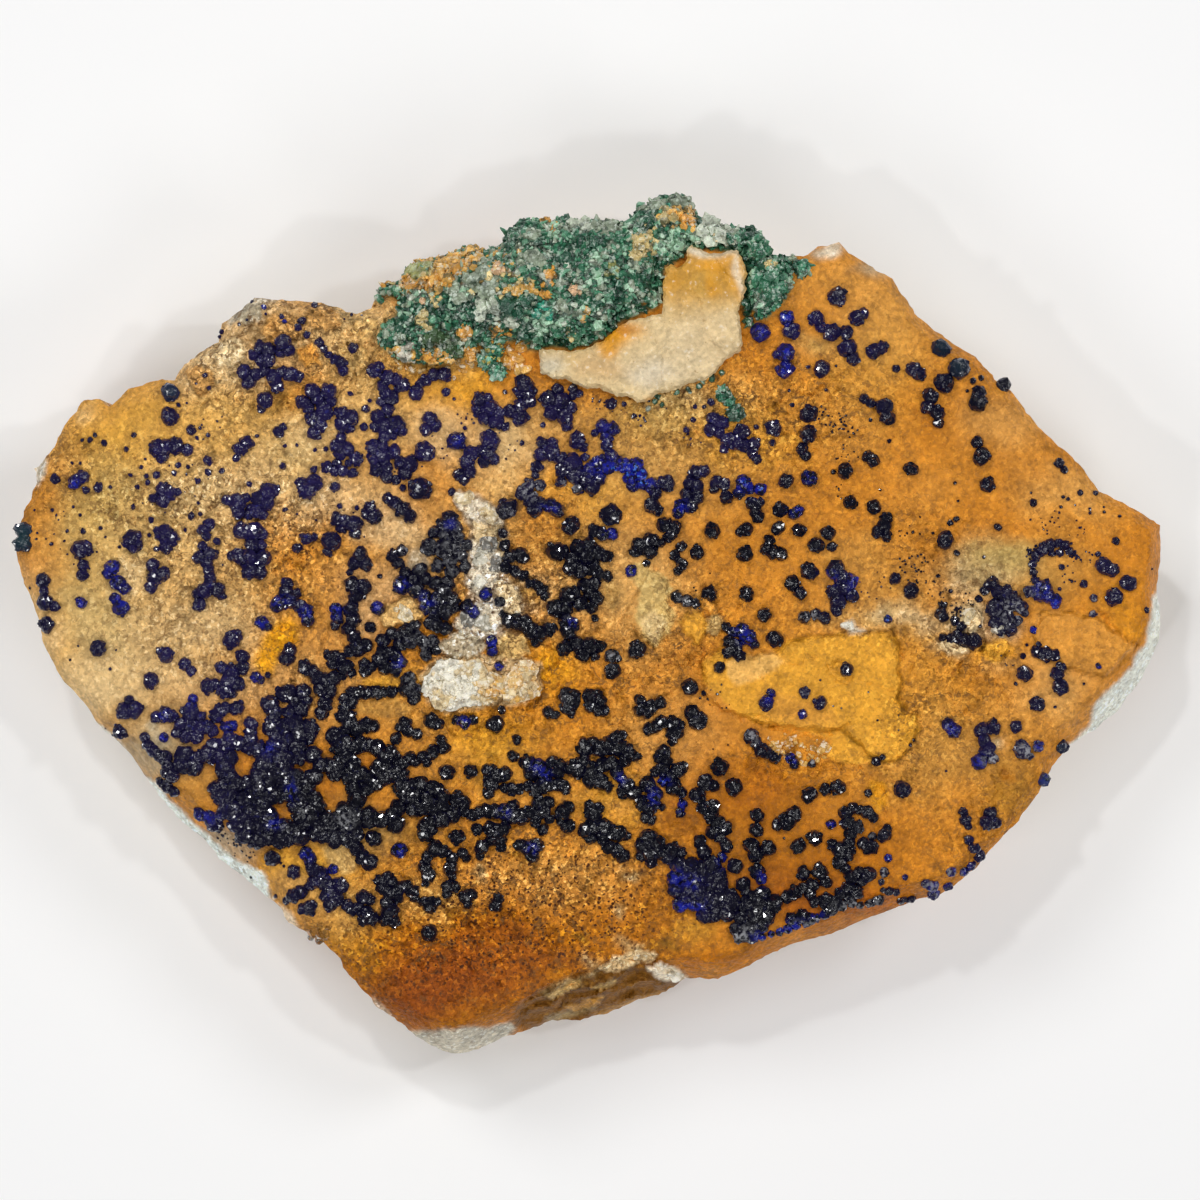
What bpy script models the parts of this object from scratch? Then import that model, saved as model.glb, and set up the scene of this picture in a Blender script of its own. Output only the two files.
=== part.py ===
"""Azurite specimen: azurite spherules and a malachite druse on a slab of iron-stained quartz.

The slab lies on its flat underside with the crystal face up.  Places on the crystal face are written
in squares of a collector's tracing grid laid over it: x runs to the right, y runs down the sheet.
Heights are in millimetres.  Everything is turned into metres at the end.
"""
import math
import random

import bmesh
import bpy
from mathutils import Vector, noise
from mathutils.geometry import delaunay_2d_cdt

SQUARE = 0.00012            # side of one square of the tracing grid, m
MM = 0.001
SHEET_CENTRE = (588.5, 626.0)

FACE_LEVEL = 20.0           # mean height of the crystal face above the underside, mm
FACE_WAVES = 0.35           # height of the face's slow waves, mm
FACE_WAVE_WIDTH = 60.0      # their width, squares
RIM_DROP = 1.6              # usual fall of the face at its broken edge, mm
RIM_WIDTH = 16.0            # usual width of that fall, squares
RIM_POWER = 1.4             # how much the fall steepens towards the edge
SIDE_RINGS = ((0.992, 0.74), (0.968, 0.42), (0.925, 0.12), (0.885, 0.0))   # size, share of edge height
SIDE_ROUGHNESS = 0.014      # how far the broken sides wander, share of the radius
SIDE_LEVELS = (0.88, 1.12)  # how far their levels wander, share of the height
INNER_RIM = (0.05, 0.06)    # how far a second ring of corners lies inside the rim, share of the radius
ROW_SHARE = 0.87            # distance between rows of scattered points over the spacing in a row
FACE_SPACING = 54.0         # spacing of the facets of the crystal face, squares
FACE_WANDER = 10.0          # how far the corners of those facets stray, squares
FACE_MARGIN = 12.0          # distance they keep from the rim and the steps, squares
FOOT_ROOM = 9.0             # distance they keep from the feet of lone spherules, squares
STEP_REACH = 3.0            # half width of a step's slope, squares
OUTLINE_TOLERANCE = 3.2     # fineness of the slab's outline, squares
SEAM_GAP = 0.3              # gap kept between one mineral and the next, mm
PLAN_GAP = 2.8              # the same gap in the plan, squares

SPHERULE_HEIGHT = 1.15      # height of a spherule over its radius
SPHERULE_FOOT = 1.04        # reach of its foot over its radius
SPHERULE_SINK = 2.2         # how far a cluster's underside starts below the face, mm
LARGEST_CLUSTERS = 40       # azurite clusters made as pieces of their own
COVER_SHARE = 1.32          # lobes nearer than this share of a larger radius are part of it
LOBE_GROWTH = 1.5           # what the lobes left out add to the radius, squares
EDGE_SHARE = 0.5            # height of a cluster's edges and dips over its peaks
FOOT_SIDES = 6              # sides of a spherule's foot
NECK_SHARE = 0.5            # half width of the neck between two spherules, share of the smaller radius
LUMP_TOLERANCE = 2.9        # fineness of a cluster's outline, squares
SMALLEST_WINDOW = 90.0      # smallest bare window kept inside a cluster, square squares
SMALLEST_BUMP = 9.4         # smallest lone spherule shown on the slab, radius in squares
LARGE_BUMP = 10.6           # lone spherules larger than this have a flat top, radius in squares
BUMP_RINGS = ((1.03, 5), (0.5, 3))   # foot and flat top of a lone spherule: share of the radius, corners
BUMP_FOOT = 1.02            # where its flank reaches the ground, share of the radius
BUMP_FLANK = 0.42           # width of its flank, share of the radius
SPHERULE_ROOM = 1.1         # room a spherule needs beside its neighbours, over its radius
RIM_ROOM = 0.9              # room it needs beside the rim, over its radius

CUSHION_SINK = 3.0          # how far the undersides of druse, plate and patch start below the face, mm
DRUSE_SPACING = 17.0        # spacing of the druse's crystals, squares
DRUSE_EDGE = 1.0            # thickness of the druse at its edge, mm
DRUSE_RISE = 2.2            # how much more it has in the middle, mm
DRUSE_SLOPE = 22.0          # width of the slope between the two, squares
DRUSE_CRYSTALS = (-0.7, 1.1)   # how far its crystals sink and rise, mm
CUSHION_WANDER = 0.22       # how far the corners of those pieces stray, share of the spacing
CUSHION_MARGIN = 0.35       # how far they keep from the outline, share of the spacing
PLATE_SPACING = 30.0        # spacing of the plate's facets, squares
PLATE_THICKNESS = 1.7       # mm
PLATE_CHIP = 0.5            # how much thinner its edge is, mm
PLATE_RELIEF = (-0.12, 0.12)   # how far its facets sink and rise, mm
PATCH_SPACING = 15.0        # spacing of the patch's lumps, squares
PATCH_THICKNESS = 1.1       # mm
PATCH_EDGE = 0.55           # thickness of its edge over that
PATCH_RELIEF = (-0.2, 0.35)    # how far its lumps sink and rise, mm

# Outline of the slab, clockwise from its left tip.
OUTLINE = (
    (11, 544), (18, 520), (24, 506), (34, 482), (32, 468), (42, 458), (52, 446), (62, 424), (74, 410),
    (82, 398), (99, 397), (109, 405), (127, 387), (141, 383), (157, 378), (173, 378), (183, 363),
    (199, 351), (217, 341), (221, 323), (238, 311), (254, 297), (278, 298), (318, 301), (334, 305),
    (356, 313), (370, 307), (376, 291), (382, 281), (399, 279), (405, 269), (417, 257), (441, 255),
    (457, 247), (469, 242), (487, 249), (501, 240), (509, 226), (517, 219), (537, 214), (547, 220),
    (562, 213), (576, 218), (596, 216), (625, 220), (640, 206), (654, 194), (677, 190), (691, 196),
    (699, 214), (723, 222), (739, 224), (759, 228), (767, 238), (773, 252), (787, 255), (803, 254),
    (818, 245), (840, 240), (850, 251), (874, 265), (894, 277), (920, 315), (954, 341), (978, 355),
    (997, 377), (1013, 389), (1037, 422), (1061, 444), (1081, 462), (1101, 490), (1136, 506),
    (1164, 524), (1165, 557), (1161, 589), (1166, 615), (1164, 643), (1148, 680), (1124, 713),
    (1100, 731), (1073, 747), (1055, 768), (1041, 794), (1021, 822), (995, 850), (978, 870), (958, 888),
    (942, 898), (918, 904), (898, 912), (874, 921), (850, 931), (826, 941), (803, 945), (771, 957),
    (747, 971), (719, 982), (687, 983), (675, 993), (660, 1002), (640, 1007), (620, 1018), (600, 1024),
    (576, 1029), (552, 1029), (529, 1037), (501, 1045), (477, 1057), (449, 1061), (429, 1051),
    (413, 1041), (399, 1027), (374, 1009), (366, 997), (346, 977), (338, 961), (322, 945), (306, 935),
    (286, 925), (278, 911), (262, 896), (242, 882), (215, 862), (199, 842), (175, 822), (155, 798),
    (139, 774), (119, 748), (95, 727), (83, 707), (68, 689), (58, 679), (48, 659), (40, 643),
    (38, 623), (28, 599), (20, 580),
)

# Places where the rim is broken away further: x, y, reach, extra fall in mm, extra width.
BROKEN_RIM = (
    (125, 765, 70, 3.2, 6), (215, 850, 75, 4.5, 26), (465, 1050, 75, 5.5, 20), (600, 1010, 100, 8.0, 34),
    (860, 915, 130, 4.0, 12), (1125, 695, 80, 5.0, 26), (1165, 560, 60, 2.0, 0), (930, 330, 90, 1.0, 0),
    (480, 245, 110, 2.0, 6), (640, 210, 90, 2.0, 6),
)

# Low swells and hollows of the face: x, y, half width, half height, rise in mm.
SWELLS = (
    (300, 345, 105, 62, 2.4), (560, 285, 210, 62, 2.2), (690, 330, 110, 60, 0.7), (190, 560, 150, 110, -0.7),
    (445, 600, 90, 85, 0.8), (740, 470, 120, 80, 0.6), (1000, 590, 100, 75, -0.6), (500, 945, 170, 70, -1.1),
    (860, 800, 130, 85, 0.5), (300, 780, 130, 70, 0.9), (640, 800, 90, 60, 0.5), (920, 430, 110, 70, 0.3),
)

# Flat-topped steps of the face: height in mm, then the outline.
STEPS = (
    (0.8, ((702, 662), (723, 648), (752, 657), (778, 652), (790, 640), (840, 634), (890, 632), (899, 650),
           (899, 700), (903, 713), (918, 716), (919, 730), (905, 752), (892, 763), (866, 752), (845, 729),
           (800, 729), (755, 722), (722, 708), (704, 690))),
    (0.6, ((624, 624), (634, 600), (650, 566), (668, 580), (667, 628), (655, 646), (640, 640))),
    (0.5, ((1040, 612), (1092, 618), (1137, 645), (1122, 660), (1108, 674), (1068, 668), (1034, 640))),
)

# The green druse along the back edge.
DRUSE = (
    (379, 342), (384, 327), (398, 316), (400, 299), (384, 294), (388, 285), (401, 284), (409, 273),
    (419, 262), (441, 260), (458, 252), (469, 247), (487, 254), (503, 245), (512, 231), (520, 224),
    (536, 219), (547, 225), (562, 218), (576, 223), (596, 221), (626, 225), (642, 211), (656, 199),
    (676, 195), (687, 200), (695, 218), (722, 227), (739, 229), (756, 233), (763, 242), (770, 256),
    (786, 260), (791, 268), (792, 288), (781, 303), (766, 318), (756, 321), (751, 300), (752, 263),
    (741, 247), (722, 241), (704, 239), (687, 241), (667, 256), (655, 259), (652, 299), (633, 307),
    (614, 315), (601, 329), (586, 336), (570, 339), (552, 337), (536, 340), (520, 340), (502, 343),
    (476, 345), (460, 358), (446, 362), (424, 364), (404, 362), (394, 357), (386, 350),
)

# The raised pale plate in front of the druse.
PLATE = (
    (538, 349), (552, 348), (569, 351), (588, 347), (603, 344), (612, 336), (626, 322), (638, 319),
    (661, 308), (664, 288), (664, 268), (673, 267), (688, 254), (703, 253), (721, 254), (735, 253),
    (742, 261), (744, 272), (741, 285), (743, 296), (740, 308), (736, 319), (742, 330), (743, 344),
    (742, 353), (734, 356), (725, 363), (716, 374), (704, 383), (689, 385), (676, 392), (658, 396),
    (647, 403), (637, 404), (627, 398), (617, 399), (599, 390), (583, 390), (569, 382), (549, 379),
    (539, 374),
)

# The pale granular patch near the middle.
PATCH = (
    (427, 678), (438, 663), (455, 660), (480, 659), (490, 672), (506, 676), (520, 663), (538, 661),
    (540, 680), (538, 698), (514, 702), (490, 700), (470, 706), (450, 710), (434, 706), (426, 694),
)

CLEAR_QUARTZ = ((315, 931, 9), (322, 933, 8))

MALACHITE_GRAINS = {
    "malachite_spill": ((492, 352, 9), (488, 361, 9), (497, 371, 8)),
    "malachite_ball_east": ((802, 268, 9),),
    "malachite_ball_middle": ((723, 394, 8), (729, 401, 6)),
    "malachite_ball_south": ((736, 413, 9),),
}

# Dense carpets of spherules: the ground they cover, then the bare windows left in them.
CARPETS = (
    ((152, 752), (172, 757), (186, 752), (195, 748), (222, 742), (240, 740), (262, 745), (274, 728),
     (290, 716), (302, 722), (312, 732), (345, 737), (380, 740), (388, 752), (402, 757), (400, 770),
     (414, 778), (428, 776), (444, 792), (456, 810), (446, 820), (428, 815), (412, 812), (402, 826),
     (385, 828), (368, 826), (356, 836), (340, 838), (320, 838), (300, 842), (264, 844), (242, 834),
     (228, 826), (212, 824), (196, 812), (186, 804), (206, 790), (200, 770), (186, 764), (176, 770)),
    ((672, 856), (690, 858), (706, 864), (720, 862), (722, 880), (724, 898), (744, 896), (758, 894),
     (770, 888), (776, 900), (774, 912), (762, 918), (763, 932), (750, 938), (737, 938), (733, 922),
     (706, 918), (700, 910), (682, 914), (676, 900), (674, 880)),
)
WINDOWS = (
    (190, 780, 10), (190, 794, 9), (208, 773, 8), (243, 758, 9), (242, 768, 6), (208, 800, 5), (281, 808, 8),
    (173, 750, 7), (266, 740, 6), (364, 759, 7), (330, 785, 9), (343, 786, 6), (368, 804, 8), (389, 793, 9),
    (330, 752, 6), (412, 822, 9), (302, 767, 5), (329, 808, 6), (387, 829, 7), (318, 744, 6),
)
CARPET_SPACING = 21.0       # distance between the spherules of a carpet, squares
CARPET_WANDER = 2.0         # how far they stray, squares
CARPET_RADIUS = 13.5        # their radius, squares
WINDOW_MARGIN = 5.0         # distance they keep from a bare window, squares

# Azurite spherules and their lobes: x, y, radius.
AZURITE = (
    # left edge
    (171, 392, 9), (170, 417, 9), (191, 430, 5), (157, 449, 9), (166, 447, 8), (162, 457, 6), (176, 446, 9),
    (187, 450, 6), (162, 489, 8), (170, 493, 8), (163, 500, 8), (153, 498, 5), (178, 492, 4), (55, 479, 5),
    (75, 482, 7), (82, 477, 7), (86, 490, 4), (98, 487, 5), (23, 530, 9), (22, 543, 9), (82, 549, 10),
    (83, 565, 6), (82, 575, 6), (43, 580, 7), (44, 591, 5), (45, 602, 8), (54, 606, 6), (47, 625, 8),
    (81, 603, 6), (112, 567, 8), (108, 573, 6), (118, 583, 8), (125, 588, 6), (115, 598, 6), (121, 608, 8),
    (133, 541, 11), (163, 533, 9), (171, 538, 9), (166, 547, 7), (152, 565, 7), (155, 577, 8), (163, 574, 7),
    (151, 586, 7), (209, 524, 6), (203, 530, 6), (206, 536, 5), (217, 541, 4), (202, 546, 5), (199, 557, 7),
    (210, 554, 8), (206, 562, 7), (208, 570, 6), (210, 578, 6), (209, 585, 7), (218, 590, 8), (204, 590, 8),
    (196, 594, 5), (221, 596, 5), (199, 605, 7), (156, 549, 3), (98, 648, 8), (166, 655, 8), (161, 651, 5),
    (151, 681, 8), (185, 664, 7), (191, 671, 5), (129, 700, 5), (124, 712, 8), (135, 710, 8), (120, 731, 8),
    # upper left
    (262, 348, 7), (255, 356, 6), (270, 351, 7), (285, 343, 8), (290, 351, 7), (282, 354, 5), (262, 362, 7),
    (270, 361, 7), (245, 372, 7), (250, 382, 8), (257, 375, 7), (266, 371, 7), (275, 378, 8), (278, 386, 7),
    (284, 373, 6), (292, 375, 7), (299, 377, 6), (265, 400, 8), (262, 409, 5), (279, 432, 6), (283, 427, 4),
    (247, 442, 7), (240, 449, 7), (236, 458, 4), (321, 344, 5), (325, 350, 4), (330, 356, 4), (335, 360, 5),
    (342, 363, 7), (344, 371, 6), (303, 322, 4), (300, 329, 4), (308, 336, 4), (245, 372, 7),
    # left middle
    (227, 500, 6), (237, 502, 9), (245, 498, 5), (238, 512, 7), (268, 492, 9), (274, 490, 6), (258, 498, 7),
    (266, 503, 8), (255, 510, 8), (248, 514, 6), (262, 514, 6), (242, 531, 9), (254, 531, 9), (262, 534, 6),
    (231, 556, 5), (239, 556, 8), (253, 545, 8), (262, 545, 5), (249, 557, 9), (263, 558, 9), (250, 571, 9),
    (260, 573, 7), (287, 583, 6), (279, 604, 9), (290, 600, 8), (296, 594, 5), (300, 606, 7), (306, 612, 8),
    (308, 620, 7), (285, 592, 7), (262, 622, 7), (268, 627, 4), (232, 639, 10), (243, 656, 7), (243, 668, 7),
    (222, 668, 7), (231, 665, 3), (231, 673, 8), (229, 681, 9), (238, 684, 7), (225, 690, 8), (232, 694, 5),
    (208, 686, 8), (215, 684, 6), (256, 677, 6), (261, 680, 4), (268, 675, 3), (290, 650, 7), (286, 658, 8),
    # upper middle
    (313, 391, 7), (329, 392, 8), (331, 401, 6), (318, 398, 7), (303, 402, 7), (309, 408, 6), (322, 405, 6),
    (325, 412, 8), (314, 419, 9), (320, 424, 8), (315, 433, 7), (342, 413, 7), (350, 418, 9), (342, 424, 8),
    (349, 428, 6), (341, 437, 6), (338, 446, 8), (347, 449, 7), (340, 454, 6), (366, 409, 4), (364, 427, 4),
    (375, 371, 8), (380, 367, 5), (388, 378, 8), (383, 386, 6), (402, 385, 8), (396, 380, 6), (416, 393, 8),
    (421, 383, 5), (427, 380, 6), (434, 375, 6), (444, 374, 8), (386, 394, 7), (393, 398, 7), (382, 402, 5),
    (388, 410, 7), (378, 417, 7), (376, 427, 6), (386, 426, 8), (396, 424, 9), (402, 431, 6), (385, 436, 7),
    (393, 435, 5), (430, 420, 8), (434, 425, 8), (427, 429, 7), (425, 452, 10), (374, 447, 8), (382, 447, 7),
    (374, 459, 7), (383, 456, 9), (394, 451, 7), (376, 469, 7), (386, 467, 7), (401, 463, 7), (410, 464, 8),
    (405, 473, 7), (387, 477, 6), (396, 480, 5), (420, 489, 12), (327, 467, 6), (337, 463, 5), (343, 471, 6),
    (335, 471, 5), (356, 459, 7), (349, 463, 4), (353, 473, 5), (335, 487, 5), (308, 490, 10), (314, 483, 8),
    (303, 484, 7), (388, 498, 6), (395, 503, 7), (402, 509, 8), (410, 516, 7), (371, 508, 7), (374, 516, 8),
    (366, 514, 6), (337, 519, 7), (345, 521, 7), (341, 528, 6), (354, 524, 8), (355, 533, 6), (307, 539, 6),
    (314, 537, 4), (297, 548, 5), (331, 541, 9), (328, 552, 5), (360, 555, 8), (355, 563, 7), (366, 564, 7),
    (393, 556, 7), (402, 551, 6), (398, 563, 6), (405, 572, 6), (457, 441, 10), (446, 392, 4), (354, 349, 5),
    (480, 400, 8), (488, 399, 6), (478, 410, 7), (490, 408, 9), (498, 413, 7), (484, 418, 7), (496, 421, 8),
    (505, 427, 5), (510, 411, 7), (521, 406, 8), (520, 418, 9), (529, 400, 7), (524, 384, 9), (530, 391, 7),
    (519, 392, 6), (558, 389, 6), (548, 399, 9), (561, 402, 9), (570, 407, 7), (552, 412, 9), (565, 417, 9),
    (567, 425, 6), (573, 395, 5), (490, 440, 10), (471, 454, 8), (481, 450, 6), (489, 454, 8), (494, 459, 6),
    (484, 462, 6), (467, 462, 7), (459, 474, 6), (470, 472, 7), (464, 479, 6), (542, 443, 6), (552, 443, 6),
    (541, 455, 7), (551, 452, 9), (537, 467, 6), (535, 475, 4), (561, 459, 8), (572, 463, 10), (563, 470, 8),
    (575, 475, 9), (561, 482, 6), (578, 489, 6), (522, 493, 7), (529, 486, 7), (540, 485, 6), (531, 500, 8),
    (534, 510, 7), (540, 503, 6), (550, 505, 7), (557, 510, 7), (507, 509, 11), (452, 492, 4), (556, 551, 10),
    # dark mass in the middle
    (450, 519, 8), (443, 525, 7), (455, 528, 8), (434, 532, 6), (446, 536, 8), (458, 537, 7), (430, 547, 9),
    (444, 549, 9), (456, 547, 8), (467, 545, 6), (449, 560, 8), (461, 556, 7), (438, 566, 7), (452, 572, 7),
    (465, 567, 6), (420, 570, 8), (425, 578, 7), (413, 579, 6), (415, 590, 8), (402, 585, 9), (424, 597, 8),
    (427, 607, 8), (437, 600, 8), (445, 592, 8), (452, 600, 8), (436, 612, 8), (446, 610, 9), (437, 583, 8),
    (448, 582, 7), (455, 608, 5), (446, 628, 6), (437, 625, 7), (430, 623, 6), (415, 625, 6), (408, 630, 7),
    (400, 634, 7), (392, 633, 6), (410, 641, 8), (400, 644, 7), (418, 637, 7), (425, 643, 8), (433, 640, 6),
    (436, 649, 6), (426, 655, 6), (383, 640, 7), (382, 650, 6), (503, 533, 5), (505, 545, 6), (510, 556, 8),
    (522, 556, 8), (506, 568, 6), (516, 572, 6), (523, 575, 6), (530, 583, 5), (537, 585, 6), (542, 590, 6),
    (545, 596, 5), (467, 607, 7), (474, 612, 6), (486, 594, 7), (500, 602, 5), (501, 614, 4), (508, 620, 7),
    (516, 621, 8), (525, 624, 8), (532, 631, 8), (540, 634, 8), (548, 630, 7), (553, 628, 5), (536, 643, 5),
    (492, 641, 6), (492, 650, 6), (499, 666, 5),
    # chains left of the pale patch
    (336, 609, 6), (337, 617, 7), (335, 625, 5), (352, 584, 8), (363, 587, 8), (357, 596, 8), (351, 609, 8),
    (353, 620, 8), (348, 629, 7), (354, 637, 7), (357, 648, 9), (366, 645, 7), (349, 651, 6), (378, 608, 7),
    (370, 627, 6), (334, 657, 7), (328, 655, 5), (341, 658, 6), (333, 663, 6), (305, 667, 8), (313, 671, 7),
    (318, 678, 7), (326, 680, 8), (334, 678, 7), (322, 689, 8), (331, 691, 7), (327, 697, 5), (346, 667, 8),
    (343, 675, 5), (351, 673, 5), (364, 664, 6), (366, 671, 7), (372, 667, 5), (380, 659, 8), (389, 653, 7),
    (396, 656, 7), (401, 662, 6), (395, 668, 8), (385, 668, 7), (409, 679, 8), (407, 689, 8), (415, 690, 7),
    (414, 699, 6), (352, 692, 6), (360, 693, 7), (368, 693, 7), (377, 692, 7), (385, 692, 6), (392, 692, 6),
    (345, 699, 6), (352, 702, 7), (302, 709, 8), (303, 691, 8), (307, 701, 6), (325, 704, 8), (322, 713, 7),
    (345, 708, 7), (342, 716, 7), (351, 716, 6), (350, 724, 8), (345, 730, 6), (357, 729, 8), (366, 724, 8),
    (374, 726, 6), (361, 742, 7), (369, 745, 7), (357, 749, 6), (405, 723, 7), (400, 727, 5), (409, 731, 6),
    (417, 734, 6), (431, 721, 8), (438, 724, 6), (464, 722, 7), (457, 720, 5), (473, 720, 5), (496, 724, 8),
    (490, 725, 5), (502, 710, 4), (548, 712, 6), (555, 715, 5), (566, 696, 8), (573, 701, 8), (567, 707, 7),
    (575, 694, 5), (571, 713, 5), (517, 740, 5), (513, 756, 6), (396, 738, 6), (390, 751, 7), (385, 757, 6),
    (396, 756, 5), (337, 747, 7), (334, 741, 5), (346, 753, 6), (410, 757, 7), (415, 762, 5), (424, 757, 6),
    (432, 752, 7), (427, 762, 5), (441, 740, 6), (444, 747, 6), (447, 772, 9), (471, 771, 7), (403, 774, 6),
    # lower left
    (191, 712, 10), (200, 716, 6), (193, 699, 5), (156, 717, 6), (165, 714, 8), (171, 716, 7), (216, 716, 7),
    (221, 710, 7), (226, 707, 6), (237, 708, 8), (181, 725, 7), (178, 733, 6), (190, 724, 7), (200, 728, 8),
    (197, 737, 7), (208, 727, 7), (213, 731, 6), (187, 736, 7), (145, 737, 5), (148, 745, 6), (153, 751, 7),
    (160, 755, 6), (166, 757, 6), (164, 737, 5), (226, 727, 6), (233, 725, 5), (230, 738, 8), (251, 724, 7),
    (251, 731, 7), (251, 739, 7), (253, 747, 6), (270, 704, 9), (275, 712, 8), (271, 727, 8), (273, 720, 7),
    (284, 694, 9), (290, 691, 7), (296, 701, 7), (290, 712, 7), (168, 766, 6), (166, 773, 6), (173, 775, 7),
    (160, 782, 5), (167, 786, 7), (174, 791, 6), (273, 858, 8), (294, 872, 7), (301, 892, 7), (293, 896, 7),
    (286, 901, 4), (309, 908, 8), (303, 909, 6), (306, 853, 7), (310, 859, 7), (313, 870, 8), (321, 874, 7),
    (315, 881, 7), (309, 886, 5), (325, 883, 8), (330, 891, 8), (340, 885, 8), (336, 898, 8), (325, 896, 6),
    (330, 905, 7), (333, 869, 5), (347, 905, 6), (352, 910, 6), (359, 906, 5), (363, 897, 7), (370, 900, 6),
    (366, 914, 8), (372, 919, 7), (363, 920, 6), (390, 912, 9), (385, 920, 7), (393, 921, 7), (380, 880, 6),
    (387, 877, 6), (392, 882, 6), (383, 888, 7), (390, 894, 7), (398, 889, 7), (398, 898, 6), (386, 903, 6),
    (406, 886, 6), (412, 891, 7), (415, 898, 5), (352, 843, 7), (357, 849, 7), (363, 857, 8), (370, 862, 8),
    (374, 838, 8), (400, 850, 8), (394, 826, 7), (427, 857, 6), (424, 867, 7), (428, 875, 8), (426, 882, 5),
    (436, 848, 8), (430, 852, 5), (444, 851, 7), (452, 859, 6), (450, 868, 7), (452, 876, 5), (463, 853, 6),
    (466, 858, 5), (425, 825, 8), (432, 822, 6), (425, 834, 8), (431, 829, 6), (448, 887, 7), (455, 887, 6),
    (447, 894, 5), (465, 897, 7), (471, 895, 6), (468, 904, 5), (498, 899, 6), (495, 906, 7), (430, 905, 9),
    (424, 901, 5), (437, 902, 5), (429, 933, 8), (457, 837, 8), (482, 847, 8), (480, 855, 5), (497, 832, 10),
    (490, 828, 7), (505, 828, 7), (500, 840, 7), (491, 840, 6), (477, 829, 6), (501, 847, 5), (519, 845, 6),
    (530, 848, 9), (537, 845, 7), (533, 856, 7), (535, 822, 6), (543, 829, 6),
    # row below the middle
    (489, 771, 8), (497, 776, 7), (491, 784, 8), (488, 793, 6), (505, 774, 8), (504, 788, 5), (512, 789, 7),
    (519, 789, 6), (535, 790, 8), (528, 786, 6), (542, 786, 8), (550, 785, 7), (558, 785, 7), (565, 788, 6),
    (527, 763, 8), (531, 772, 8), (538, 765, 8), (545, 772, 8), (552, 763, 7), (557, 771, 8), (561, 765, 6),
    (572, 769, 8), (578, 772, 7), (458, 798, 8), (464, 803, 7), (455, 805, 5), (465, 812, 5), (472, 815, 7),
    (480, 812, 7), (488, 811, 8), (496, 812, 8), (505, 812, 8), (513, 806, 7), (513, 816, 7), (521, 817, 8),
    (529, 813, 8), (536, 816, 7), (544, 811, 7), (540, 803, 8), (548, 802, 7), (550, 819, 5), (563, 812, 8),
    (568, 807, 6), (561, 820, 6), (568, 826, 7), (575, 768, 9), (585, 747, 9), (593, 742, 6), (600, 748, 9),
    (610, 745, 9), (620, 748, 8), (628, 752, 8), (635, 756, 6), (625, 761, 6), (583, 762, 8), (592, 770, 9),
    (603, 765, 8), (612, 763, 8), (617, 772, 7), (590, 780, 8), (600, 781, 8), (608, 786, 6), (563, 785, 7),
    (616, 737, 6), (622, 735, 5), (610, 739, 4), (621, 778, 6), (627, 785, 8), (623, 792, 7), (634, 793, 8),
    (641, 800, 6), (648, 784, 8), (655, 794, 8), (641, 806, 5), (649, 809, 7), (656, 804, 6), (646, 817, 6),
    (651, 820, 5), (662, 807, 4), (593, 813, 9), (590, 806, 6), (598, 808, 6), (587, 830, 9), (595, 827, 7),
    (605, 827, 8), (612, 832, 8), (620, 833, 7), (627, 836, 5), (590, 838, 6), (603, 839, 7), (609, 847, 7),
    (617, 850, 7), (623, 856, 7), (650, 838, 9), (642, 846, 8), (657, 843, 9), (650, 852, 9), (641, 856, 6),
    (660, 853, 7), (651, 862, 6), (697, 795, 8), (705, 782, 8), (713, 785, 6), (720, 767, 9), (734, 787, 9),
    (664, 752, 7), (659, 757, 6), (667, 761, 6), (662, 769, 7), (655, 772, 5), (678, 770, 8), (683, 767, 6),
    (671, 776, 6), (663, 781, 5), (673, 788, 7), (681, 792, 6), (677, 784, 5), (682, 804, 5), (680, 813, 5),
    # centre right
    (573, 389, 5), (579, 394, 4), (611, 404, 6), (603, 426, 7), (612, 429, 7), (607, 437, 7), (595, 433, 4),
    (607, 446, 6), (577, 440, 9), (583, 447, 5), (585, 457, 4), (611, 456, 7), (603, 458, 4), (597, 463, 7),
    (590, 470, 7), (607, 467, 8), (618, 464, 7), (627, 466, 8), (636, 466, 8), (640, 475, 8), (630, 478, 7),
    (632, 486, 6), (642, 484, 6), (587, 478, 8), (592, 487, 9), (598, 479, 8), (652, 486, 8), (655, 494, 7),
    (652, 505, 8), (658, 510, 6), (667, 483, 9), (696, 472, 7), (703, 471, 6), (689, 483, 7), (697, 487, 7),
    (686, 495, 7), (697, 498, 7), (691, 506, 7), (680, 505, 6), (678, 513, 6), (716, 482, 7), (724, 484, 6),
    (714, 489, 5), (726, 497, 7), (743, 483, 8), (748, 488, 6), (739, 493, 6), (760, 489, 6), (752, 503, 6),
    (759, 503, 6), (755, 511, 6), (758, 517, 6), (746, 529, 7), (740, 532, 5), (780, 510, 8), (794, 514, 6),
    (799, 510, 5), (778, 528, 7), (799, 530, 7), (786, 481, 7), (809, 478, 8), (845, 471, 8), (850, 502, 7),
    (828, 533, 7), (816, 545, 8), (832, 547, 5), (712, 531, 8), (769, 540, 6), (766, 549, 6), (773, 552, 7),
    (781, 554, 6), (745, 554, 8), (697, 553, 7), (611, 515, 10), (571, 526, 9), (594, 531, 7), (602, 534, 7),
    (612, 534, 6), (664, 525, 8), (674, 528, 8), (670, 536, 7), (650, 540, 8), (640, 546, 9), (649, 551, 8),
    (635, 552, 6), (660, 543, 5), (681, 547, 6), (675, 555, 6), (682, 564, 6), (678, 571, 5), (647, 563, 4),
    (631, 571, 6), (564, 550, 5), (578, 547, 8), (590, 545, 8), (597, 553, 8), (586, 557, 9), (573, 559, 8),
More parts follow.
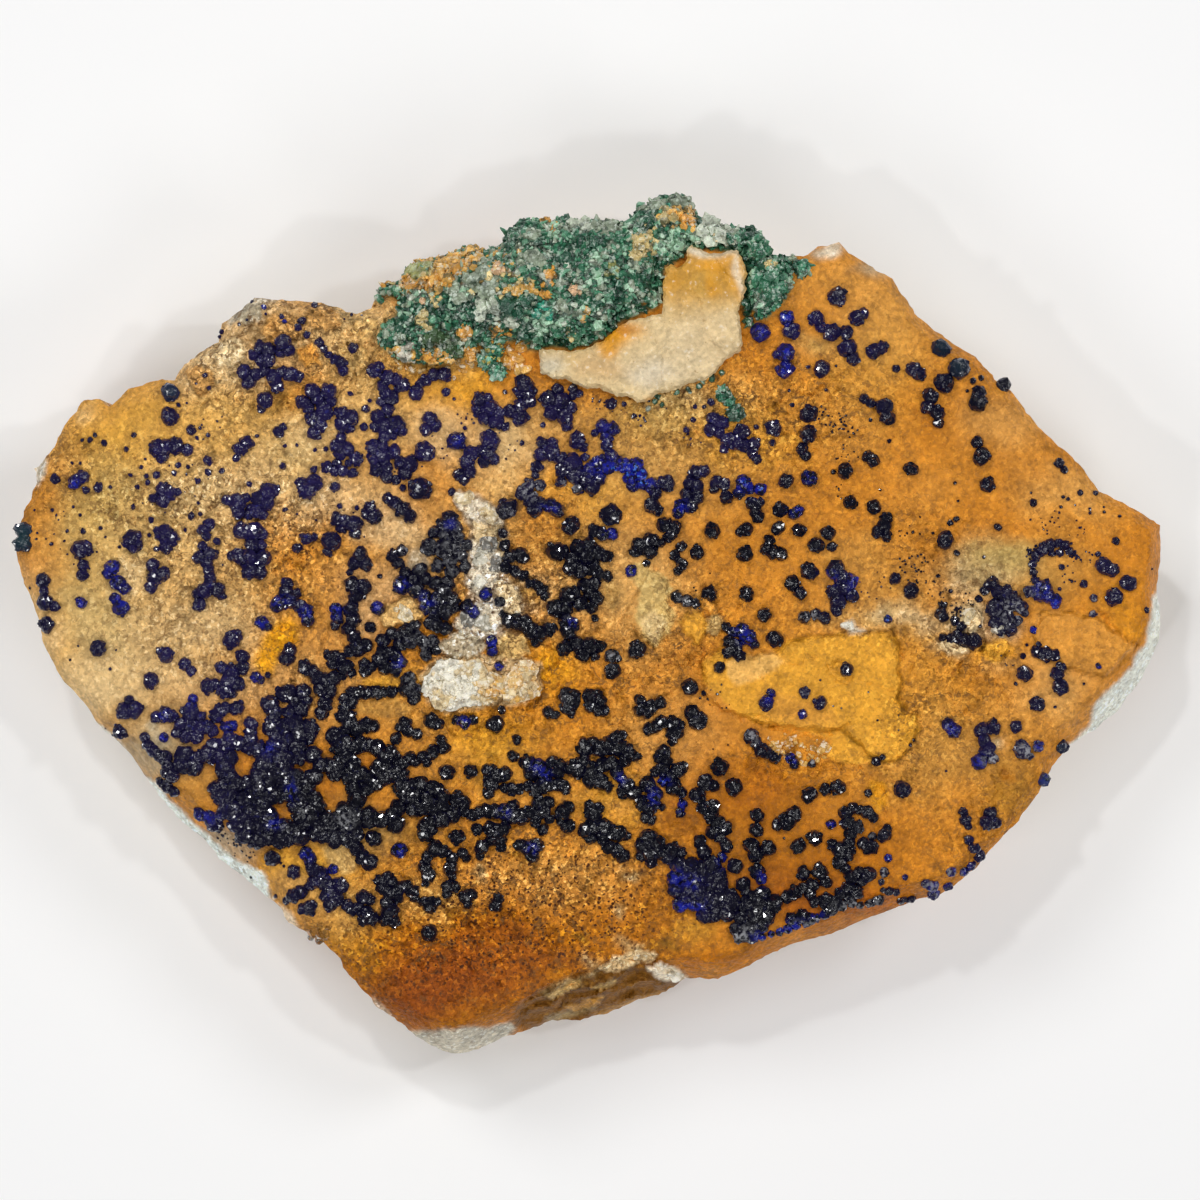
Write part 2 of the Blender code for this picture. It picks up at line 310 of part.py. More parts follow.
    (606, 556, 7), (570, 568, 8), (580, 571, 8), (592, 567, 8), (599, 574, 7), (607, 576, 6), (584, 585, 7),
    (594, 584, 7), (568, 595, 8), (575, 592, 6), (590, 592, 7), (596, 598, 7), (580, 603, 9), (592, 608, 6),
    (555, 608, 9), (565, 608, 8), (595, 618, 4), (566, 621, 7), (573, 625, 7), (568, 632, 8), (564, 648, 8),
    (577, 644, 8), (590, 645, 8), (600, 646, 6), (583, 655, 7), (595, 656, 5), (612, 656, 7), (618, 658, 4),
    (612, 671, 8), (637, 650, 9), (677, 597, 6), (687, 601, 6), (695, 603, 5), (709, 594, 8), (747, 594, 8),
    (764, 615, 7), (792, 583, 8), (800, 593, 7), (809, 571, 9), (835, 570, 9), (842, 578, 8), (850, 582, 8),
    (834, 592, 8), (843, 588, 8), (852, 595, 7), (838, 602, 8), (836, 610, 6), (804, 617, 6), (816, 614, 6),
    (824, 618, 6), (726, 627, 5), (733, 632, 6), (742, 630, 7), (748, 637, 8), (754, 644, 5), (728, 641, 6),
    (735, 647, 8), (739, 655, 6), (728, 652, 6), (719, 667, 6), (775, 639, 8), (785, 370, 9), (822, 369, 8),
    (809, 414, 9), (808, 434, 9), (802, 449, 6), (805, 456, 5), (773, 428, 8), (713, 419, 7), (721, 423, 7),
    (711, 430, 7), (719, 433, 6), (742, 432, 8), (727, 440, 7), (736, 443, 8), (724, 449, 5), (745, 446, 7),
    (754, 443, 6), (752, 453, 6), (757, 460, 5), (690, 687, 8), (640, 700, 6), (641, 709, 7), (647, 713, 6),
    (652, 706, 7), (660, 703, 6), (648, 729, 6), (656, 727, 6), (662, 722, 7), (673, 723, 8), (680, 725, 5),
    (675, 733, 8), (672, 741, 5), (692, 713, 8), (698, 721, 9), (590, 697, 8), (597, 694, 6), (601, 701, 6),
    (590, 706, 7), (598, 709, 7), (605, 711, 5), (766, 703, 8), (771, 693, 5), (804, 692, 6), (820, 703, 7),
    (802, 714, 5), (846, 669, 7), (704, 693, 3), (751, 736, 8), (756, 743, 6), (761, 750, 7), (768, 753, 7),
    (775, 758, 6), (790, 758, 5), (794, 764, 5), (812, 764, 4),
    # upper right
    (837, 297, 10), (856, 318, 8), (863, 314, 6), (786, 318, 8), (791, 331, 9), (760, 333, 9), (785, 353, 9),
    (776, 355, 4), (816, 319, 8), (821, 328, 6), (831, 333, 9), (846, 333, 7), (847, 348, 9), (853, 359, 7),
    (873, 352, 8), (881, 348, 7), (896, 369, 4), (913, 370, 8), (919, 374, 7), (941, 348, 9), (959, 369, 10),
    (944, 383, 10), (930, 396, 8), (927, 407, 7), (937, 413, 8), (938, 423, 5), (979, 392, 7), (978, 402, 9),
    (1004, 385, 7), (864, 399, 5), (870, 403, 5), (884, 407, 8), (887, 417, 8), (977, 442, 6), (981, 457, 9),
    (987, 485, 8), (1033, 503, 4), (868, 457, 6), (873, 461, 7), (911, 469, 7), (874, 507, 7), (886, 518, 6),
    (884, 526, 7), (877, 532, 6), (886, 536, 6), (950, 523, 3), (956, 519, 3), (998, 527, 4), (945, 540, 8),
    # right
    (1059, 463, 5), (1064, 470, 4), (1080, 493, 3), (1096, 493, 3), (1116, 541, 4), (1098, 554, 3),
    (1062, 567, 3), (1104, 566, 9), (1112, 570, 7), (1128, 583, 8), (1114, 597, 9), (1084, 584, 4),
    (1094, 598, 4), (1147, 610, 3), (1093, 614, 4), (895, 579, 6), (911, 591, 8), (888, 619, 4),
    (957, 553, 3), (992, 584, 8), (985, 590, 5), (998, 592, 7), (1006, 591, 6), (1012, 597, 7),
    (1006, 603, 8), (1015, 603, 8), (1022, 607, 7), (1025, 613, 4), (994, 609, 9), (979, 599, 4),
    (996, 622, 7), (1006, 618, 8), (1010, 629, 7), (1000, 631, 5), (1018, 621, 5), (1031, 591, 7),
    (1043, 588, 9), (1048, 596, 8), (1055, 601, 7), (1040, 595, 7), (1050, 545, 6), (1058, 543, 5),
    (1065, 545, 5), (1070, 551, 4), (1060, 553, 4), (1052, 553, 4), (1043, 550, 6), (1036, 556, 5),
    (1033, 564, 4), (1034, 572, 4), (1036, 580, 4), (943, 606, 5), (942, 615, 7), (955, 621, 5),
    (961, 626, 5), (943, 638, 4), (951, 639, 5), (957, 637, 7), (965, 641, 7), (974, 641, 8),
    (1037, 652, 6), (1046, 654, 8), (1054, 655, 6), (1034, 630, 4), (1039, 644, 3), (1025, 673, 8),
    (1061, 668, 6), (1057, 674, 7), (1061, 687, 8), (1037, 704, 8), (1098, 666, 3), (1023, 656, 3),
    (948, 725, 7), (954, 731, 7), (993, 727, 8), (983, 730, 7), (978, 731, 5), (984, 740, 7), (989, 748, 6),
    (984, 752, 6), (979, 762, 8), (992, 758, 6), (1016, 727, 6), (1022, 749, 9), (1038, 746, 6),
    (1030, 756, 4), (1063, 747, 7), (1044, 780, 7),
    # lower right
    (902, 789, 8), (868, 793, 4), (876, 761, 5), (882, 757, 3), (963, 812, 5), (965, 820, 6), (968, 826, 4),
    (990, 813, 6), (987, 822, 8), (995, 823, 6), (969, 840, 5), (974, 848, 6), (980, 856, 6), (965, 872, 5),
    (972, 866, 5), (951, 872, 5), (949, 887, 5), (932, 885, 7), (926, 883, 5), (935, 895, 6), (905, 877, 3),
    (888, 858, 4), (868, 847, 7), (863, 843, 6), (873, 847, 6), (884, 835, 7), (887, 829, 5), (872, 836, 4),
    (845, 813, 7), (853, 808, 6), (861, 810, 5), (867, 812, 6), (873, 817, 6), (848, 823, 8), (857, 827, 7),
    (850, 833, 6), (831, 824, 5), (832, 844, 6), (840, 850, 8), (848, 844, 7), (848, 854, 7), (839, 862, 7),
    (845, 868, 6), (851, 877, 7), (859, 873, 6), (868, 874, 8), (862, 881, 5), (884, 872, 5), (889, 891, 5),
    (896, 892, 4), (848, 888, 7), (856, 892, 7), (849, 898, 6), (840, 893, 6), (826, 900, 8), (835, 903, 8),
    (829, 909, 6), (814, 901, 6), (810, 894, 6), (803, 873, 7), (820, 872, 8), (818, 866, 5), (826, 882, 6),
    (812, 885, 7), (804, 888, 7), (795, 892, 8), (787, 897, 6), (802, 916, 7), (791, 919, 6), (811, 919, 6),
    (878, 900, 6), (870, 903, 5), (903, 901, 5), (912, 900, 5), (809, 795, 8), (825, 789, 6), (838, 787, 8),
    (815, 838, 7), (809, 836, 4), (798, 846, 8), (757, 815, 7), (756, 830, 7), (751, 845, 8), (756, 854, 8),
    (768, 848, 8), (757, 871, 8), (761, 878, 6), (735, 866, 8), (743, 884, 7), (746, 892, 5), (786, 821, 9),
    (794, 814, 8), (777, 824, 6), (705, 808, 8), (713, 806, 7), (710, 816, 8), (718, 822, 7), (713, 832, 7),
    (725, 828, 7), (720, 838, 6), (726, 845, 7), (700, 842, 7), (704, 851, 7), (722, 857, 5), (672, 850, 8),
    (668, 858, 7), (680, 852, 6),
)


def in_polygon(x, y, polygon):
    """Say whether a place lies inside a closed outline."""
    inside = False
    previous_x, previous_y = polygon[-1]
    for corner_x, corner_y in polygon:
        if (corner_y > y) != (previous_y > y):
            crossing = corner_x + (y - corner_y) * (previous_x - corner_x) / (previous_y - corner_y)
            inside ^= x < crossing
        previous_x, previous_y = corner_x, corner_y
    return inside


def polygon_distance(x, y, polygon):
    """Distance from a place to the nearest side of an outline."""
    nearest = math.inf
    start_x, start_y = polygon[-1]
    for end_x, end_y in polygon:
        run_x, run_y = end_x - start_x, end_y - start_y
        share = ((x - start_x) * run_x + (y - start_y) * run_y) / (run_x * run_x + run_y * run_y)
        share = min(1.0, max(0.0, share))
        nearest = min(nearest, math.hypot(x - start_x - share * run_x, y - start_y - share * run_y))
        start_x, start_y = end_x, end_y
    return nearest


def thinned(points, tolerance):
    """Leave out the points of an open line that stand out from it by less than the tolerance."""
    if len(points) < 3:
        return list(points)
    (ax, ay), (bx, by) = points[0], points[-1]
    length = math.hypot(bx - ax, by - ay)
    offsets = [abs((bx - ax) * (ay - y) - (ax - x) * (by - ay)) / length for x, y in points[1:-1]]
    if max(offsets) < tolerance:
        return [points[0], points[-1]]
    split = offsets.index(max(offsets)) + 1
    return thinned(points[:split + 1], tolerance)[:-1] + thinned(points[split:], tolerance)


def thinned_loop(loop, tolerance):
    """Thin a closed outline as two open halves."""
    half = len(loop) // 2
    return thinned(loop[:half + 1], tolerance)[:-1] + thinned(loop[half:] + loop[:1], tolerance)[:-1]


def rim_fall(x, y):
    """How far the face has dropped towards the broken rim at a place, mm."""
    fall, width = RIM_DROP, RIM_WIDTH
    for spot_x, spot_y, reach, more_fall, more_width in BROKEN_RIM:
        weight = math.exp(-((x - spot_x) ** 2 + (y - spot_y) ** 2) / reach ** 2)
        fall += more_fall * weight
        width += more_width * weight
    distance = polygon_distance(x, y, OUTLINE)
    return fall * max(0.0, 1.0 - distance / width) ** RIM_POWER


def face_height(x, y):
    """Height of the bare quartz face, mm."""
    height = FACE_LEVEL - rim_fall(x, y)
    for swell_x, swell_y, half_x, half_y, rise in SWELLS:
        height += rise * math.exp(-((x - swell_x) / half_x) ** 2 - ((y - swell_y) / half_y) ** 2)
    for rise, polygon in STEPS:
        if in_polygon(x, y, polygon):
            height += rise
    return height + FACE_WAVES * noise.noise(Vector((x / FACE_WAVE_WIDTH, y / FACE_WAVE_WIDTH, 3.1)))


def lump_height(x, y, lump):
    """Height of a spherule's low faceted form over the ground at a place, mm."""
    lump_x, lump_y, radius = lump
    share = math.hypot(x - lump_x, y - lump_y) / radius
    peak = SPHERULE_HEIGHT * radius * SQUARE / MM
    return peak * max(0.0, min(1.0, (BUMP_FOOT - share) / BUMP_FLANK))


def ground_height(x, y, bumps):
    """Height of the quartz face with the small spherules that are part of it, mm."""
    near = [bump for bump in bumps if math.hypot(x - bump[0], y - bump[1]) < 2.0 * bump[2]]
    return face_height(x, y) + max((lump_height(x, y, bump) for bump in near), default=0.0)


def metres(x, y, height):
    """Turn a place on the tracing grid and a height into a point of the model."""
    return Vector(((x - SHEET_CENTRE[0]) * SQUARE, (SHEET_CENTRE[1] - y) * SQUARE, height * MM))


def without_covered(spherules):
    """Leave out lobes that a larger neighbour mostly covers."""
    kept = []
    for ball in sorted(spherules, key=lambda entry: -entry[2]):
        covered = any(math.hypot(ball[0] - x, ball[1] - y) < COVER_SHARE * radius for x, y, radius in kept)
        if not covered:
            kept.append(ball)
    return [(x, y, radius + LOBE_GROWTH) for x, y, radius in kept]


def carpet_spherules(rng):
    """Fill the carpets with close-set spherules, leaving the windows bare."""
    spherules = []
    for carpet in CARPETS:
        low_x, high_x = min(x for x, _ in carpet), max(x for x, _ in carpet)
        low_y, high_y = min(y for _, y in carpet), max(y for _, y in carpet)
        rows = int((high_y - low_y) / (CARPET_SPACING * ROW_SHARE)) + 1
        columns = int((high_x - low_x) / CARPET_SPACING) + 1
        for row in range(rows):
            for column in range(columns):
                x = low_x + (column + 0.5 * (row % 2)) * CARPET_SPACING
                x += rng.uniform(-CARPET_WANDER, CARPET_WANDER)
                y = low_y + row * CARPET_SPACING * ROW_SHARE + rng.uniform(-CARPET_WANDER, CARPET_WANDER)
                bare = any(math.hypot(x - wx, y - wy) < reach + WINDOW_MARGIN for wx, wy, reach in WINDOWS)
                if in_polygon(x, y, carpet) and not bare:
                    spherules.append((x, y, CARPET_RADIUS))
    return spherules


def clear_of_others(ball):
    """Say whether a spherule stands clear of the druse, the plate, the patch and the other grains."""
    x, y, radius = ball
    for polygon in (DRUSE, PLATE, PATCH):
        if in_polygon(x, y, polygon) or polygon_distance(x, y, polygon) < radius * SPHERULE_ROOM + PLAN_GAP:
            return False
    grains = [grain for group in MALACHITE_GRAINS.values() for grain in group] + list(CLEAR_QUARTZ)
    if any(math.hypot(x - grain_x, y - grain_y) < SPHERULE_ROOM * (radius + reach) + PLAN_GAP
           for grain_x, grain_y, reach in grains):
        return False
    return in_polygon(x, y, OUTLINE) and polygon_distance(x, y, OUTLINE) > RIM_ROOM * radius


def grouped(spherules):
    """Gather spherules that touch into clusters."""
    labels = list(range(len(spherules)))

    def root(index):
        while labels[index] != index:
            index = labels[index]
        return index

    for first in range(len(spherules)):
        for second in range(first):
            ax, ay, a_radius = spherules[first]
            bx, by, b_radius = spherules[second]
            if math.hypot(ax - bx, ay - by) < a_radius + b_radius:
                labels[root(first)] = root(second)
    groups = {}
    for index, ball in enumerate(spherules):
        groups.setdefault(root(index), []).append(ball)
    return list(groups.values())


def drawn_apart(groups):
    """Shrink spherules that come too near a neighbour of another cluster."""
    every = [(ball, number) for number, group in enumerate(groups) for ball in group]
    result = []
    for number, group in enumerate(groups):
        shrunk = []
        for x, y, radius in group:
            scale = 1.0
            for (ox, oy, o_radius), other in every:
                if other != number:
                    room = math.hypot(x - ox, y - oy) - PLAN_GAP
                    scale = min(scale, room / (SPHERULE_ROOM * (radius + o_radius)))
            shrunk.append((x, y, radius * scale))
        result.append(shrunk)
    return result


def necks(group):
    """Pairs of spherules that hold a cluster together, nearest first."""
    joined, waiting, pairs = [group[0]], list(group[1:]), []
    while waiting:
        near, far = min(((a, b) for a in joined for b in waiting),
                        key=lambda pair: math.hypot(pair[0][0] - pair[1][0], pair[0][1] - pair[1][1])
                        - pair[0][2] - pair[1][2])
        waiting.remove(far)
        joined.append(far)
        pairs.append((near, far))
    return pairs


def new_object(name, bm, material):
    """Put a finished mesh in the scene under its name."""
    mesh = bpy.data.meshes.new(name)
    bmesh.ops.recalc_face_normals(bm, faces=bm.faces)
    bm.to_mesh(mesh)
    bm.free()
    obj = bpy.data.objects.new(name, mesh)
    bpy.context.scene.collection.objects.link(obj)
    if material:
        mesh.materials.append(material)
    return obj


def make_material(name, colour, roughness):
    """A plain mineral surface."""
    material = bpy.data.materials.new(name)
    material.use_nodes = True
    shader = material.node_tree.nodes["Principled BSDF"]
    shader.inputs["Base Color"].default_value = (*colour, 1.0)
    shader.inputs["Roughness"].default_value = roughness
    shader.inputs["Metallic"].default_value = 0.0
    return material


def step_points():
    """Pairs of points just inside and just outside each step of the face."""
    points = []
    for _, polygon in STEPS:
        centre_x = sum(x for x, _ in polygon) / len(polygon)
        centre_y = sum(y for _, y in polygon) / len(polygon)
        for x, y in polygon:
            reach = math.hypot(x - centre_x, y - centre_y)
            for offset in (-STEP_REACH, STEP_REACH):
                share = 1.0 + offset / reach
                points.append((centre_x + share * (x - centre_x), centre_y + share * (y - centre_y)))
    return points


def bump_points(bumps, rng):
    """A five-sided foot and a peak (a three-sided flat if it is large) for each small spherule."""
    points = []
    for x, y, radius in bumps:
        turn = rng.uniform(0.0, 2.0 * math.pi)
        rings = BUMP_RINGS if radius > LARGE_BUMP else (BUMP_RINGS[0], (0.0, 1))
        for reach, sides in rings:
            for corner in range(sides):
                angle = turn + 2.0 * math.pi * corner / sides
                points.append((x + reach * radius * math.cos(angle), y + reach * radius * math.sin(angle)))
    return points


def scattered(polygon, spacing, wander, margin, rng):
    """Points spread evenly but not regularly inside an outline."""
    low_x, high_x = min(x for x, _ in polygon), max(x for x, _ in polygon)
    low_y, high_y = min(y for _, y in polygon), max(y for _, y in polygon)
    points = []
    for row in range(int((high_y - low_y) / (ROW_SHARE * spacing)) + 2):
        for column in range(int((high_x - low_x) / spacing) + 2):
            x = low_x + (column + 0.5 * (row % 2)) * spacing + rng.uniform(-wander, wander)
            y = low_y + ROW_SHARE * row * spacing + rng.uniform(-wander, wander)
            if in_polygon(x, y, polygon) and polygon_distance(x, y, polygon) > margin:
                points.append((x, y))
    return points


def spaced_out(points, fixed, distance):
    """Drop the points that crowd the fixed ones."""
    return [(x, y) for x, y in points if all(math.hypot(x - a, y - b) > distance for a, b in fixed)]


def slab_mesh(plan, faces, heights, rng):
    """Close the face with broken sides and a flat underside."""
    bm = bmesh.new()
    used = sorted({index for face in faces for index in face})
    top = {index: bm.verts.new(metres(*plan[index], heights[index])) for index in used}
    for face in faces:
        bm.faces.new([top[index] for index in face])
    loop = boundary_loops(faces)[0]
    ring = [top[index] for index in loop]
    for size, level in SIDE_RINGS:
        lower = []
        for index in loop:
            x, y = plan[index]
            spread = size * (1.0 + rng.uniform(-SIDE_ROUGHNESS, 0.0))
            x = SHEET_CENTRE[0] + (x - SHEET_CENTRE[0]) * spread
            y = SHEET_CENTRE[1] + (y - SHEET_CENTRE[1]) * spread
            lower.append(bm.verts.new(metres(x, y, heights[index] * level * rng.uniform(*SIDE_LEVELS))))
        for index in range(len(ring)):
            after = (index + 1) % len(ring)
            bm.faces.new((ring[after], ring[index], lower[index], lower[after]))
        ring = lower
    bm.faces.new(ring)
    return bm


def build_slab(bumps, material):
    """The quartz slab and, in the same form, the cutter that fits every other piece to its face."""
    rng = random.Random(11)
    outline = thinned_loop(list(OUTLINE), OUTLINE_TOLERANCE)
    feet = bump_points(bumps, rng)
    ledges = spaced_out(step_points(), feet, STEP_REACH)
    spread = scattered(OUTLINE, FACE_SPACING, FACE_WANDER, FACE_MARGIN, rng)
    spread = spaced_out(spaced_out(spread, feet, FOOT_ROOM), ledges, FACE_MARGIN)
    inner_rim = [(x + (SHEET_CENTRE[0] - x) * INNER_RIM[0], y + (SHEET_CENTRE[1] - y) * INNER_RIM[1])
                 for x, y in outline[::2]]
    inner_rim = spaced_out(inner_rim, feet + ledges + spread, FACE_WANDER)
    plan, faces = filled_outlines([outline], feet + ledges + spread + inner_rim)
    heights = [ground_height(x, y, bumps) for x, y in plan]
    slab = new_object("host_rock", slab_mesh(plan, faces, heights, random.Random(5)), material)
    raised = [height + SEAM_GAP for height in heights]
    cutter = new_object("face_cutter", slab_mesh(plan, faces, raised, random.Random(5)), None)
    cutter.hide_render = True
    cutter.display_type = "WIRE"
    return slab, cutter


def foot_polygon(ball, rng):
    """The foot of one spherule: a small polygon turned at random."""
    x, y, radius = ball
    turn = rng.uniform(0.0, 2.0 * math.pi)
    corners = [turn + 2.0 * math.pi * corner / FOOT_SIDES for corner in range(FOOT_SIDES)]
    reach = SPHERULE_FOOT * radius
    return [(x + reach * math.cos(angle), y + reach * math.sin(angle)) for angle in corners]


def neck_polygon(near, far):
    """A strip from the middle of one spherule to the middle of the next."""
    run = math.hypot(far[0] - near[0], far[1] - near[1])
    half = NECK_SHARE * min(near[2], far[2])
    across_x, across_y = half * (near[1] - far[1]) / run, half * (far[0] - near[0]) / run
    return [(near[0] + across_x, near[1] + across_y), (far[0] + across_x, far[1] + across_y),
            (far[0] - across_x, far[1] - across_y), (near[0] - across_x, near[1] - across_y)]


def boundary_loops(faces):
    """Chain the free edges of a triangulated plan into loops of vertex numbers."""
    used = {(face[index - 1], face[index]) for face in faces for index in range(len(face))}
    following = {start: end for start, end in used if (end, start) not in used}
    loops = []
    while following:
        start = next(iter(following))
        loop = [start]
        while following[loop[-1]] != start:
            loop.append(following[loop[-1]])
        for index in loop:
            del following[index]
        loops.append(loop)
    return loops


def loop_area(loop):
    """Area inside a closed outline."""
    total = sum(ax * by - bx * ay for (ax, ay), (bx, by) in zip(loop, loop[1:] + loop[:1]))
    return abs(total) / 2.0


def united_outlines(polygons):
    """Outlines, thinned, of the ground that overlapping polygons cover together."""
    points = [Vector(corner) for polygon in polygons for corner in polygon]
    faces, first = [], 0
    for polygon in polygons:
        faces.append(list(range(first, first + len(polygon))))
        first += len(polygon)
    places, _, triangles, _, _, _ = delaunay_2d_cdt(points, [], faces, 1, 0.01)
    loops = [[tuple(places[index]) for index in loop] for loop in boundary_loops(triangles)]
    return [thinned_loop(loop, LUMP_TOLERANCE) for loop in loops if loop_area(loop) > SMALLEST_WINDOW]


def filled_outlines(loops, inner):
    """Triangulate the ground between outlines, through the inner points."""
    points, edges = [], []
    for loop in loops:
        first = len(points)
        points.extend(Vector(place) for place in loop)
        edges.extend((first + index, first + (index + 1) % len(loop)) for index in range(len(loop)))
    points.extend(Vector(place) for place in inner)
    places, _, faces, _, _, _ = delaunay_2d_cdt(points, edges, [], 2, 0.01)
    return [tuple(place) for place in places], faces


def raise_solid(plan, faces, top_height, depth):
    """A closed solid over a triangulated plan: a relief on top, upright edges, a sunk underside."""
    bm = bmesh.new()
    used = sorted({index for face in faces for index in face})
    upper = {index: bm.verts.new(metres(*plan[index], top_height(index))) for index in used}
    lower = {index: bm.verts.new(metres(*plan[index], face_height(*plan[index]) - depth)) for index in used}
    for face in faces:
        bm.faces.new([upper[index] for index in face])
        bm.faces.new([lower[index] for index in reversed(face)])
    for loop in boundary_loops(faces):
        for start, end in zip(loop, loop[1:] + loop[:1]):
            bm.faces.new((upper[end], upper[start], lower[start], lower[end]))
    return bm


def drop_scraps(bm):
    """Keep the largest body of a mesh; crumbs cut off at its foot go."""
    waiting, bodies = set(bm.verts), []
    while waiting:
        body, edge = set(), [waiting.pop()]
        while edge:
            vert = edge.pop()
            body.add(vert)
            fresh = {link.other_vert(vert) for link in vert.link_edges} & waiting
            waiting -= fresh
            edge.extend(fresh)
        bodies.append(body)
    bodies.sort(key=len)
    for body in bodies[:-1]:
        bmesh.ops.delete(bm, geom=list(body), context="VERTS")


def fitted(obj, cutter):
    """Cut a piece's underside to the slab's face, and join what grew together in it."""
    modifier = obj.modifiers.new("fit", "BOOLEAN")
    modifier.operation = "DIFFERENCE"
    modifier.solver = "EXACT"
    modifier.use_self = True
    modifier.object = cutter
    depsgraph = bpy.context.evaluated_depsgraph_get()
    mesh = bpy.data.meshes.new_from_object(obj.evaluated_get(depsgraph))
    obj.modifiers.clear()
    obj.data = mesh
    bm = bmesh.new()
    bm.from_mesh(mesh)
    bmesh.ops.remove_doubles(bm, verts=bm.verts, dist=0.00001)
    bmesh.ops.dissolve_limit(bm, angle_limit=0.02, verts=bm.verts, edges=bm.edges)
    bmesh.ops.triangulate(bm, faces=bm.faces)
    drop_scraps(bm)
    bm.to_mesh(mesh)
    bm.free()
    return obj


def build_cluster(name, group, material, cutter, rng):
    """A cluster of spherules grown together: a peak over each, a dip between neighbours."""
    pairs = necks(group)
    outlines = united_outlines([foot_polygon(ball, rng) for ball in group]
                               + [neck_polygon(near, far) for near, far in pairs])
    dips = [((a[0] + b[0]) / 2.0, (a[1] + b[1]) / 2.0) for a, b in pairs]
    plan, faces = filled_outlines(outlines, [ball[:2] for ball in group] + dips)

    def top_height(index):
        x, y = plan[index]
        nearest = min(group, key=lambda ball: math.hypot(x - ball[0], y - ball[1]) / ball[2])
        peak = SPHERULE_HEIGHT * nearest[2] * SQUARE / MM
        share = 1.0 if math.hypot(x - nearest[0], y - nearest[1]) < 1.0 else EDGE_SHARE
        return face_height(x, y) + peak * share

    return fitted(new_object(name, raise_solid(plan, faces, top_height, SPHERULE_SINK), material), cutter)


def build_cushion(name, polygon, spacing, thickness, material, cutter, rng):
    """A piece with a rough top and upright edges; thickness(edge distance) is in mm."""
    loop = [(float(x), float(y)) for x, y in polygon]
    plan, faces = filled_outlines([loop], scattered(loop, spacing, CUSHION_WANDER * spacing,
                                                   CUSHION_MARGIN * spacing, rng))
    depths = [polygon_distance(x, y, loop) for x, y in plan]

    def top_height(index):
        return face_height(*plan[index]) + thickness(depths[index])

    return fitted(new_object(name, raise_solid(plan, faces, top_height, CUSHION_SINK), material), cutter)


def build_druse(material, cutter):
    """The malachite crust: a mound bristling with small crystals."""
    rng = random.Random(23)

    def thickness(depth):
        mound = DRUSE_EDGE + DRUSE_RISE * (1.0 - math.exp(-depth / DRUSE_SLOPE))
        return mound + (rng.uniform(*DRUSE_CRYSTALS) if depth > 1.0 else 0.0)

    return build_cushion("malachite_druse", DRUSE, DRUSE_SPACING, thickness, material, cutter, rng)


def build_plate(material, cutter):
    """The pale plate: a flat broken sheet with a chipped edge."""
    rng = random.Random(31)

    def thickness(depth):
        return PLATE_THICKNESS - (PLATE_CHIP if depth < 1.0 else 0.0) + rng.uniform(*PLATE_RELIEF)

    return build_cushion("pale_plate", PLATE, PLATE_SPACING, thickness, material, cutter, rng)


def build_patch(material, cutter):
    """The pale granular patch: low rough lumps of quartz."""
    rng = random.Random(37)

    def thickness(depth):
        return PATCH_THICKNESS * (PATCH_EDGE if depth < 1.0 else 1.0) + rng.uniform(*PATCH_RELIEF)

    return build_cushion("quartz_patch", PATCH, PATCH_SPACING, thickness, material, cutter, rng)


def main():
    for old in list(bpy.data.objects):
        bpy.data.objects.remove(old, do_unlink=True)
    quartz = make_material("iron_stained_quartz", (0.55, 0.30, 0.10), 0.6)
    azurite = make_material("azurite", (0.012, 0.016, 0.075), 0.25)
    malachite = make_material("malachite", (0.05, 0.16, 0.09), 0.4)
    pale = make_material("pale_quartz", (0.72, 0.58, 0.36), 0.65)
    clear = make_material("clear_quartz", (0.80, 0.80, 0.78), 0.2)

    spherules = [ball for ball in AZURITE if ball[2] >= 5 and clear_of_others(ball)]
    spherules = without_covered(spherules + carpet_spherules(random.Random(7)))
    groups = drawn_apart(grouped([ball for ball in spherules if clear_of_others(ball)]))
    groups.sort(key=lambda group: -sum(radius ** 2 for _, _, radius in group))
    clusters = sorted(groups[:LARGEST_CLUSTERS], key=lambda group: min(group))
    bumps = [ball for group in groups[LARGEST_CLUSTERS:] for ball in group if ball[2] >= SMALLEST_BUMP]

    slab, cutter = build_slab(bumps, quartz)
    for number, group in enumerate(clusters, 1):
        build_cluster(f"azurite_{number:02d}", group, azurite, cutter, random.Random(number))
    for name, group in MALACHITE_GRAINS.items():
        build_cluster(name, list(group), malachite, cutter, random.Random(len(name)))
    build_cluster("clear_quartz", list(CLEAR_QUARTZ), clear, cutter, random.Random(3))
    build_druse(malachite, cutter)
    build_plate(pale, cutter)
    build_patch(pale, cutter)
    bpy.data.objects.remove(cutter, do_unlink=True)


main()
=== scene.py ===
# %% [markdown]
# # Azurite on iron-stained quartz
#
# This lesson dresses a fixed CAD model of a mineral specimen: a flat slab of iron-stained quartz with
# hundreds of dark blue azurite spherules on its upper face, a green druse of malachite crystals along the
# back edge, and a pale plate of quartz in front of the druse.  The CAD solids carry the weight and the
# collisions.  Here each of them is replaced by a finer piece that grows from the same outlines.

# %% Load the frame
import math

import bmesh
import bpy
import numpy as np
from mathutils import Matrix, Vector, noise
from mathutils.geometry import delaunay_2d_cdt


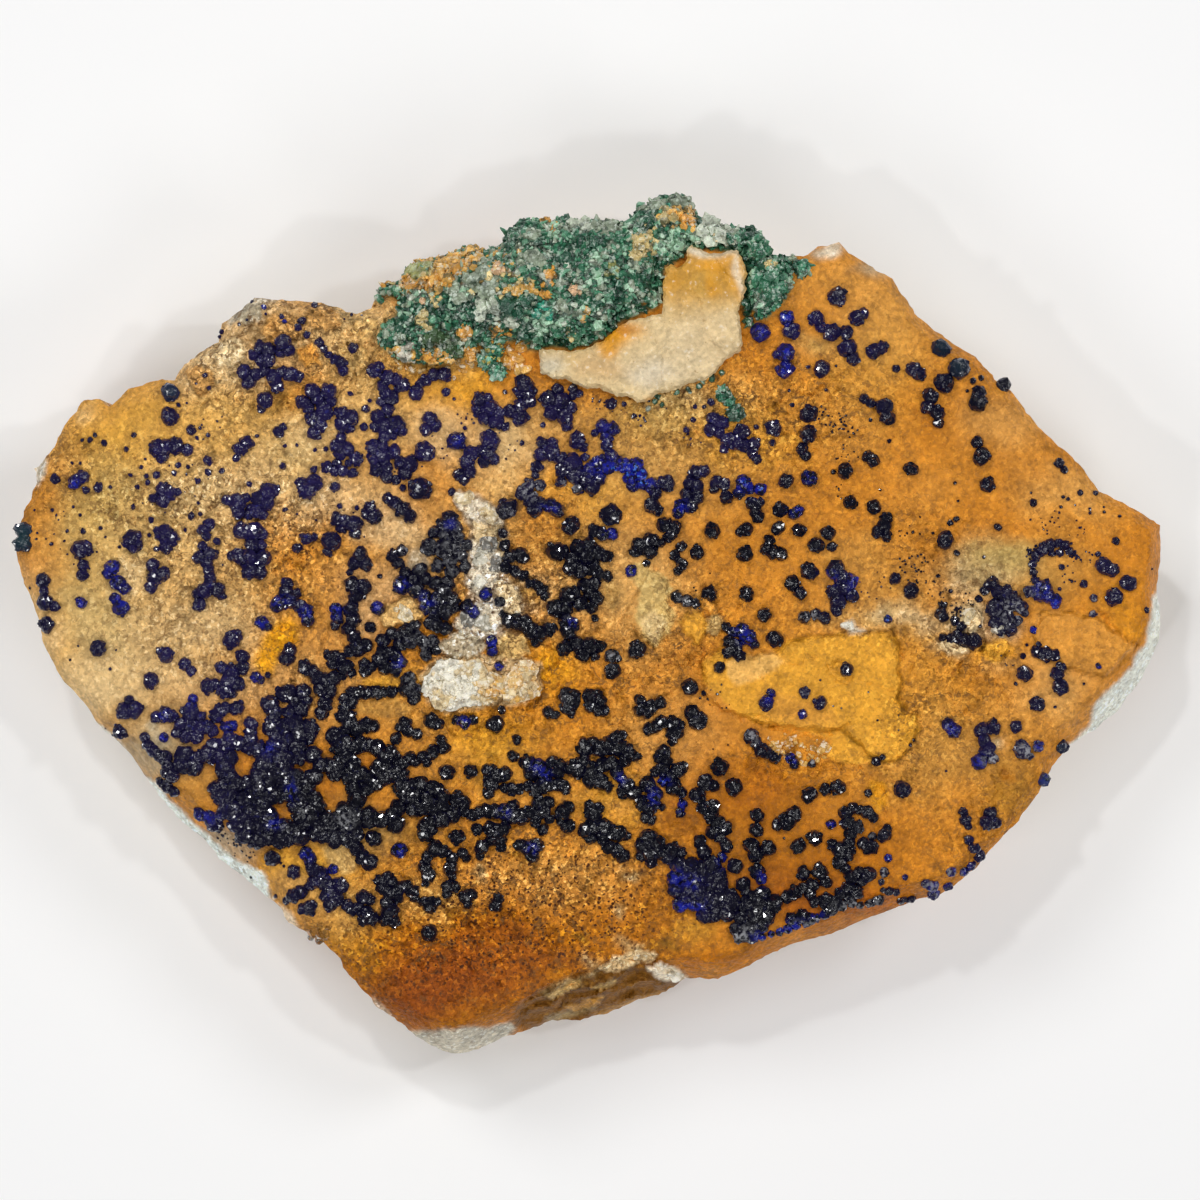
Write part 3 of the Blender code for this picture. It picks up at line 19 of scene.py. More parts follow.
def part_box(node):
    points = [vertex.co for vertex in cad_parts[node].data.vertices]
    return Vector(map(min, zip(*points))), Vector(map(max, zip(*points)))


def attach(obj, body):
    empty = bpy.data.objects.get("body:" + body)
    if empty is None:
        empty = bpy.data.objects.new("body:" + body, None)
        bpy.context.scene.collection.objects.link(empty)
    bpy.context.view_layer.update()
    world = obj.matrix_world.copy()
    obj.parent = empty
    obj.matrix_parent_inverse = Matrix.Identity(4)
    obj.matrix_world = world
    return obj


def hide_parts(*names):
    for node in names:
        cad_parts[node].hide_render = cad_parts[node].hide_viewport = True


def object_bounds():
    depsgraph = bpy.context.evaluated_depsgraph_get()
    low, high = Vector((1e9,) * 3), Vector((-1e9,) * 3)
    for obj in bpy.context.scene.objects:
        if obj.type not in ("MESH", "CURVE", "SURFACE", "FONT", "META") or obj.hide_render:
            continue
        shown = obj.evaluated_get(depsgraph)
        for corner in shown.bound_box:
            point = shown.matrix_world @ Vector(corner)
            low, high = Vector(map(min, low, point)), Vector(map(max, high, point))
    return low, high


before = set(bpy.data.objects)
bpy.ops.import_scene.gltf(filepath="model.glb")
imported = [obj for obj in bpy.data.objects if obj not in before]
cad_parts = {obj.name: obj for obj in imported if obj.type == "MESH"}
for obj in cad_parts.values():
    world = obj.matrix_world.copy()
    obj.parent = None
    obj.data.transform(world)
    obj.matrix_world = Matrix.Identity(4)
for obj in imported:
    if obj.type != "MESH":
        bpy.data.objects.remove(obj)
cad_box = [list(corner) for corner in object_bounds()]
NODES = sorted(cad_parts)
print(len(NODES), "CAD nodes, box", [[round(value, 4) for value in corner] for corner in cad_box])

# %% [markdown]
# ## The tracing grid
#
# A collector maps a specimen by laying a squared tracing sheet over it.  Every place on the crystal face is
# written in squares of that sheet: x runs to the right and y runs down it, and one square is 0.12 mm.
# Heights are in millimetres above the underside.  One function turns both into metres of the frame, so a
# crystal sits where the CAD solids say.

# %% The tracing grid
SQUARE = 0.00012            # side of one square, m
MM = 0.001                  # one millimetre, m
SHEET_CENTRE = (588.5, 626.0)   # the square above the middle of the frame


def metres(places, heights):
    """Turn places on the grid and heights in mm into points of the model."""
    places = np.asarray(places, dtype=float).reshape(-1, 2)
    across = (places[:, 0] - SHEET_CENTRE[0]) * SQUARE
    along = (SHEET_CENTRE[1] - places[:, 1]) * SQUARE
    return np.column_stack((across, along, np.broadcast_to(heights, len(places)) * MM))


def wander(places, size, seed):
    """Smooth noise from -1 to 1 over places on the grid; size is the width of its waves in squares."""
    return np.array([noise.noise(Vector((x / size, y / size, seed))) for x, y in places])


def inside(places, polygon):
    """Say which places lie inside a closed outline."""
    x, y = places[:, 0], places[:, 1]
    result = np.zeros(len(places), dtype=bool)
    last_x, last_y = polygon[-1]
    for next_x, next_y in polygon:
        if next_y != last_y:
            crossing = next_x + (y - next_y) * (last_x - next_x) / (last_y - next_y)
            result ^= ((next_y > y) != (last_y > y)) & (x < crossing)
        last_x, last_y = next_x, next_y
    return result


def line_distance(places, line, closed=False):
    """Distance from each place to a line of straight runs, in squares."""
    x, y = places[:, 0], places[:, 1]
    nearest = np.full(len(places), math.inf)
    corners = [tuple(corner) for corner in line]
    after = corners[1:] + (corners[:1] if closed else [])
    for (start_x, start_y), (end_x, end_y) in zip(corners, after):
        run_x, run_y = end_x - start_x, end_y - start_y
        share = ((x - start_x) * run_x + (y - start_y) * run_y) / (run_x * run_x + run_y * run_y)
        share = np.clip(share, 0.0, 1.0)
        nearest = np.minimum(nearest, np.hypot(x - start_x - share * run_x, y - start_y - share * run_y))
    return nearest


def depth_inside(places, polygon):
    """Distance in from an outline, positive inside it and negative outside."""
    return np.where(inside(places, polygon), 1.0, -1.0) * line_distance(places, polygon, closed=True)


def oval(places, middle_x, middle_y, half_x, half_y):
    """Squared distance from the middle of an oval spot, 1 on its edge."""
    return ((places[:, 0] - middle_x) / half_x) ** 2 + ((places[:, 1] - middle_y) / half_y) ** 2


def push(places, reach, size, first_seed, second_seed):
    """Moves in squares that turn what is drawn on the moved places ragged."""
    return reach * np.column_stack([wander(places, size, seed) for seed in (first_seed, second_seed)])


def soft_step(values, low, high):
    """A smooth rise from 0 at low to 1 at high."""
    share = np.clip((values - low) / (high - low), 0.0, 1.0)
    return share * share * (3.0 - 2.0 * share)


print("one square is", SQUARE / MM, "mm")

# %% [markdown]
# ## Tables written as text
#
# The specimen is described by hundreds of places read off the tracing sheet.  They are written as plain
# text, which is easier to read and to correct than nested brackets: rows are parted by commas, words are
# names, and an outline is a run of x and y.  Four short functions turn that text into tuples.

# %% Read the tables
def words(text):
    """The names and numbers of one row."""
    return tuple(word if word[0].isalpha() else float(word) for word in text.split())


def table(text):
    """Rows of names and numbers."""
    return tuple(words(row) for row in text.split(","))


def traced(text):
    """An outline or a line, from the x and y of its corners."""
    numbers = words(text)
    return tuple(zip(numbers[::2], numbers[1::2]))


def drawn(text):
    """Rows with a few values before a colon, and places or the corners of an outline behind it."""
    rows = (row.split(":") for row in text.split(","))
    return tuple((*words(head), traced(points)) for head, points in rows)


print("an example:", table("quartz 20 0.5, azurite 9"))

# %% [markdown]
# ## The relief of the crystal face
#
# The face of the slab is nearly flat at 20 mm.  It falls away at its broken rim, swells gently here and
# there, and carries three thin flakes with sharp edges.  These are the driving shapes of the CAD solid,
# written once more here with the same values, so that the fine face lies on the plain one.

# %% Outline, rim, swells and flakes
FACE_LEVEL = 20.0           # mean height of the crystal face, mm
RIM_DROP = 1.6              # usual fall of the face at its broken edge, mm
RIM_WIDTH = 16.0            # usual width of that fall, squares

OUTLINE = traced("""
11 544 18 520 24 506 34 482 32 468 42 458 52 446 62 424 74 410 82 398 99 397 109 405 127 387 141 383
157 378 173 378 183 363 199 351 217 341 221 323 238 311 254 297 278 298 318 301 334 305 356 313 370 307
376 291 382 281 399 279 405 269 417 257 441 255 457 247 469 242 487 249 501 240 509 226 517 219 537 214
547 220 562 213 576 218 596 216 625 220 640 206 654 194 677 190 691 196 699 214 723 222 739 224 759 228
767 238 773 252 787 255 803 254 818 245 840 240 850 251 874 265 894 277 920 315 954 341 978 355 997 377
1013 389 1037 422 1061 444 1081 462 1101 490 1136 506 1164 524 1165 557 1161 589 1166 615 1164 643
1148 680 1124 713 1100 731 1073 747 1055 768 1041 794 1021 822 995 850 978 870 958 888 942 898 918 904
898 912 874 921 850 931 826 941 803 945 771 957 747 971 719 982 687 983 675 993 660 1002 640 1007
620 1018 600 1024 576 1029 552 1029 529 1037 501 1045 477 1057 449 1061 429 1051 413 1041 399 1027
374 1009 366 997 346 977 338 961 322 945 306 935 286 925 278 911 262 896 242 882 215 862 199 842 175 822
155 798 139 774 119 748 95 727 83 707 68 689 58 679 48 659 40 643 38 623 28 599 20 580
""")
# Where the rim is broken deeper: x, y, reach, more fall in mm, more width in squares.
BROKEN_RIM = table("""
125 765 70 3.2 6, 215 850 75 4.5 26, 465 1050 75 5.5 20, 600 1010 100 8 34, 860 915 130 4 12,
1125 695 80 5 26, 1165 560 60 2 0, 930 330 90 1 0, 480 245 110 2 6, 640 210 90 2 6
""")
# Swells and hollows: x, y, half width, half height, rise in mm.
SWELLS = table("""
300 345 105 62 2.4, 560 285 210 62 2.2, 690 330 110 60 .7, 190 560 150 110 -.7, 445 600 90 85 .8,
740 470 120 80 .6, 1000 590 100 75 -.6, 500 945 170 70 -1.1, 860 800 130 85 .5, 300 780 130 70 .9,
640 800 90 60 .5, 920 430 110 70 .3
""")
# Thin flakes: rise in mm, then the outline.
STEPS = drawn("""
.8: 702 662 723 648 752 657 778 652 790 640 840 634 890 632 899 650 899 700 903 713 918 716 919 730
905 752 892 763 866 752 845 729 800 729 755 722 722 708 704 690, .6: 624 624 634 600 650 566 668 580
667 628 655 646 640 640, .5: 1040 612 1092 618 1137 645 1122 660 1108 674 1068 668 1034 640
""")
print(len(OUTLINE), "corners on the rim,", len(SWELLS), "swells,", len(STEPS), "flakes")

# %% [markdown]
# ## Fine forms of the face
#
# Close up, the face is not one sheet.  Some ground is sugary, made of grains half a millimetre wide, and
# some is smooth and waxy.  Cracks wind across it, a layered ledge is broken out of the front edge, and the
# flakes have ragged edges.  All of this is a matter of height, so it goes into one function that takes
# many places at once.  That keeps it quick enough to move a hundred thousand points.

# %% Cracks, pits and sugary ground
# Cracks: depth in mm, half width in squares, then the line.
CRACKS = drawn("""
.45 2.2: 828 664 831 673 838 680 846 683 852 680, .5 2: 755 723 782 726 800 731 822 736 838 729 850 725,
.45 1.8: 742 716 757 716 772 722 788 733 793 745, .4 1.6: 798 762 822 768 846 764 862 768,
.3 1.5: 778 652 784 664 797 664 815 658, .25 1.4: 745 680 760 676 776 668, .3 1.5: 850 678 872 683
890 690 899 684, .5 2.2: 1098 612 1112 626 1126 640 1137 646, .45 2: 1137 647 1128 655 1118 664
1108 673, .3 1.6: 1143 625 1150 632 1155 636, .55 2.2: 300 322 307 340 314 352 321 367 323 379,
.45 1.8: 348 344 356 349 366 356, .35 1.6: 627 872 645 884 640 900, .45 2: 650 566 668 580 676 596,
.4 1.8: 634 600 629 612 634 632 652 646, .35 1.6: 357 820 362 838 356 860 364 872, .3 1.5: 866 778
880 786 888 800 884 812, .35 1.6: 506 652 522 660 528 672
""")
# Pits: x, y, radius in squares, depth in mm.
PITS = table("""
838 668 9 .5, 1000 742 9 .25, 1005 775 8 .35, 630 877 8 .4, 625 912 8 .3, 580 938 7 .3, 592 955 6 .3,
632 943 9 .3, 485 873 9 .3, 282 627 6 .3, 612 596 8 .4, 493 760 8 .4, 790 752 9 .5, 812 764 8 .4,
695 660 10 .5, 712 632 9 .4, 668 605 7 .3, 880 790 9 .3, 1046 632 8 .3, 900 655 7 .3
""")
# Sugary ground: x, y, half width, half height, strength.
SUGARY = table("""
225 372 60 40 1, 300 345 70 45 1.1, 370 330 50 40 1.1, 170 490 110 90 .8, 290 545 60 60 .8,
150 640 110 80 .4, 300 690 60 60 .6, 320 350 60 50 1.1, 480 610 70 120 .9, 480 685 70 40 1,
540 880 150 70 .7, 430 940 120 80 .5, 700 420 80 50 .8, 800 400 90 50 .7, 560 560 50 80 .7,
680 640 70 60 1, 900 720 40 70 .7, 950 690 60 50 .6, 980 620 50 40 1, 790 760 80 30 1, 930 540 60 40 .5,
860 640 60 20 .7, 620 740 60 80 .6, 860 900 80 30 .3, 60 440 50 60 .5, 1000 840 60 60 .5,
440 300 80 60 .7
""")
# Waxy ground without any sugar, written in the same way.
SMOOTH = table("""
800 692 95 40 1, 860 660 50 34 .9, 870 735 44 26 .9, 1085 642 54 34 .9, 640 610 24 34 .7,
696 626 14 18 .8, 1110 560 60 50 .6, 1000 470 90 50 .5, 860 310 60 50 .4, 750 760 120 60 .4,
810 880 90 50 .4, 100 690 90 60 .4, 132 428 80 42 .7, 80 560 50 60 .4
""")
# Small broken crystals: colour, rise in mm, then the outline.
LUMPS = drawn("""
honey .5: 681 622 686 614 694 612 702 614 708 620 709 628 704 634 700 644 694 645 690 636 683 630,
straw .4: 707 618 716 614 723 622 722 630 712 636 706 632, apricot .6: 702 598 708 596 714 604 718 613
712 616 704 608, cream .5: 959 612 968 606 980 610 984 620 978 630 968 634 960 626, honey .4: 984 646
994 640 1004 638 1010 644 1006 656 996 663 986 656, cream .3: 938 642 950 640 966 646 970 652 952 655
940 650, wheat .5: 380 616 388 604 400 600 408 598 418 606 424 612 418 620 408 625 398 624 386 627,
chalk .6: 451 492 461 490 475 498 490 505 501 514 503 524 496 532 480 530 474 523 464 514 455 504,
cream .4: 472 522 490 526 501 524 506 540 507 556 498 558 490 550 482 546 474 540, chalk .3: 470 540
484 544 494 547 501 558 500 574 488 572 476 564 470 552, chalk .5: 468 572 478 566 491 564 498 576
496 588 484 595 472 592 466 582, cream .4: 495 580 508 582 518 590 523 600 521 612 512 616 504 606
497 596, tan .3: 521 590 532 588 541 594 538 602 526 602, chalk .4: 453 624 468 608 486 602 499 606
504 622 494 634 478 640 460 636, ash .4: 436 647 450 634 464 630 480 638 486 648 470 657 450 657,
straw .4: 496 640 510 630 524 636 530 650 518 659 500 656, chalk .5: 428 684 434 666 448 661 462 666
458 680 444 690, cream .5: 597 970 618 957 640 951 656 954 654 962 636 966 612 975, chalk .6: 648 968
660 963 676 968 690 982 684 988 664 984 652 976, straw .3: 548 996 566 988 580 983 582 988 566 995
552 1002, straw .3: 590 990 606 984 618 980 616 986 600 994, tan .3: 560 1012 584 1004 604 1000 600 1008
576 1018, cream .5: 214 356 222 344 236 338 246 346 244 360 228 368 216 366, peach .5: 186 372 196 364
210 370 214 384 204 396 192 390, peach .5: 262 332 270 318 286 314 300 322 302 338 286 348 270 344,
wheat .5: 340 350 352 344 366 350 370 364 358 374 346 368, peach .4: 308 316 324 308 340 312 342 326
326 332 312 328, wheat .4: 352 322 366 316 378 322 376 336 362 340 352 334, ash .3: 240 312 252 304
264 306 262 318 250 326 240 322, apricot .4: 300 350 312 344 322 352 320 366 308 368 300 360
""")
# Upper edge of the layered ledge, then the whole broken ground below it.
LEDGE = traced("516 1004 540 990 562 976 592 968 618 956 650 952 668 962 690 978")
LEDGE_BREAK = LEDGE + traced("712 992 660 1020 560 1050 520 1050")
print(len(CRACKS), "cracks,", len(PITS), "pits,", len(LUMPS), "broken crystals")

# %% Height of the face
def rim_fall(places):
    """How far the face has dropped towards the broken rim, mm."""
    fall = np.full(len(places), RIM_DROP)
    width = np.full(len(places), RIM_WIDTH)
    for spot_x, spot_y, reach, more_fall, more_width in BROKEN_RIM:
        weight = np.exp(-((places[:, 0] - spot_x) ** 2 + (places[:, 1] - spot_y) ** 2) / reach ** 2)
        fall += more_fall * weight
        width += more_width * weight
    distance = line_distance(places, OUTLINE, closed=True)
    return fall * np.maximum(0.0, 1.0 - distance / width) ** 1.4


def weighted(places, spots):
    """Sum of soft oval spots of given strength, kept between 0 and 1."""
    total = np.zeros(len(places))
    for *spot, strength in spots:
        total += strength * np.exp(-oval(places, *spot))
    return np.clip(total, 0.0, 1.0)


def sugar_at(places):
    """How sugary the ground is, from 0 to 1."""
    return np.clip(0.15 + weighted(places, SUGARY) - weighted(places, SMOOTH), 0.0, 1.0)


def flake_places(places):
    """Places pushed about so that the flakes' edges turn ragged."""
    return places + push(places, 5.0, 13.0, 1.7, 5.3)


def face_height(places):
    """Height of the quartz face, mm: the CAD's relief with ragged flakes."""
    places = np.asarray(places, dtype=float).reshape(-1, 2)
    height = FACE_LEVEL - rim_fall(places) + 0.35 * wander(places, 60.0, 3.1)
    for *swell, rise in SWELLS:
        height += rise * np.exp(-oval(places, *swell))
    ragged = flake_places(places)
    blunt = 2.4 + 2.0 * wander(places, 20.0, 7.3)
    for rise, polygon in STEPS:
        height += rise * soft_step(depth_inside(ragged, polygon) / blunt, -1.0, 1.0)
    return height


def knobbly(places):
    """Places pushed about so that an outline drawn on them turns ragged."""
    return places + push(places, 3.2, 8.0, 4.6, 6.4)


def grooves(places):
    """Thin winding grooves between the lumps of sugary ground, 1 in the groove and 0 beside it."""
    crooked = places + push(places, 4.0, 9.0, 5.9, 9.5)
    broken = soft_step(wander(places, 30.0, 1.5), -0.25, 0.15)
    return broken * soft_step(np.abs(wander(crooked, 22.0, 2.4)), 0.10, 0.02)


def fine_relief(places):
    """Cracks, pits, lumps, grains and the layered ledge, mm, to be added to the face."""
    crooked = places + push(places, 2.2, 12.0, 8.7, 2.9)
    relief = np.zeros(len(places))
    for depth, half_width, line in CRACKS:
        relief -= 0.7 * depth * np.exp(-(line_distance(crooked, line) / half_width) ** 2)
    for pit_x, pit_y, radius, depth in PITS:
        reach = np.hypot(crooked[:, 0] - pit_x, crooked[:, 1] - pit_y) / radius
        relief -= depth * soft_step(1.0 - reach, 0.0, 0.6)
    ragged = knobbly(places)
    for _, rise, outline in LUMPS:
        relief += rise * soft_step(depth_inside(ragged, outline), -1.6, 1.6)
    sugar = sugar_at(places)
    relief -= 0.35 * sugar * grooves(places)
    grains = wander(places, 7.5, 4.4) + 0.6 * wander(places, 4.2, 9.1)
    relief += (0.05 + 0.26 * sugar) * grains + 0.10 * wander(places, 24.0, 6.2)
    broken = soft_step(depth_inside(crooked, LEDGE_BREAK), -1.0, 5.0)
    layers = np.sin(line_distance(places, LEDGE) * 0.42 + 5.0 * wander(places, 26.0, 7.7))
    rough = 0.9 * wander(places, 11.0, 3.3) + 0.5 * wander(places, 5.0, 1.3)
    return relief + broken * (0.45 * layers + rough - 1.4)


print("face at the middle", round(float(face_height([SHEET_CENTRE])[0]), 2), "mm")

# %% [markdown]
# ## The quartz slab
#
# The real slab was broken out of a vein, so its plan is irregular, its upper face is a crystal face and its
# sides are rough.  A grid of points about 0.4 mm apart is spread inside the outline and joined by Delaunay
# triangles, which keep an even size right up to a crooked edge.  A sculpted subdivision surface could do
# the same, but it would smooth the edge away.  The rim of the triangles is then carried down in rings to
# the flat underside.

# %% Points of the face
FACE_STEP = 3.35            # distance between points of the face, squares
RIM_STEP = 4.4              # distance between points of the rim, squares
RIM_GAP = 1.7               # bare strip between the rim and the other points, squares
RAGGED = 3.0                # how far the rim is chipped in, squares
ROW_STEP = 0.87             # distance between the rows of a triangular grid, share of its step
JITTER = 0.28               # how far its points stray, share of its step


def chipped(outline, step, depth, seed):
    """The outline with many more points, chipped inwards at random."""
    places = []
    for (start_x, start_y), (end_x, end_y) in zip(outline, outline[1:] + outline[:1]):
        count = max(1, round(math.hypot(end_x - start_x, end_y - start_y) / step))
        for share in (index / count for index in range(count)):
            places.append((start_x + share * (end_x - start_x), start_y + share * (end_y - start_y)))
    places = np.array(places)
    run = np.roll(places, -2, axis=0) - np.roll(places, 2, axis=0)
    inward = np.column_stack((-run[:, 1], run[:, 0])) / np.maximum(np.hypot(*run.T), 0.01)[:, None]
    bite = 0.5 + 0.5 * wander(places, 8.0, seed) + 0.5 * wander(places, 3.1, seed + 2.0)
    return places + depth * inward * np.clip(bite, 0.0, 1.0)[:, None]


def spread(polygon, step, margin, seed):
    """Places on a jittered triangular grid inside an outline."""
    rng = np.random.default_rng(seed)
    (low_x, low_y), (high_x, high_y) = np.min(polygon, axis=0), np.max(polygon, axis=0)
    rows, columns = int((high_y - low_y) / (ROW_STEP * step)) + 2, int((high_x - low_x) / step) + 2
    row, column = np.divmod(np.arange(rows * columns), columns)
    x = low_x + (column + 0.5 * (row % 2)) * step + rng.uniform(-JITTER, JITTER, len(row)) * step
    y = low_y + ROW_STEP * step * row + rng.uniform(-JITTER, JITTER, len(row)) * step
    places = np.column_stack((x, y))
    return places[depth_inside(places, polygon) > margin]


def triangulated(rim, inner):
    """Fill a closed rim with triangles through the inner places; the rim keeps its order and comes first."""
    points = [Vector(place) for place in rim] + [Vector(place) for place in inner]
    edges = [(index, (index + 1) % len(rim)) for index in range(len(rim))]
    places, _, faces, origin, _, _ = delaunay_2d_cdt(points, edges, [], 1, 0.001)
    places = np.array([tuple(place) for place in places])
    number = {old: new for new, olds in enumerate(origin) for old in olds}
    return places, faces, [number[index] for index in range(len(rim))]


rim = chipped(OUTLINE, RIM_STEP, RAGGED, 1.3)
face_places, face_triangles, face_rim = triangulated(rim, spread(rim, FACE_STEP, RIM_GAP, 41))
print(len(face_places), "points and", len(face_triangles), "triangles on the face")

# %% [markdown]
# ## Broken sides
#
# Each ring of the sides is the rim drawn in a little and let down.  Noise that changes faster with height
# than along the edge gives the flat breaks of quartz.  The last ring lies at height 0, and the underside
# between its points is only slightly hollowed, so the slab rests flat.

# %% Rings of the sides and the underside
SIDE_PROFILE = ((1.0, 1.0), (0.74, 0.992), (0.42, 0.968), (0.12, 0.925), (0.0, 0.885))   # height, plan
SIDE_RINGS = 17             # rings from the rim down to the underside
UNDERSIDE_STEP = 16.0       # distance between points of the underside, squares
HOLLOW = 0.35               # how far the underside rises towards its middle, mm


def drawn_in(level):
    """Size of the plan at a share of the edge height, from the CAD's side profile."""
    levels, sizes = zip(*reversed(SIDE_PROFILE))
    return float(np.interp(level, levels, sizes))


def placed(name, data):
    """Put a mesh, a lamp or a camera into the scene, at the origin."""
    thing = bpy.data.objects.new(name, data)
    bpy.context.scene.collection.objects.link(thing)
    return thing


def mesh_object(name, points, faces):
    """A piece from points in metres and faces that all point outwards."""
    mesh = bpy.data.meshes.new(name)
    mesh.from_pydata([tuple(point) for point in points], [], faces)
    mesh.validate()
    bm = bmesh.new()
    bm.from_mesh(mesh)
    bmesh.ops.recalc_face_normals(bm, faces=bm.faces)
    bm.to_mesh(mesh)
    bm.free()
    return placed(name, mesh)


def closed_below(places, heights, triangles, loop):
    """Carry the rim of a face down to the underside; give points in metres and faces."""
    points, faces = list(metres(places, heights)), [tuple(face) for face in triangles]
    rim_places, rim_heights = places[loop], heights[loop]
    centre = np.array(SHEET_CENTRE)
    upper, count = list(loop), len(loop)
    for ring in range(1, SIDE_RINGS + 1):
        level = 1.0 - ring / SIDE_RINGS
        moved = centre + (rim_places - centre) * drawn_in(level)
        waves = wander(np.column_stack((rim_places[:, 0], rim_places[:, 1] + 400.0 * level)), 26.0, 2.2)
        breaks = wander(np.column_stack((rim_places[:, 0] + 900.0 * level, rim_places[:, 1])), 9.0, 6.6)
        bite = np.clip(0.010 * waves + 0.006 * breaks - 0.006, -0.03, 0.0) * (level < 0.99)
        moved = centre + (moved - centre) * (1.0 + bite * (1.0 - abs(2.0 * level - 1.0) * 0.4))[:, None]
        lift = 0.25 * breaks * (level > 0.0)
        lower = list(range(len(points), len(points) + count))
        points.extend(metres(moved, np.maximum(0.0, rim_heights * level + lift)))
        for index in range(count):
            after = (index + 1) % count
            faces.append((upper[after], upper[index], lower[index], lower[after]))
        upper, last = lower, moved
    base_places, base_faces, base_rim = triangulated(last, spread(last, UNDERSIDE_STEP, 6.0, 43))
    hollow = HOLLOW * soft_step(line_distance(base_places, last, closed=True), 4.0, 20.0)
    hollow *= 0.6 + 0.8 * np.abs(wander(base_places, 34.0, 5.5))
    number = dict(zip(base_rim, upper))
    for index in range(len(base_places)):
        if index not in number:
            number[index] = len(points)
            points.append(metres(base_places[index:index + 1], hollow[index])[0])
    faces.extend(tuple(number[index] for index in reversed(face)) for face in base_faces)
    return np.array(points), faces


face_heights = face_height(face_places) + fine_relief(face_places)
slab_points, slab_faces = closed_below(face_places, face_heights, face_triangles, face_rim)
slab = mesh_object("quartz_slab", slab_points, slab_faces)
print(len(slab.data.polygons), "faces on the slab, top", round(slab_points[:, 2].max() / MM, 2), "mm")

# %% [markdown]
# ## Iron stains
#
# Water has carried iron into the quartz, which is golden in one place, rust brown in another and bare
# where it was chipped later.  Stains like these have no edges to model, so they are washes of colour: soft
# ovals laid one over the other, each bent by noise, and kept on the mesh as an attribute.  Flakes and chips
# with a clear edge get an outline instead.  Painting an image would do as well, but an attribute follows
# the mesh and needs no unwrapping.

# %% Colours of the quartz
LUMP_SHINE = 1.08           # how much brighter a broken crystal is than ground of its colour
SHEEN = 0.017               # light that the shine adds to every colour as it is seen
CONTRAST = 1.04             # how much the grain of the finish dulls a colour
DARKEST = 0.003             # darkest colour of the ground, as linear light
COLOURS = {                 # colours as they are seen, 0 to 255
    "ochre": (196, 128, 50), "golden": (207, 150, 58), "olive": (182, 154, 90), "straw": (206, 170, 108),
    "cream": (222, 194, 146), "peach": (204, 152, 88), "apricot": (208, 144, 66), "amber": (224, 154, 40),
    "tan": (188, 138, 70), "brown": (150, 90, 34), "rust": (166, 94, 26), "deep_rust": (132, 68, 14),
    "wheat": (226, 182, 114), "khaki": (202, 174, 110), "honey": (216, 154, 58), "frost": (228, 234, 224),
    "umber": (118, 84, 46), "grey_tan": (176, 150, 104), "ash": (182, 168, 140), "chalk": (228, 214, 188),
    "ice": (204, 200, 182), "orange": (194, 123, 44), "olive_brown": (148, 108, 46),
}
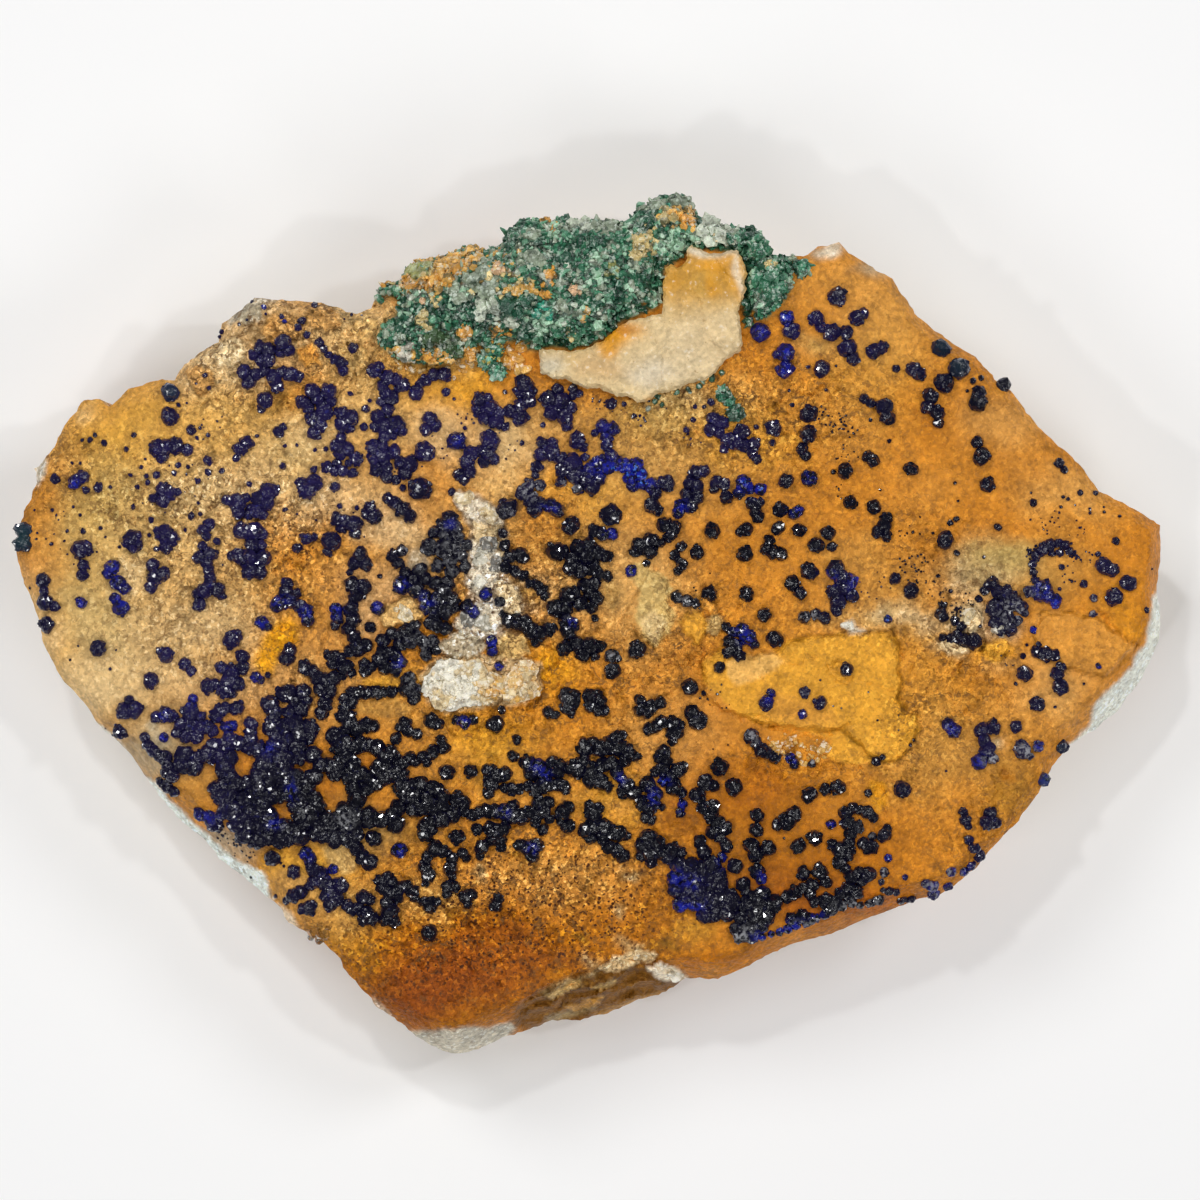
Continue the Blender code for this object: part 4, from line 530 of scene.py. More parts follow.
# Washes, laid one over the other: colour, x, y, half width, half height, strength.
WASHES = table("""
golden 150 430 120 60 .9, orange 40 480 45 70 .7, orange 30 590 26 60 .8, olive 105 520 60 90 .8,
straw 190 510 60 60 .6, straw 130 640 110 70 .8, olive 90 620 40 50 .6, golden 60 680 40 40 .8,
cream 132 575 16 14 .8, straw 110 690 60 40 .5, tan 50 425 40 36 .5, peach 110 395 34 22 .6,
peach 170 390 40 18 .6, cream 215 365 42 26 .8, peach 235 340 30 30 .7, golden 240 420 60 40 .8,
grey_tan 300 450 44 34 .7, cream 305 440 26 20 .5, peach 290 510 50 44 .7, apricot 300 570 44 34 .9,
orange 300 560 24 20 .6, tan 200 640 70 60 .5, peach 310 680 60 50 .7, apricot 300 610 34 30 .4,
peach 290 330 60 40 .9, cream 350 325 46 30 .8, ash 245 314 22 16 .7, cream 268 306 26 12 .6,
ash 330 318 22 10 .5, peach 370 350 40 26 .6, golden 440 390 70 40 .7, amber 480 385 44 26 .7,
orange 520 380 30 20 .9, orange 520 362 30 16 .9, apricot 420 440 60 44 .6, peach 500 450 50 50 .6,
golden 590 490 60 40 .6, apricot 520 520 60 40 .6, orange 545 545 40 36 .8, peach 560 600 40 44 .6,
peach 420 560 40 40 .6, tan 610 420 60 30 .5, olive 660 415 50 24 .7, grey_tan 680 400 30 14 .6,
tan 640 450 60 40 .6, tan 720 460 60 50 .5, golden 745 430 50 40 .5, apricot 790 400 60 30 .5,
orange 770 330 60 50 .6, apricot 830 280 60 40 .7, orange 845 315 26 18 .5, peach 880 330 50 60 .5,
peach 820 352 40 14 .5, olive 818 352 12 9 .5, ash 880 268 22 10 .7, chalk 828 248 12 7 .9,
tan 870 370 50 30 .5, orange 930 430 60 50 .6, brown 930 425 30 16 .5, apricot 930 490 60 40 .5,
orange 870 470 50 50 .5, tan 850 430 50 30 .4, orange 1010 450 70 60 .6, rust 930 424 12 6 .5,
orange 1000 520 60 26 .7, orange 1130 560 50 60 .7, apricot 1080 500 60 26 .6, orange 940 550 34 20 .6,
tan 880 580 60 40 .5, grey_tan 985 572 46 30 .9, olive 1010 555 34 16 .8, cream 960 592 20 14 .4,
olive 1060 580 50 30 .4, orange 1090 555 50 30 .5, orange 1110 600 50 24 .6, grey_tan 885 612 24 14 .7,
tan 950 640 50 30 .6, cream 970 620 18 14 .9, cream 952 648 20 9 .7, amber 998 652 18 16 .8,
ash 1002 628 18 16 .5, grey_tan 1000 670 20 12 .5, orange 970 690 60 34 .6, apricot 930 700 30 40 .5,
olive 930 760 60 60 .25, apricot 1030 720 50 40 .4, tan 980 760 60 60 .5, olive_brown 1012 790 30 26 .6,
orange 900 840 60 40 .6, orange 960 800 50 30 .4, rust 740 790 70 40 .7, brown 770 800 60 40 .4,
orange 700 730 50 50 .8, orange 660 690 50 40 .6, apricot 630 740 50 40 .5, golden 615 800 40 26 .8,
brown 760 870 70 40 .7, rust 800 900 60 30 .6, rust 850 860 50 40 .5, brown 690 830 40 30 .7,
orange 880 890 50 24 .6, brown 280 780 90 40 .6, tan 430 700 60 30 .6, apricot 400 710 50 26 .7,
golden 390 685 30 14 .8, amber 480 740 34 30 .6, golden 500 760 46 36 .6, amber 555 672 26 26 .8,
orange 580 700 40 30 .5, apricot 540 800 60 34 .5, tan 340 850 60 24 .7, golden 300 870 60 30 .9,
peach 290 885 30 14 .6, tan 380 830 70 26 .5, orange 470 880 70 40 .7, orange 560 890 80 50 .7,
apricot 570 860 60 26 .6, rust 480 950 110 60 .8, rust 380 960 70 50 .7, deep_rust 460 990 90 40 .7,
deep_rust 500 940 50 34 .4, deep_rust 420 1010 50 26 .6, golden 350 930 40 40 .5, rust 640 940 60 30 .5,
orange 700 950 60 24 .7, golden 690 930 20 12 .6, olive_brown 665 950 20 12 .8, brown 740 955 60 16 .5,
rust 870 905 80 20 .7, grey_tan 630 877 9 8 .9, grey_tan 625 912 9 8 .7, grey_tan 592 955 8 7 .7,
olive_brown 580 938 8 4 .9, grey_tan 632 943 10 8 .8, grey_tan 485 873 10 7 .8,
olive_brown 612 596 9 9 .8, olive_brown 493 760 8 9 .7, ash 165 732 16 10 .6, ash 880 610 10 7 .5,
brown 364 759 12 5 .6, brown 1005 775 8 6 .6, cream 1000 742 9 8 .7, orange 845 370 50 16 .3,
straw 290 462 50 34 .6, cream 200 520 50 70 .3, cream 340 498 70 24 .5, cream 392 530 34 20 .6,
cream 440 436 36 26 .5, cream 505 448 28 24 .6, straw 370 430 60 40 .5, cream 520 590 26 20 .5,
straw 530 430 50 30 .4, peach 60 440 30 40 .6, cream 85 412 16 10 .6, cream 215 620 50 30 .4,
cream 30 650 26 40 .5, straw 445 362 50 18 .5, straw 360 375 36 20 .5, straw 235 590 50 40 .4,
straw 160 460 60 50 .3, cream 380 590 50 26 .35, straw 470 545 60 60 .4, straw 650 470 60 40 .3,
straw 700 400 60 30 .3, straw 590 560 40 50 .35, straw 640 600 60 60 .3, golden 850 690 90 60 .4,
golden 880 350 60 70 .3, wheat 220 450 90 70 .35, wheat 150 545 90 60 .3, cream 290 345 50 26 .4,
wheat 360 405 45 26 .45, wheat 12 625 30 44 .6, cream 90 690 50 30 .3, cream 200 690 80 30 .3,
cream 360 620 30 20 .3, wheat 370 480 40 30 .3, wheat 505 480 30 30 .25, wheat 645 585 40 60 .3,
wheat 675 730 60 50 .2, straw 885 620 60 20 .45, wheat 1060 690 40 34 .4, straw 1010 420 50 36 .3,
straw 1060 490 50 26 .25, amber 1125 620 26 36 .3, brown 790 888 90 34 .5, rust 850 905 50 14 .7,
brown 810 835 60 26 .25, grey_tan 360 830 36 22 .4, straw 330 905 60 26 .4, golden 430 900 40 26 .35,
grey_tan 155 748 50 34 .8, tan 195 785 34 34 .6, ash 160 735 12 10 .6, ash 225 846 28 16 .8,
wheat 220 410 50 34 .5, wheat 360 405 44 30 .4, cream 230 485 60 30 .35, wheat 500 480 34 24 .4,
wheat 165 550 70 34 .45, cream 12 622 30 44 .5, cream 80 690 40 24 .4, cream 920 620 34 12 .5,
wheat 362 290 30 24 .7, wheat 430 900 34 22 .3, tan 570 550 34 26 .5, tan 360 552 34 24 .4,
tan 850 552 34 24 .35, tan 1060 550 34 24 .4, tan 430 760 34 24 .4, olive_brown 360 832 80 20 .35,
brown 885 830 50 24 .2, brown 675 900 50 26 .35, rust 785 902 40 20 .5, rust 850 902 40 16 .6,
ash 152 754 36 22 .35, cream 232 352 50 36 .5, peach 290 332 40 30 .5, wheat 350 335 44 28 .6,
cream 130 645 90 50 .3, golden 132 425 84 42 .55, wheat 540 880 90 34 .2, deep_rust 560 965 40 16 .5,
deep_rust 420 975 60 26 .4, rust 700 965 40 12 .4
""")
# Flakes with an edge: colour, strength, softness of the edge in squares, then the outline.
PANES = drawn("""
amber .95 5: 254 664 262 640 276 622 290 617 300 628 296 644 280 656 272 674 260 674,
cream .8 2: 421 676 436 658 462 654 492 656 520 656 542 664 540 690 524 704 490 706 470 710 446 712
428 702, ash .7 4: 408 552 424 548 430 564 420 580 406 570, chalk .6 3: 455 494 478 494 500 510 508 540
506 575 524 600 520 620 500 640 470 640 456 620 470 590 466 560 470 530, khaki .75 1.5: 626 566 640 562
652 570 664 574 674 588 666 600 674 614 670 632 656 646 644 638 634 616 640 592, cream .45 3: 640 616
656 612 668 622 656 642 642 632, chalk .9 2: 846 622 852 621 858 627 866 630 860 633 848 632,
honey .95 2: 702 662 723 648 752 657 778 652 790 640 840 634 890 632 899 650 899 700 903 713 918 716
919 730 905 752 892 763 866 762 845 764 828 756 830 738 800 731 780 726 755 722 738 714 722 700 704 680,
wheat .5 2: 726 662 740 656 754 656 772 650 780 658 784 664 770 670 752 682 734 684 726 674,
apricot .6 8: 760 692 820 700 840 724 800 728 764 716, amber .7 3: 870 780 888 782 888 806 876 814
868 800, apricot .8 3: 1036 612 1066 612 1094 616 1122 636 1137 647 1122 660 1108 674 1086 672 1062 668
1040 650 1030 632, apricot .7 5: 604 800 640 796 640 812 616 818, straw .7 3: 322 846 338 842 356 856
358 870 344 874 328 862, tan .8 2: 357 702 390 698 412 706 408 716 376 716 358 712, golden .8 2: 362 680
386 676 398 680 396 690 370 690, umber .85 5: 514 1008 545 988 580 976 604 966 640 964 672 972 690 984
660 1004 620 1020 576 1032 530 1040 512 1030, grey_tan .7 3: 538 994 560 982 596 972 596 976 566 988
546 1000, grey_tan .8 3: 545 1022 590 1008 600 1012 566 1026 548 1030, tan .7 3: 590 1020 650 1000
700 984 660 1012 610 1028, ice .9 3: 405 1035 430 1033 462 1028 486 1030 510 1026 514 1034 506 1048
485 1054 462 1064 440 1064 420 1052
""")
# Chipped ground at the rim, written in the same way.
BARE_RIMS = drawn("""
frost 1 2.5: 84 708 90 722 106 732 126 757 140 777 156 784 164 797 180 812 200 832 218 850 236 862
262 872 272 900 230 892 190 862 140 800 76 716, frost .9 2.5: 1166 585 1156 596 1152 622 1144 650
1122 680 1098 702 1092 728 1074 744 1070 752 1110 735 1170 650, ice .8 2.5: 30 456 44 460 46 474 36 486
30 476, chalk .7 2.5: 275 906 290 914 298 930 286 932 276 920, chalk .6 2.5: 372 998 388 1014 396 1030
376 1014, ice .6 2.5: 230 310 254 296 280 297 262 304 240 318 228 328
""")
# Speckled ground: x, y, half width, half height, strength.
SPECKLED = table("""
540 880 110 50 1, 440 950 120 60 1, 590 920 80 50 .9, 150 500 110 90 .35, 290 550 60 50 .6,
620 400 60 40 .5, 760 430 80 60 .5, 480 600 60 60 .6, 240 650 100 60 .4, 860 620 100 30 .4,
560 580 50 50 .5, 900 740 40 50 .4, 330 500 60 60 .4, 1060 520 60 40 .2
""")
print(len(COLOURS), "colours,", len(WASHES), "washes,", len(PANES), "flakes")

# %% Colour of the face and of the sides
def linear(colour):
    """A display colour from 0 to 255 as linear light."""
    share = np.array(colour, dtype=float) / 255.0
    return np.where(share <= 0.04045, share / 12.92, ((share + 0.055) / 1.055) ** 2.4)


def blended(colours, over, share):
    """Colours with others laid over them by a share for each point."""
    share = np.reshape(share, (-1, 1))
    return colours * (1.0 - share) + over * share


def less_sheen(colours):
    """Colours a little stronger and darker, which the shine brings back to what they should be."""
    return np.maximum(CONTRAST * colours - SHEEN, DARKEST)


def paint(piece, name, values):
    """Keep a number or a colour for each point of a piece."""
    values = np.asarray(values, dtype=np.float32)
    if name in piece.data.attributes:
        piece.data.attributes.remove(piece.data.attributes[name])
    if values.ndim == 1:
        layer = piece.data.attributes.new(name, "FLOAT", "POINT")
        layer.data.foreach_set("value", values)
    else:
        layer = piece.data.attributes.new(name, "FLOAT_COLOR", "POINT")
        rgba = np.column_stack((values, np.ones(len(values), dtype=np.float32)))
        layer.data.foreach_set("color", rgba.ravel())


def flake_shadow(places):
    """Painted shadow: a thin dark line just outside broken stretches of the flakes' edges."""
    ragged = flake_places(places)
    near = [np.exp(-((depth_inside(ragged, polygon) + 1.8) / 1.4) ** 2) for _, polygon in STEPS]
    return np.max(near, axis=0) * soft_step(wander(places, 28.0, 2.2), -0.15, 0.25)


def stain_at(places):
    """Colour of the quartz at each place of the face, as linear light; painted shade darkens grooves and the
    feet of lumps and flakes.
    """
    bent = places + push(places, 15.0, 34.0, 1.1, 8.8) + push(places, 5.0, 10.0, 4.1, 3.8)
    colour = linear(COLOURS["ochre"])
    for name, *spot, strength in WASHES:
        colour = blended(colour, linear(COLOURS[name]), strength * np.exp(-oval(bent, *spot) ** 1.3))
    crooked = places + push(places, 3.0, 11.0, 8.7, 2.9)
    for name, strength, soft, outline in PANES + BARE_RIMS:
        share = strength * soft_step(depth_inside(crooked, outline), -soft, soft)
        colour = blended(colour, linear(COLOURS[name]), share)
    ragged = knobbly(places)
    for name, _, outline in LUMPS:
        depth = depth_inside(ragged, outline)
        # Painted shade: a dark ring at the foot of each broken crystal.
        colour = blended(colour, 0.0, 0.45 * np.exp(-((depth + 1.5) / 1.3) ** 2))
        colour = blended(colour, LUMP_SHINE * linear(COLOURS[name]), 0.92 * soft_step(depth, -1.0, 1.0))
    # Painted shade: the grooves of sugary ground and the foot of the flakes' broken edges are darkened.
    painted_shade = 0.5 * sugar_at(places) * grooves(places) + 0.55 * flake_shadow(places)
    return less_sheen(blended(colour, 0.0, painted_shade))


def side_stain(points, places):
    """Colour of the broken sides and the underside: pale quartz with rusty seams."""
    aslant = points[:, 2:3] / SQUARE
    seams = soft_step(wander(places, 90.0, 12.0) + 0.6 * wander(places + aslant, 30.0, 14.0), -0.1, 0.55)
    veins = soft_step(np.abs(wander(places - aslant, 44.0, 15.0)), 0.10, 0.0)
    front = soft_step(places[:, 1], 820.0, 900.0) * soft_step(places[:, 0], 500.0, 560.0)
    front = front * soft_step(points[:, 2] / MM, 2.0, 9.0)
    colour = blended(linear(COLOURS["cream"]), linear(COLOURS["ochre"]), np.maximum(seams, front))
    colour = blended(colour, linear(COLOURS["rust"]), 0.7 * front)
    return blended(colour, linear(COLOURS["brown"]), 0.5 * veins)


def grid_places(points):
    """Places on the tracing grid of points in metres."""
    return np.column_stack((points[:, 0] / SQUARE + SHEET_CENTRE[0], SHEET_CENTRE[1] - points[:, 1] / SQUARE))


slab_places = grid_places(slab_points)
count = len(face_places)
stain = side_stain(slab_points, slab_places)
stain[:count] = stain_at(slab_places[:count])
print("painted", len(stain), "points of the slab")

# %% Lay the stains on the slab
side_share = np.ones(len(slab_places))
side_share[:count] = 0.0
paint(slab, "stain", stain)
paint(slab, "sugar", np.where(side_share > 0.5, 0.8, sugar_at(slab_places)))
paint(slab, "speckle", np.where(side_share > 0.5, 0.1, weighted(slab_places, SPECKLED)))
print("attributes:", [layer.name for layer in slab.data.attributes if not layer.name.startswith(".")])

# %% [markdown]
# ## A short way to write node trees
#
# A finish is easier to read as sums than as a picture of nodes.  `Wire` stands for one output socket, and
# adding or multiplying it adds a Math node.  `Board` holds a node tree, and its one method `add` makes any
# other node: its type, its settings, then the values or links of its inputs.  Colours go through Mix,
# because a Math node would turn them grey.

# %% Wires and boards
class Wire:
    """An output socket; sums written with it become Math nodes."""

    def __init__(self, board, socket):
        self.board = board
        self.socket = socket

    def math(self, operation, *operands):
        return self.board.add("ShaderNodeMath", {"operation": operation}, dict(enumerate(operands)))

    def __add__(self, other):
        return self.math("ADD", self, other)

    def __radd__(self, other):
        return self.math("ADD", other, self)

    def __sub__(self, other):
        return self.math("SUBTRACT", self, other)

    def __rsub__(self, other):
        return self.math("SUBTRACT", other, self)

    def __mul__(self, other):
        return self.math("MULTIPLY", self, other)

    def __rmul__(self, other):
        return self.math("MULTIPLY", other, self)


class Board:
    """A node tree and the one method that adds nodes to it."""

    def __init__(self, tree):
        self.tree = tree

    def add(self, kind, settings=None, values=None, output=0):
        """Add a node of a type, set it up, feed its inputs and give back one of its outputs."""
        node = self.tree.nodes.new(kind)
        for name, value in (settings or {}).items():
            setattr(node, name, value)
        for slot, value in (values or {}).items():
            self.feed(node.inputs[slot], value)
        return Wire(self, node.outputs[output]) if len(node.outputs) else node

    def feed(self, socket, value):
        if isinstance(value, Wire):
            self.tree.links.new(value.socket, socket)
        else:
            socket.default_value = value

    def mix(self, first, second, share, blend="MIX"):
        """Mix two colours by a share from 0 to 1."""
        colours = [value if isinstance(value, Wire) else (*value, 1.0) for value in (first, second)]
        settings = {"data_type": "RGBA", "blend_type": blend, "clamp_factor": True}
        return self.add("ShaderNodeMix", settings, {0: share, 6: colours[0], 7: colours[1]}, 2)

    def step(self, value, low, high):
        """A smooth rise of a value from 0 at low to 1 at high."""
        settings = {"interpolation_type": "SMOOTHSTEP", "clamp": True}
        return self.add("ShaderNodeMapRange", settings, {"Value": value, "From Min": low, "From Max": high})

    def attribute(self, name, output="Fac"):
        """Read a number or a colour kept on the mesh."""
        return self.add("ShaderNodeAttribute", {"attribute_name": name}, output=output)

    def place(self):
        return self.add("ShaderNodeTexCoord", output="Object")

    def grain(self, width, detail=2.0, place=None, output="Fac"):
        """Noise whose waves are about so many millimetres wide, from 0 to 1 around 0.5."""
        values = {"Vector": place or self.place(), "Scale": 1.0 / (width * MM), "Detail": detail}
        return self.add("ShaderNodeTexNoise", {"noise_dimensions": "3D"}, values, output)

    def cells(self, width, output="Distance", place=None):
        """Cells about so many millimetres wide."""
        values = {"Vector": place or self.place(), "Scale": 1.0 / (width * MM)}
        return self.add("ShaderNodeTexVoronoi", None, values, output)

    def bent(self, width, amount):
        """Places pushed about by noise, so that what is drawn on them turns crooked."""
        reach = (amount * MM,) * 3
        return self.add("ShaderNodeVectorMath", {"operation": "MULTIPLY_ADD"},
                        {0: self.grain(width, 2.0, output="Color"), 1: reach, 2: self.place()})


def finish(name, colour, roughness, relief, depth, fixed):
    """A material whose colour, roughness and relief vary over the surface; the rest is set by values."""
    material = bpy.data.materials.new(name)
    material.use_nodes = True
    material.node_tree.nodes.clear()
    board = Board(material.node_tree)
    values = {"Strength": 1.0, "Distance": depth * MM, "Height": relief(board)}
    bump = board.add("ShaderNodeBump", None, values, "Normal")
    values = {"Base Color": colour(board), "Roughness": roughness(board), "Normal": bump}
    values.update({slot: value(board) if callable(value) else value for slot, value in fixed.items()})
    surface = board.add("ShaderNodeBsdfPrincipled", None, values)
    board.add("ShaderNodeOutputMaterial", None, {"Surface": surface})
    return material


print("wires and boards are ready")

# %% [markdown]
# ## Iron-stained quartz
#
# Quartz is waxy and a little clear, so light scatters just below its face.  The stain comes from the mesh.
# The finish adds what is too small for the mesh: mottling, pale sugar grains with dark seams between them,
# rusty specks and painted glints, each where the mesh says that the ground is sugary or speckled.

# %% Finish of the slab
def quartz_colour(board):
    sugar, speckle = board.attribute("sugar"), board.attribute("speckle")
    crooked = board.bent(1.2, 1.6)
    shards = (0.30 + 0.32 * sugar) * (board.cells(1.0, "Color", place=crooked) - 0.5)
    chips = board.cells(0.40, "Color", place=board.bent(0.5, 0.5))
    crumbs = (0.42 + 0.50 * sugar + 0.40 * speckle) * (chips - 0.5)
    fine = (0.65 + 0.35 * sugar) * (board.grain(0.7, 3.0) - 0.5)
    mottle = 1.07 + 0.8 * (board.grain(3.0, 5.0) - 0.5) + fine + shards + crumbs
    colour = board.mix(board.attribute("stain", "Color"), mottle, 1.0, "MULTIPLY")
    strokes = board.step(board.grain(0.6, 3.0, crooked), 0.40, 0.355) * (0.20 + 0.45 * sugar)
    colour = board.mix(colour, (0.40, 0.26, 0.14), strokes, "MULTIPLY")
    # Painted glints: small spots of the colour are brightened towards white.
    painted_sparkle = board.step(board.grain(0.42, 3.0), 0.585, 0.63) * (0.25 + 0.45 * sugar)
    colour = board.mix(colour, (1.45, 1.55, 1.75), painted_sparkle, "MULTIPLY")
    # More painted glints, bluish white, on sugary and speckled ground.
    painted_glints = board.step(chips, 0.70, 0.73) * board.step(board.grain(1.1, 2.0), 0.46, 0.52)
    colour = board.mix(colour, (1.40, 1.75, 2.5), painted_glints * (0.10 + 0.20 * sugar + 0.55 * speckle), "MULTIPLY")
    ridge = board.grain(1.5, 2.0, crooked) - 0.5
    cracks = board.step(ridge.math("ABSOLUTE", ridge), 0.050, 0.020)
    cracks = cracks * board.step(board.grain(2.0), 0.50, 0.56)
    colour = board.mix(colour, (0.16, 0.075, 0.022), cracks * (0.20 + 0.60 * sugar))
    specks = board.step(board.cells(0.62), 0.36, 0.28) * board.step(board.grain(1.0), 0.50, 0.54)
    worms = board.step(board.grain(0.45, 1.0), 0.640, 0.665)
    colour = board.mix(colour, (0.075, 0.022, 0.006), 0.95 * specks * (0.12 + speckle))
    return board.mix(colour, (0.075, 0.022, 0.006), 0.9 * worms * speckle)


def quartz_roughness(board):
    return 0.34 + 0.22 * board.grain(0.9, 2.0) + 0.08 * board.attribute("sugar")


def quartz_relief(board):
    sugar = board.attribute("sugar")
    crooked = board.bent(1.2, 1.6)
    shards = (0.15 + 0.5 * sugar) * board.cells(0.95, place=crooked)
    return (0.3 + sugar) * board.grain(0.45, 2.0) + 0.6 * board.grain(1.6, 4.0) + shards


SCATTER = {"Subsurface Weight": 0.06, "Subsurface Radius": (1.0, 0.7, 0.4), "Subsurface Scale": 0.6 * MM}
quartz = finish("iron_stained_quartz", quartz_colour, quartz_roughness, quartz_relief, 0.42,
                {"IOR": 1.54, "Specular IOR Level": 0.14, **SCATTER})
slab.data.materials.append(quartz)
print("finish", quartz.name, "has", len(quartz.node_tree.nodes), "nodes")

# %% [markdown]
# ## Growing crystals on a surface
#
# Spherules, sugar grains and druse crystals are all the same job: a rough little solid, repeated, each copy
# with its own place, size and turn.  That is what Geometry Nodes do best.  The tree below makes a few
# uneven solids from ico spheres and cones, puts one on each point of a mesh, and then makes the copies
# real.  The points carry the choices, so the tree stays small.

# %% The growth tree
FORMS = 4                   # uneven solids of each kind: balls, buds and blocks
BLOCKS_CUT = (              # broken and pointed crystals of radius 1, as cones: sides, tip, foot, length
    {"Vertices": 4, "Radius Top": 0.85, "Radius Bottom": 1.0, "Depth": 1.3},
    {"Vertices": 6, "Radius Top": 0.15, "Radius Bottom": 0.85, "Depth": 1.9},
    {"Vertices": 5, "Radius Top": 0.50, "Radius Bottom": 0.95, "Depth": 1.6},
    {"Vertices": 4, "Radius Top": 0.25, "Radius Bottom": 0.80, "Depth": 1.8},
)


def growth_tree():
    """Uneven solids on the points of a mesh, with sizes, turns and forms read from the points."""
    tree = bpy.data.node_groups.new("crystal_growth", "GeometryNodeTree")
    for label, kind in (("Geometry", "NodeSocketGeometry"), ("Unevenness", "NodeSocketFloat"),
                        ("Lump size", "NodeSocketFloat"), ("Seed", "NodeSocketFloat"),
                        ("Smooth", "NodeSocketBool"), ("Finish", "NodeSocketMaterial")):
        tree.interface.new_socket(label, in_out="INPUT", socket_type=kind)
    tree.interface.new_socket("Geometry", in_out="OUTPUT", socket_type="NodeSocketGeometry")
    board = Board(tree)
    entry = tree.nodes.new("NodeGroupInput")
    given = {socket.name: Wire(board, socket) for socket in entry.outputs if socket.name}
    solids = tree.nodes.new("GeometryNodeGeometryToInstance")
    for index in reversed(range(3 * FORMS)):      # the last link of the socket becomes its first solid
        if index < 2 * FORMS:
            solid = board.add("GeometryNodeMeshIcoSphere", None,
                              {"Radius": 1.0, "Subdivisions": 2 - index // FORMS})
        else:
            solid = board.add("GeometryNodeMeshCone", None, BLOCKS_CUT[index - 2 * FORMS], "Mesh")
        place = board.add("GeometryNodeInputPosition")
        lump = board.add("ShaderNodeTexNoise", {"noise_dimensions": "4D"},
                         {"Vector": place, "W": given["Seed"] + 5.0 * index, "Scale": given["Lump size"],
                          "Detail": 1.0})
        swell = 1.0 + given["Unevenness"] * (lump - 0.5)
        moved = board.add("ShaderNodeVectorMath", {"operation": "SCALE"}, {0: place, "Scale": swell})
        uneven = board.add("GeometryNodeSetPosition", None, {"Geometry": solid, "Position": moved})
        board.feed(solids.inputs[0], uneven)
    kinds = {"size": "FLOAT_VECTOR", "turn": "FLOAT_VECTOR", "form": "INT"}
    read = {name: board.add("GeometryNodeInputNamedAttribute", {"data_type": kind}, {"Name": name})
            for name, kind in kinds.items()}
    copies = board.add("GeometryNodeInstanceOnPoints", None,
                       {"Points": given["Geometry"], "Instance": Wire(board, solids.outputs[0]),
                        "Pick Instance": True, "Instance Index": read["form"], "Rotation": read["turn"],
                        "Scale": read["size"]})
    real = board.add("GeometryNodeRealizeInstances", None, {"Geometry": copies})
    flat = board.add("GeometryNodeSetShadeSmooth", None, {"Geometry": real, "Shade Smooth": given["Smooth"]})
    done = board.add("GeometryNodeSetMaterial", None, {"Geometry": flat, "Material": given["Finish"]})
    board.add("NodeGroupOutput", None, {"Geometry": done})
    return tree


GROWTH = growth_tree()
print("growth tree has", len(GROWTH.nodes), "nodes")

# %% Grow solids on points
def grown(name, points, sizes, turns, forms, finish_used, settings, paints=None):
    """Grow solids on points (in metres) and give back the plain mesh piece."""
    carrier = placed(name, bpy.data.meshes.new(name))
    carrier.data.from_pydata([tuple(point) for point in points], [], [])
    for label, values in (("size", sizes), ("turn", turns)):
        layer = carrier.data.attributes.new(label, "FLOAT_VECTOR", "POINT")
        layer.data.foreach_set("vector", np.asarray(values, dtype=np.float32).ravel())
    layer = carrier.data.attributes.new("form", "INT", "POINT")
    layer.data.foreach_set("value", np.asarray(forms, dtype=np.int32))
    for label, values in (paints or {}).items():
        paint(carrier, label, values)
    growth = carrier.modifiers.new("growth", "NODES")
    growth.node_group = GROWTH
    sockets = {item.name: item.identifier for item in GROWTH.interface.items_tree if item.in_out == "INPUT"}
    for label, value in {**settings, "Finish": finish_used}.items():
        growth[sockets[label]] = value
    depsgraph = bpy.context.evaluated_depsgraph_get()
    mesh = bpy.data.meshes.new_from_object(carrier.evaluated_get(depsgraph), preserve_all_data_layers=True,
                                           depsgraph=depsgraph)
    carrier.modifiers.clear()
    carrier.data = mesh
    mesh.name = name
    for label in ("size", "turn", "form"):
        if label in mesh.attributes:
            mesh.attributes.remove(mesh.attributes[label])
    print(name, "has", len(points), "crystals and", len(mesh.polygons), "faces")
    return carrier


def mesh_points(piece):
    """The points of a piece's mesh as an array."""
    values = np.empty(3 * len(piece.data.vertices), dtype=np.float32)
    piece.data.vertices.foreach_get("co", values)
    return values.reshape(-1, 3).astype(float)


print(3 * FORMS, "forms to grow")

# %% [markdown]
# ## Azurite spherules
#
# Azurite grows here as balls about 2 mm across, each a ball of tiny dark blue blades.  They stand alone, in
# rows, or packed in carpets, so their places can't come from a rule: they are listed in squares of the
# tracing grid, as x, y and radius.  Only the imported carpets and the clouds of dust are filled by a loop.
# Each ball is one uneven solid with a few smaller buds on its shoulders.

# %% Places of the spherules
def listed(text):
    """X, y and radius of balls that are written as a radius and the places that have it."""
    return tuple((x, y, radius) for radius, places in drawn(text) for x, y in places)


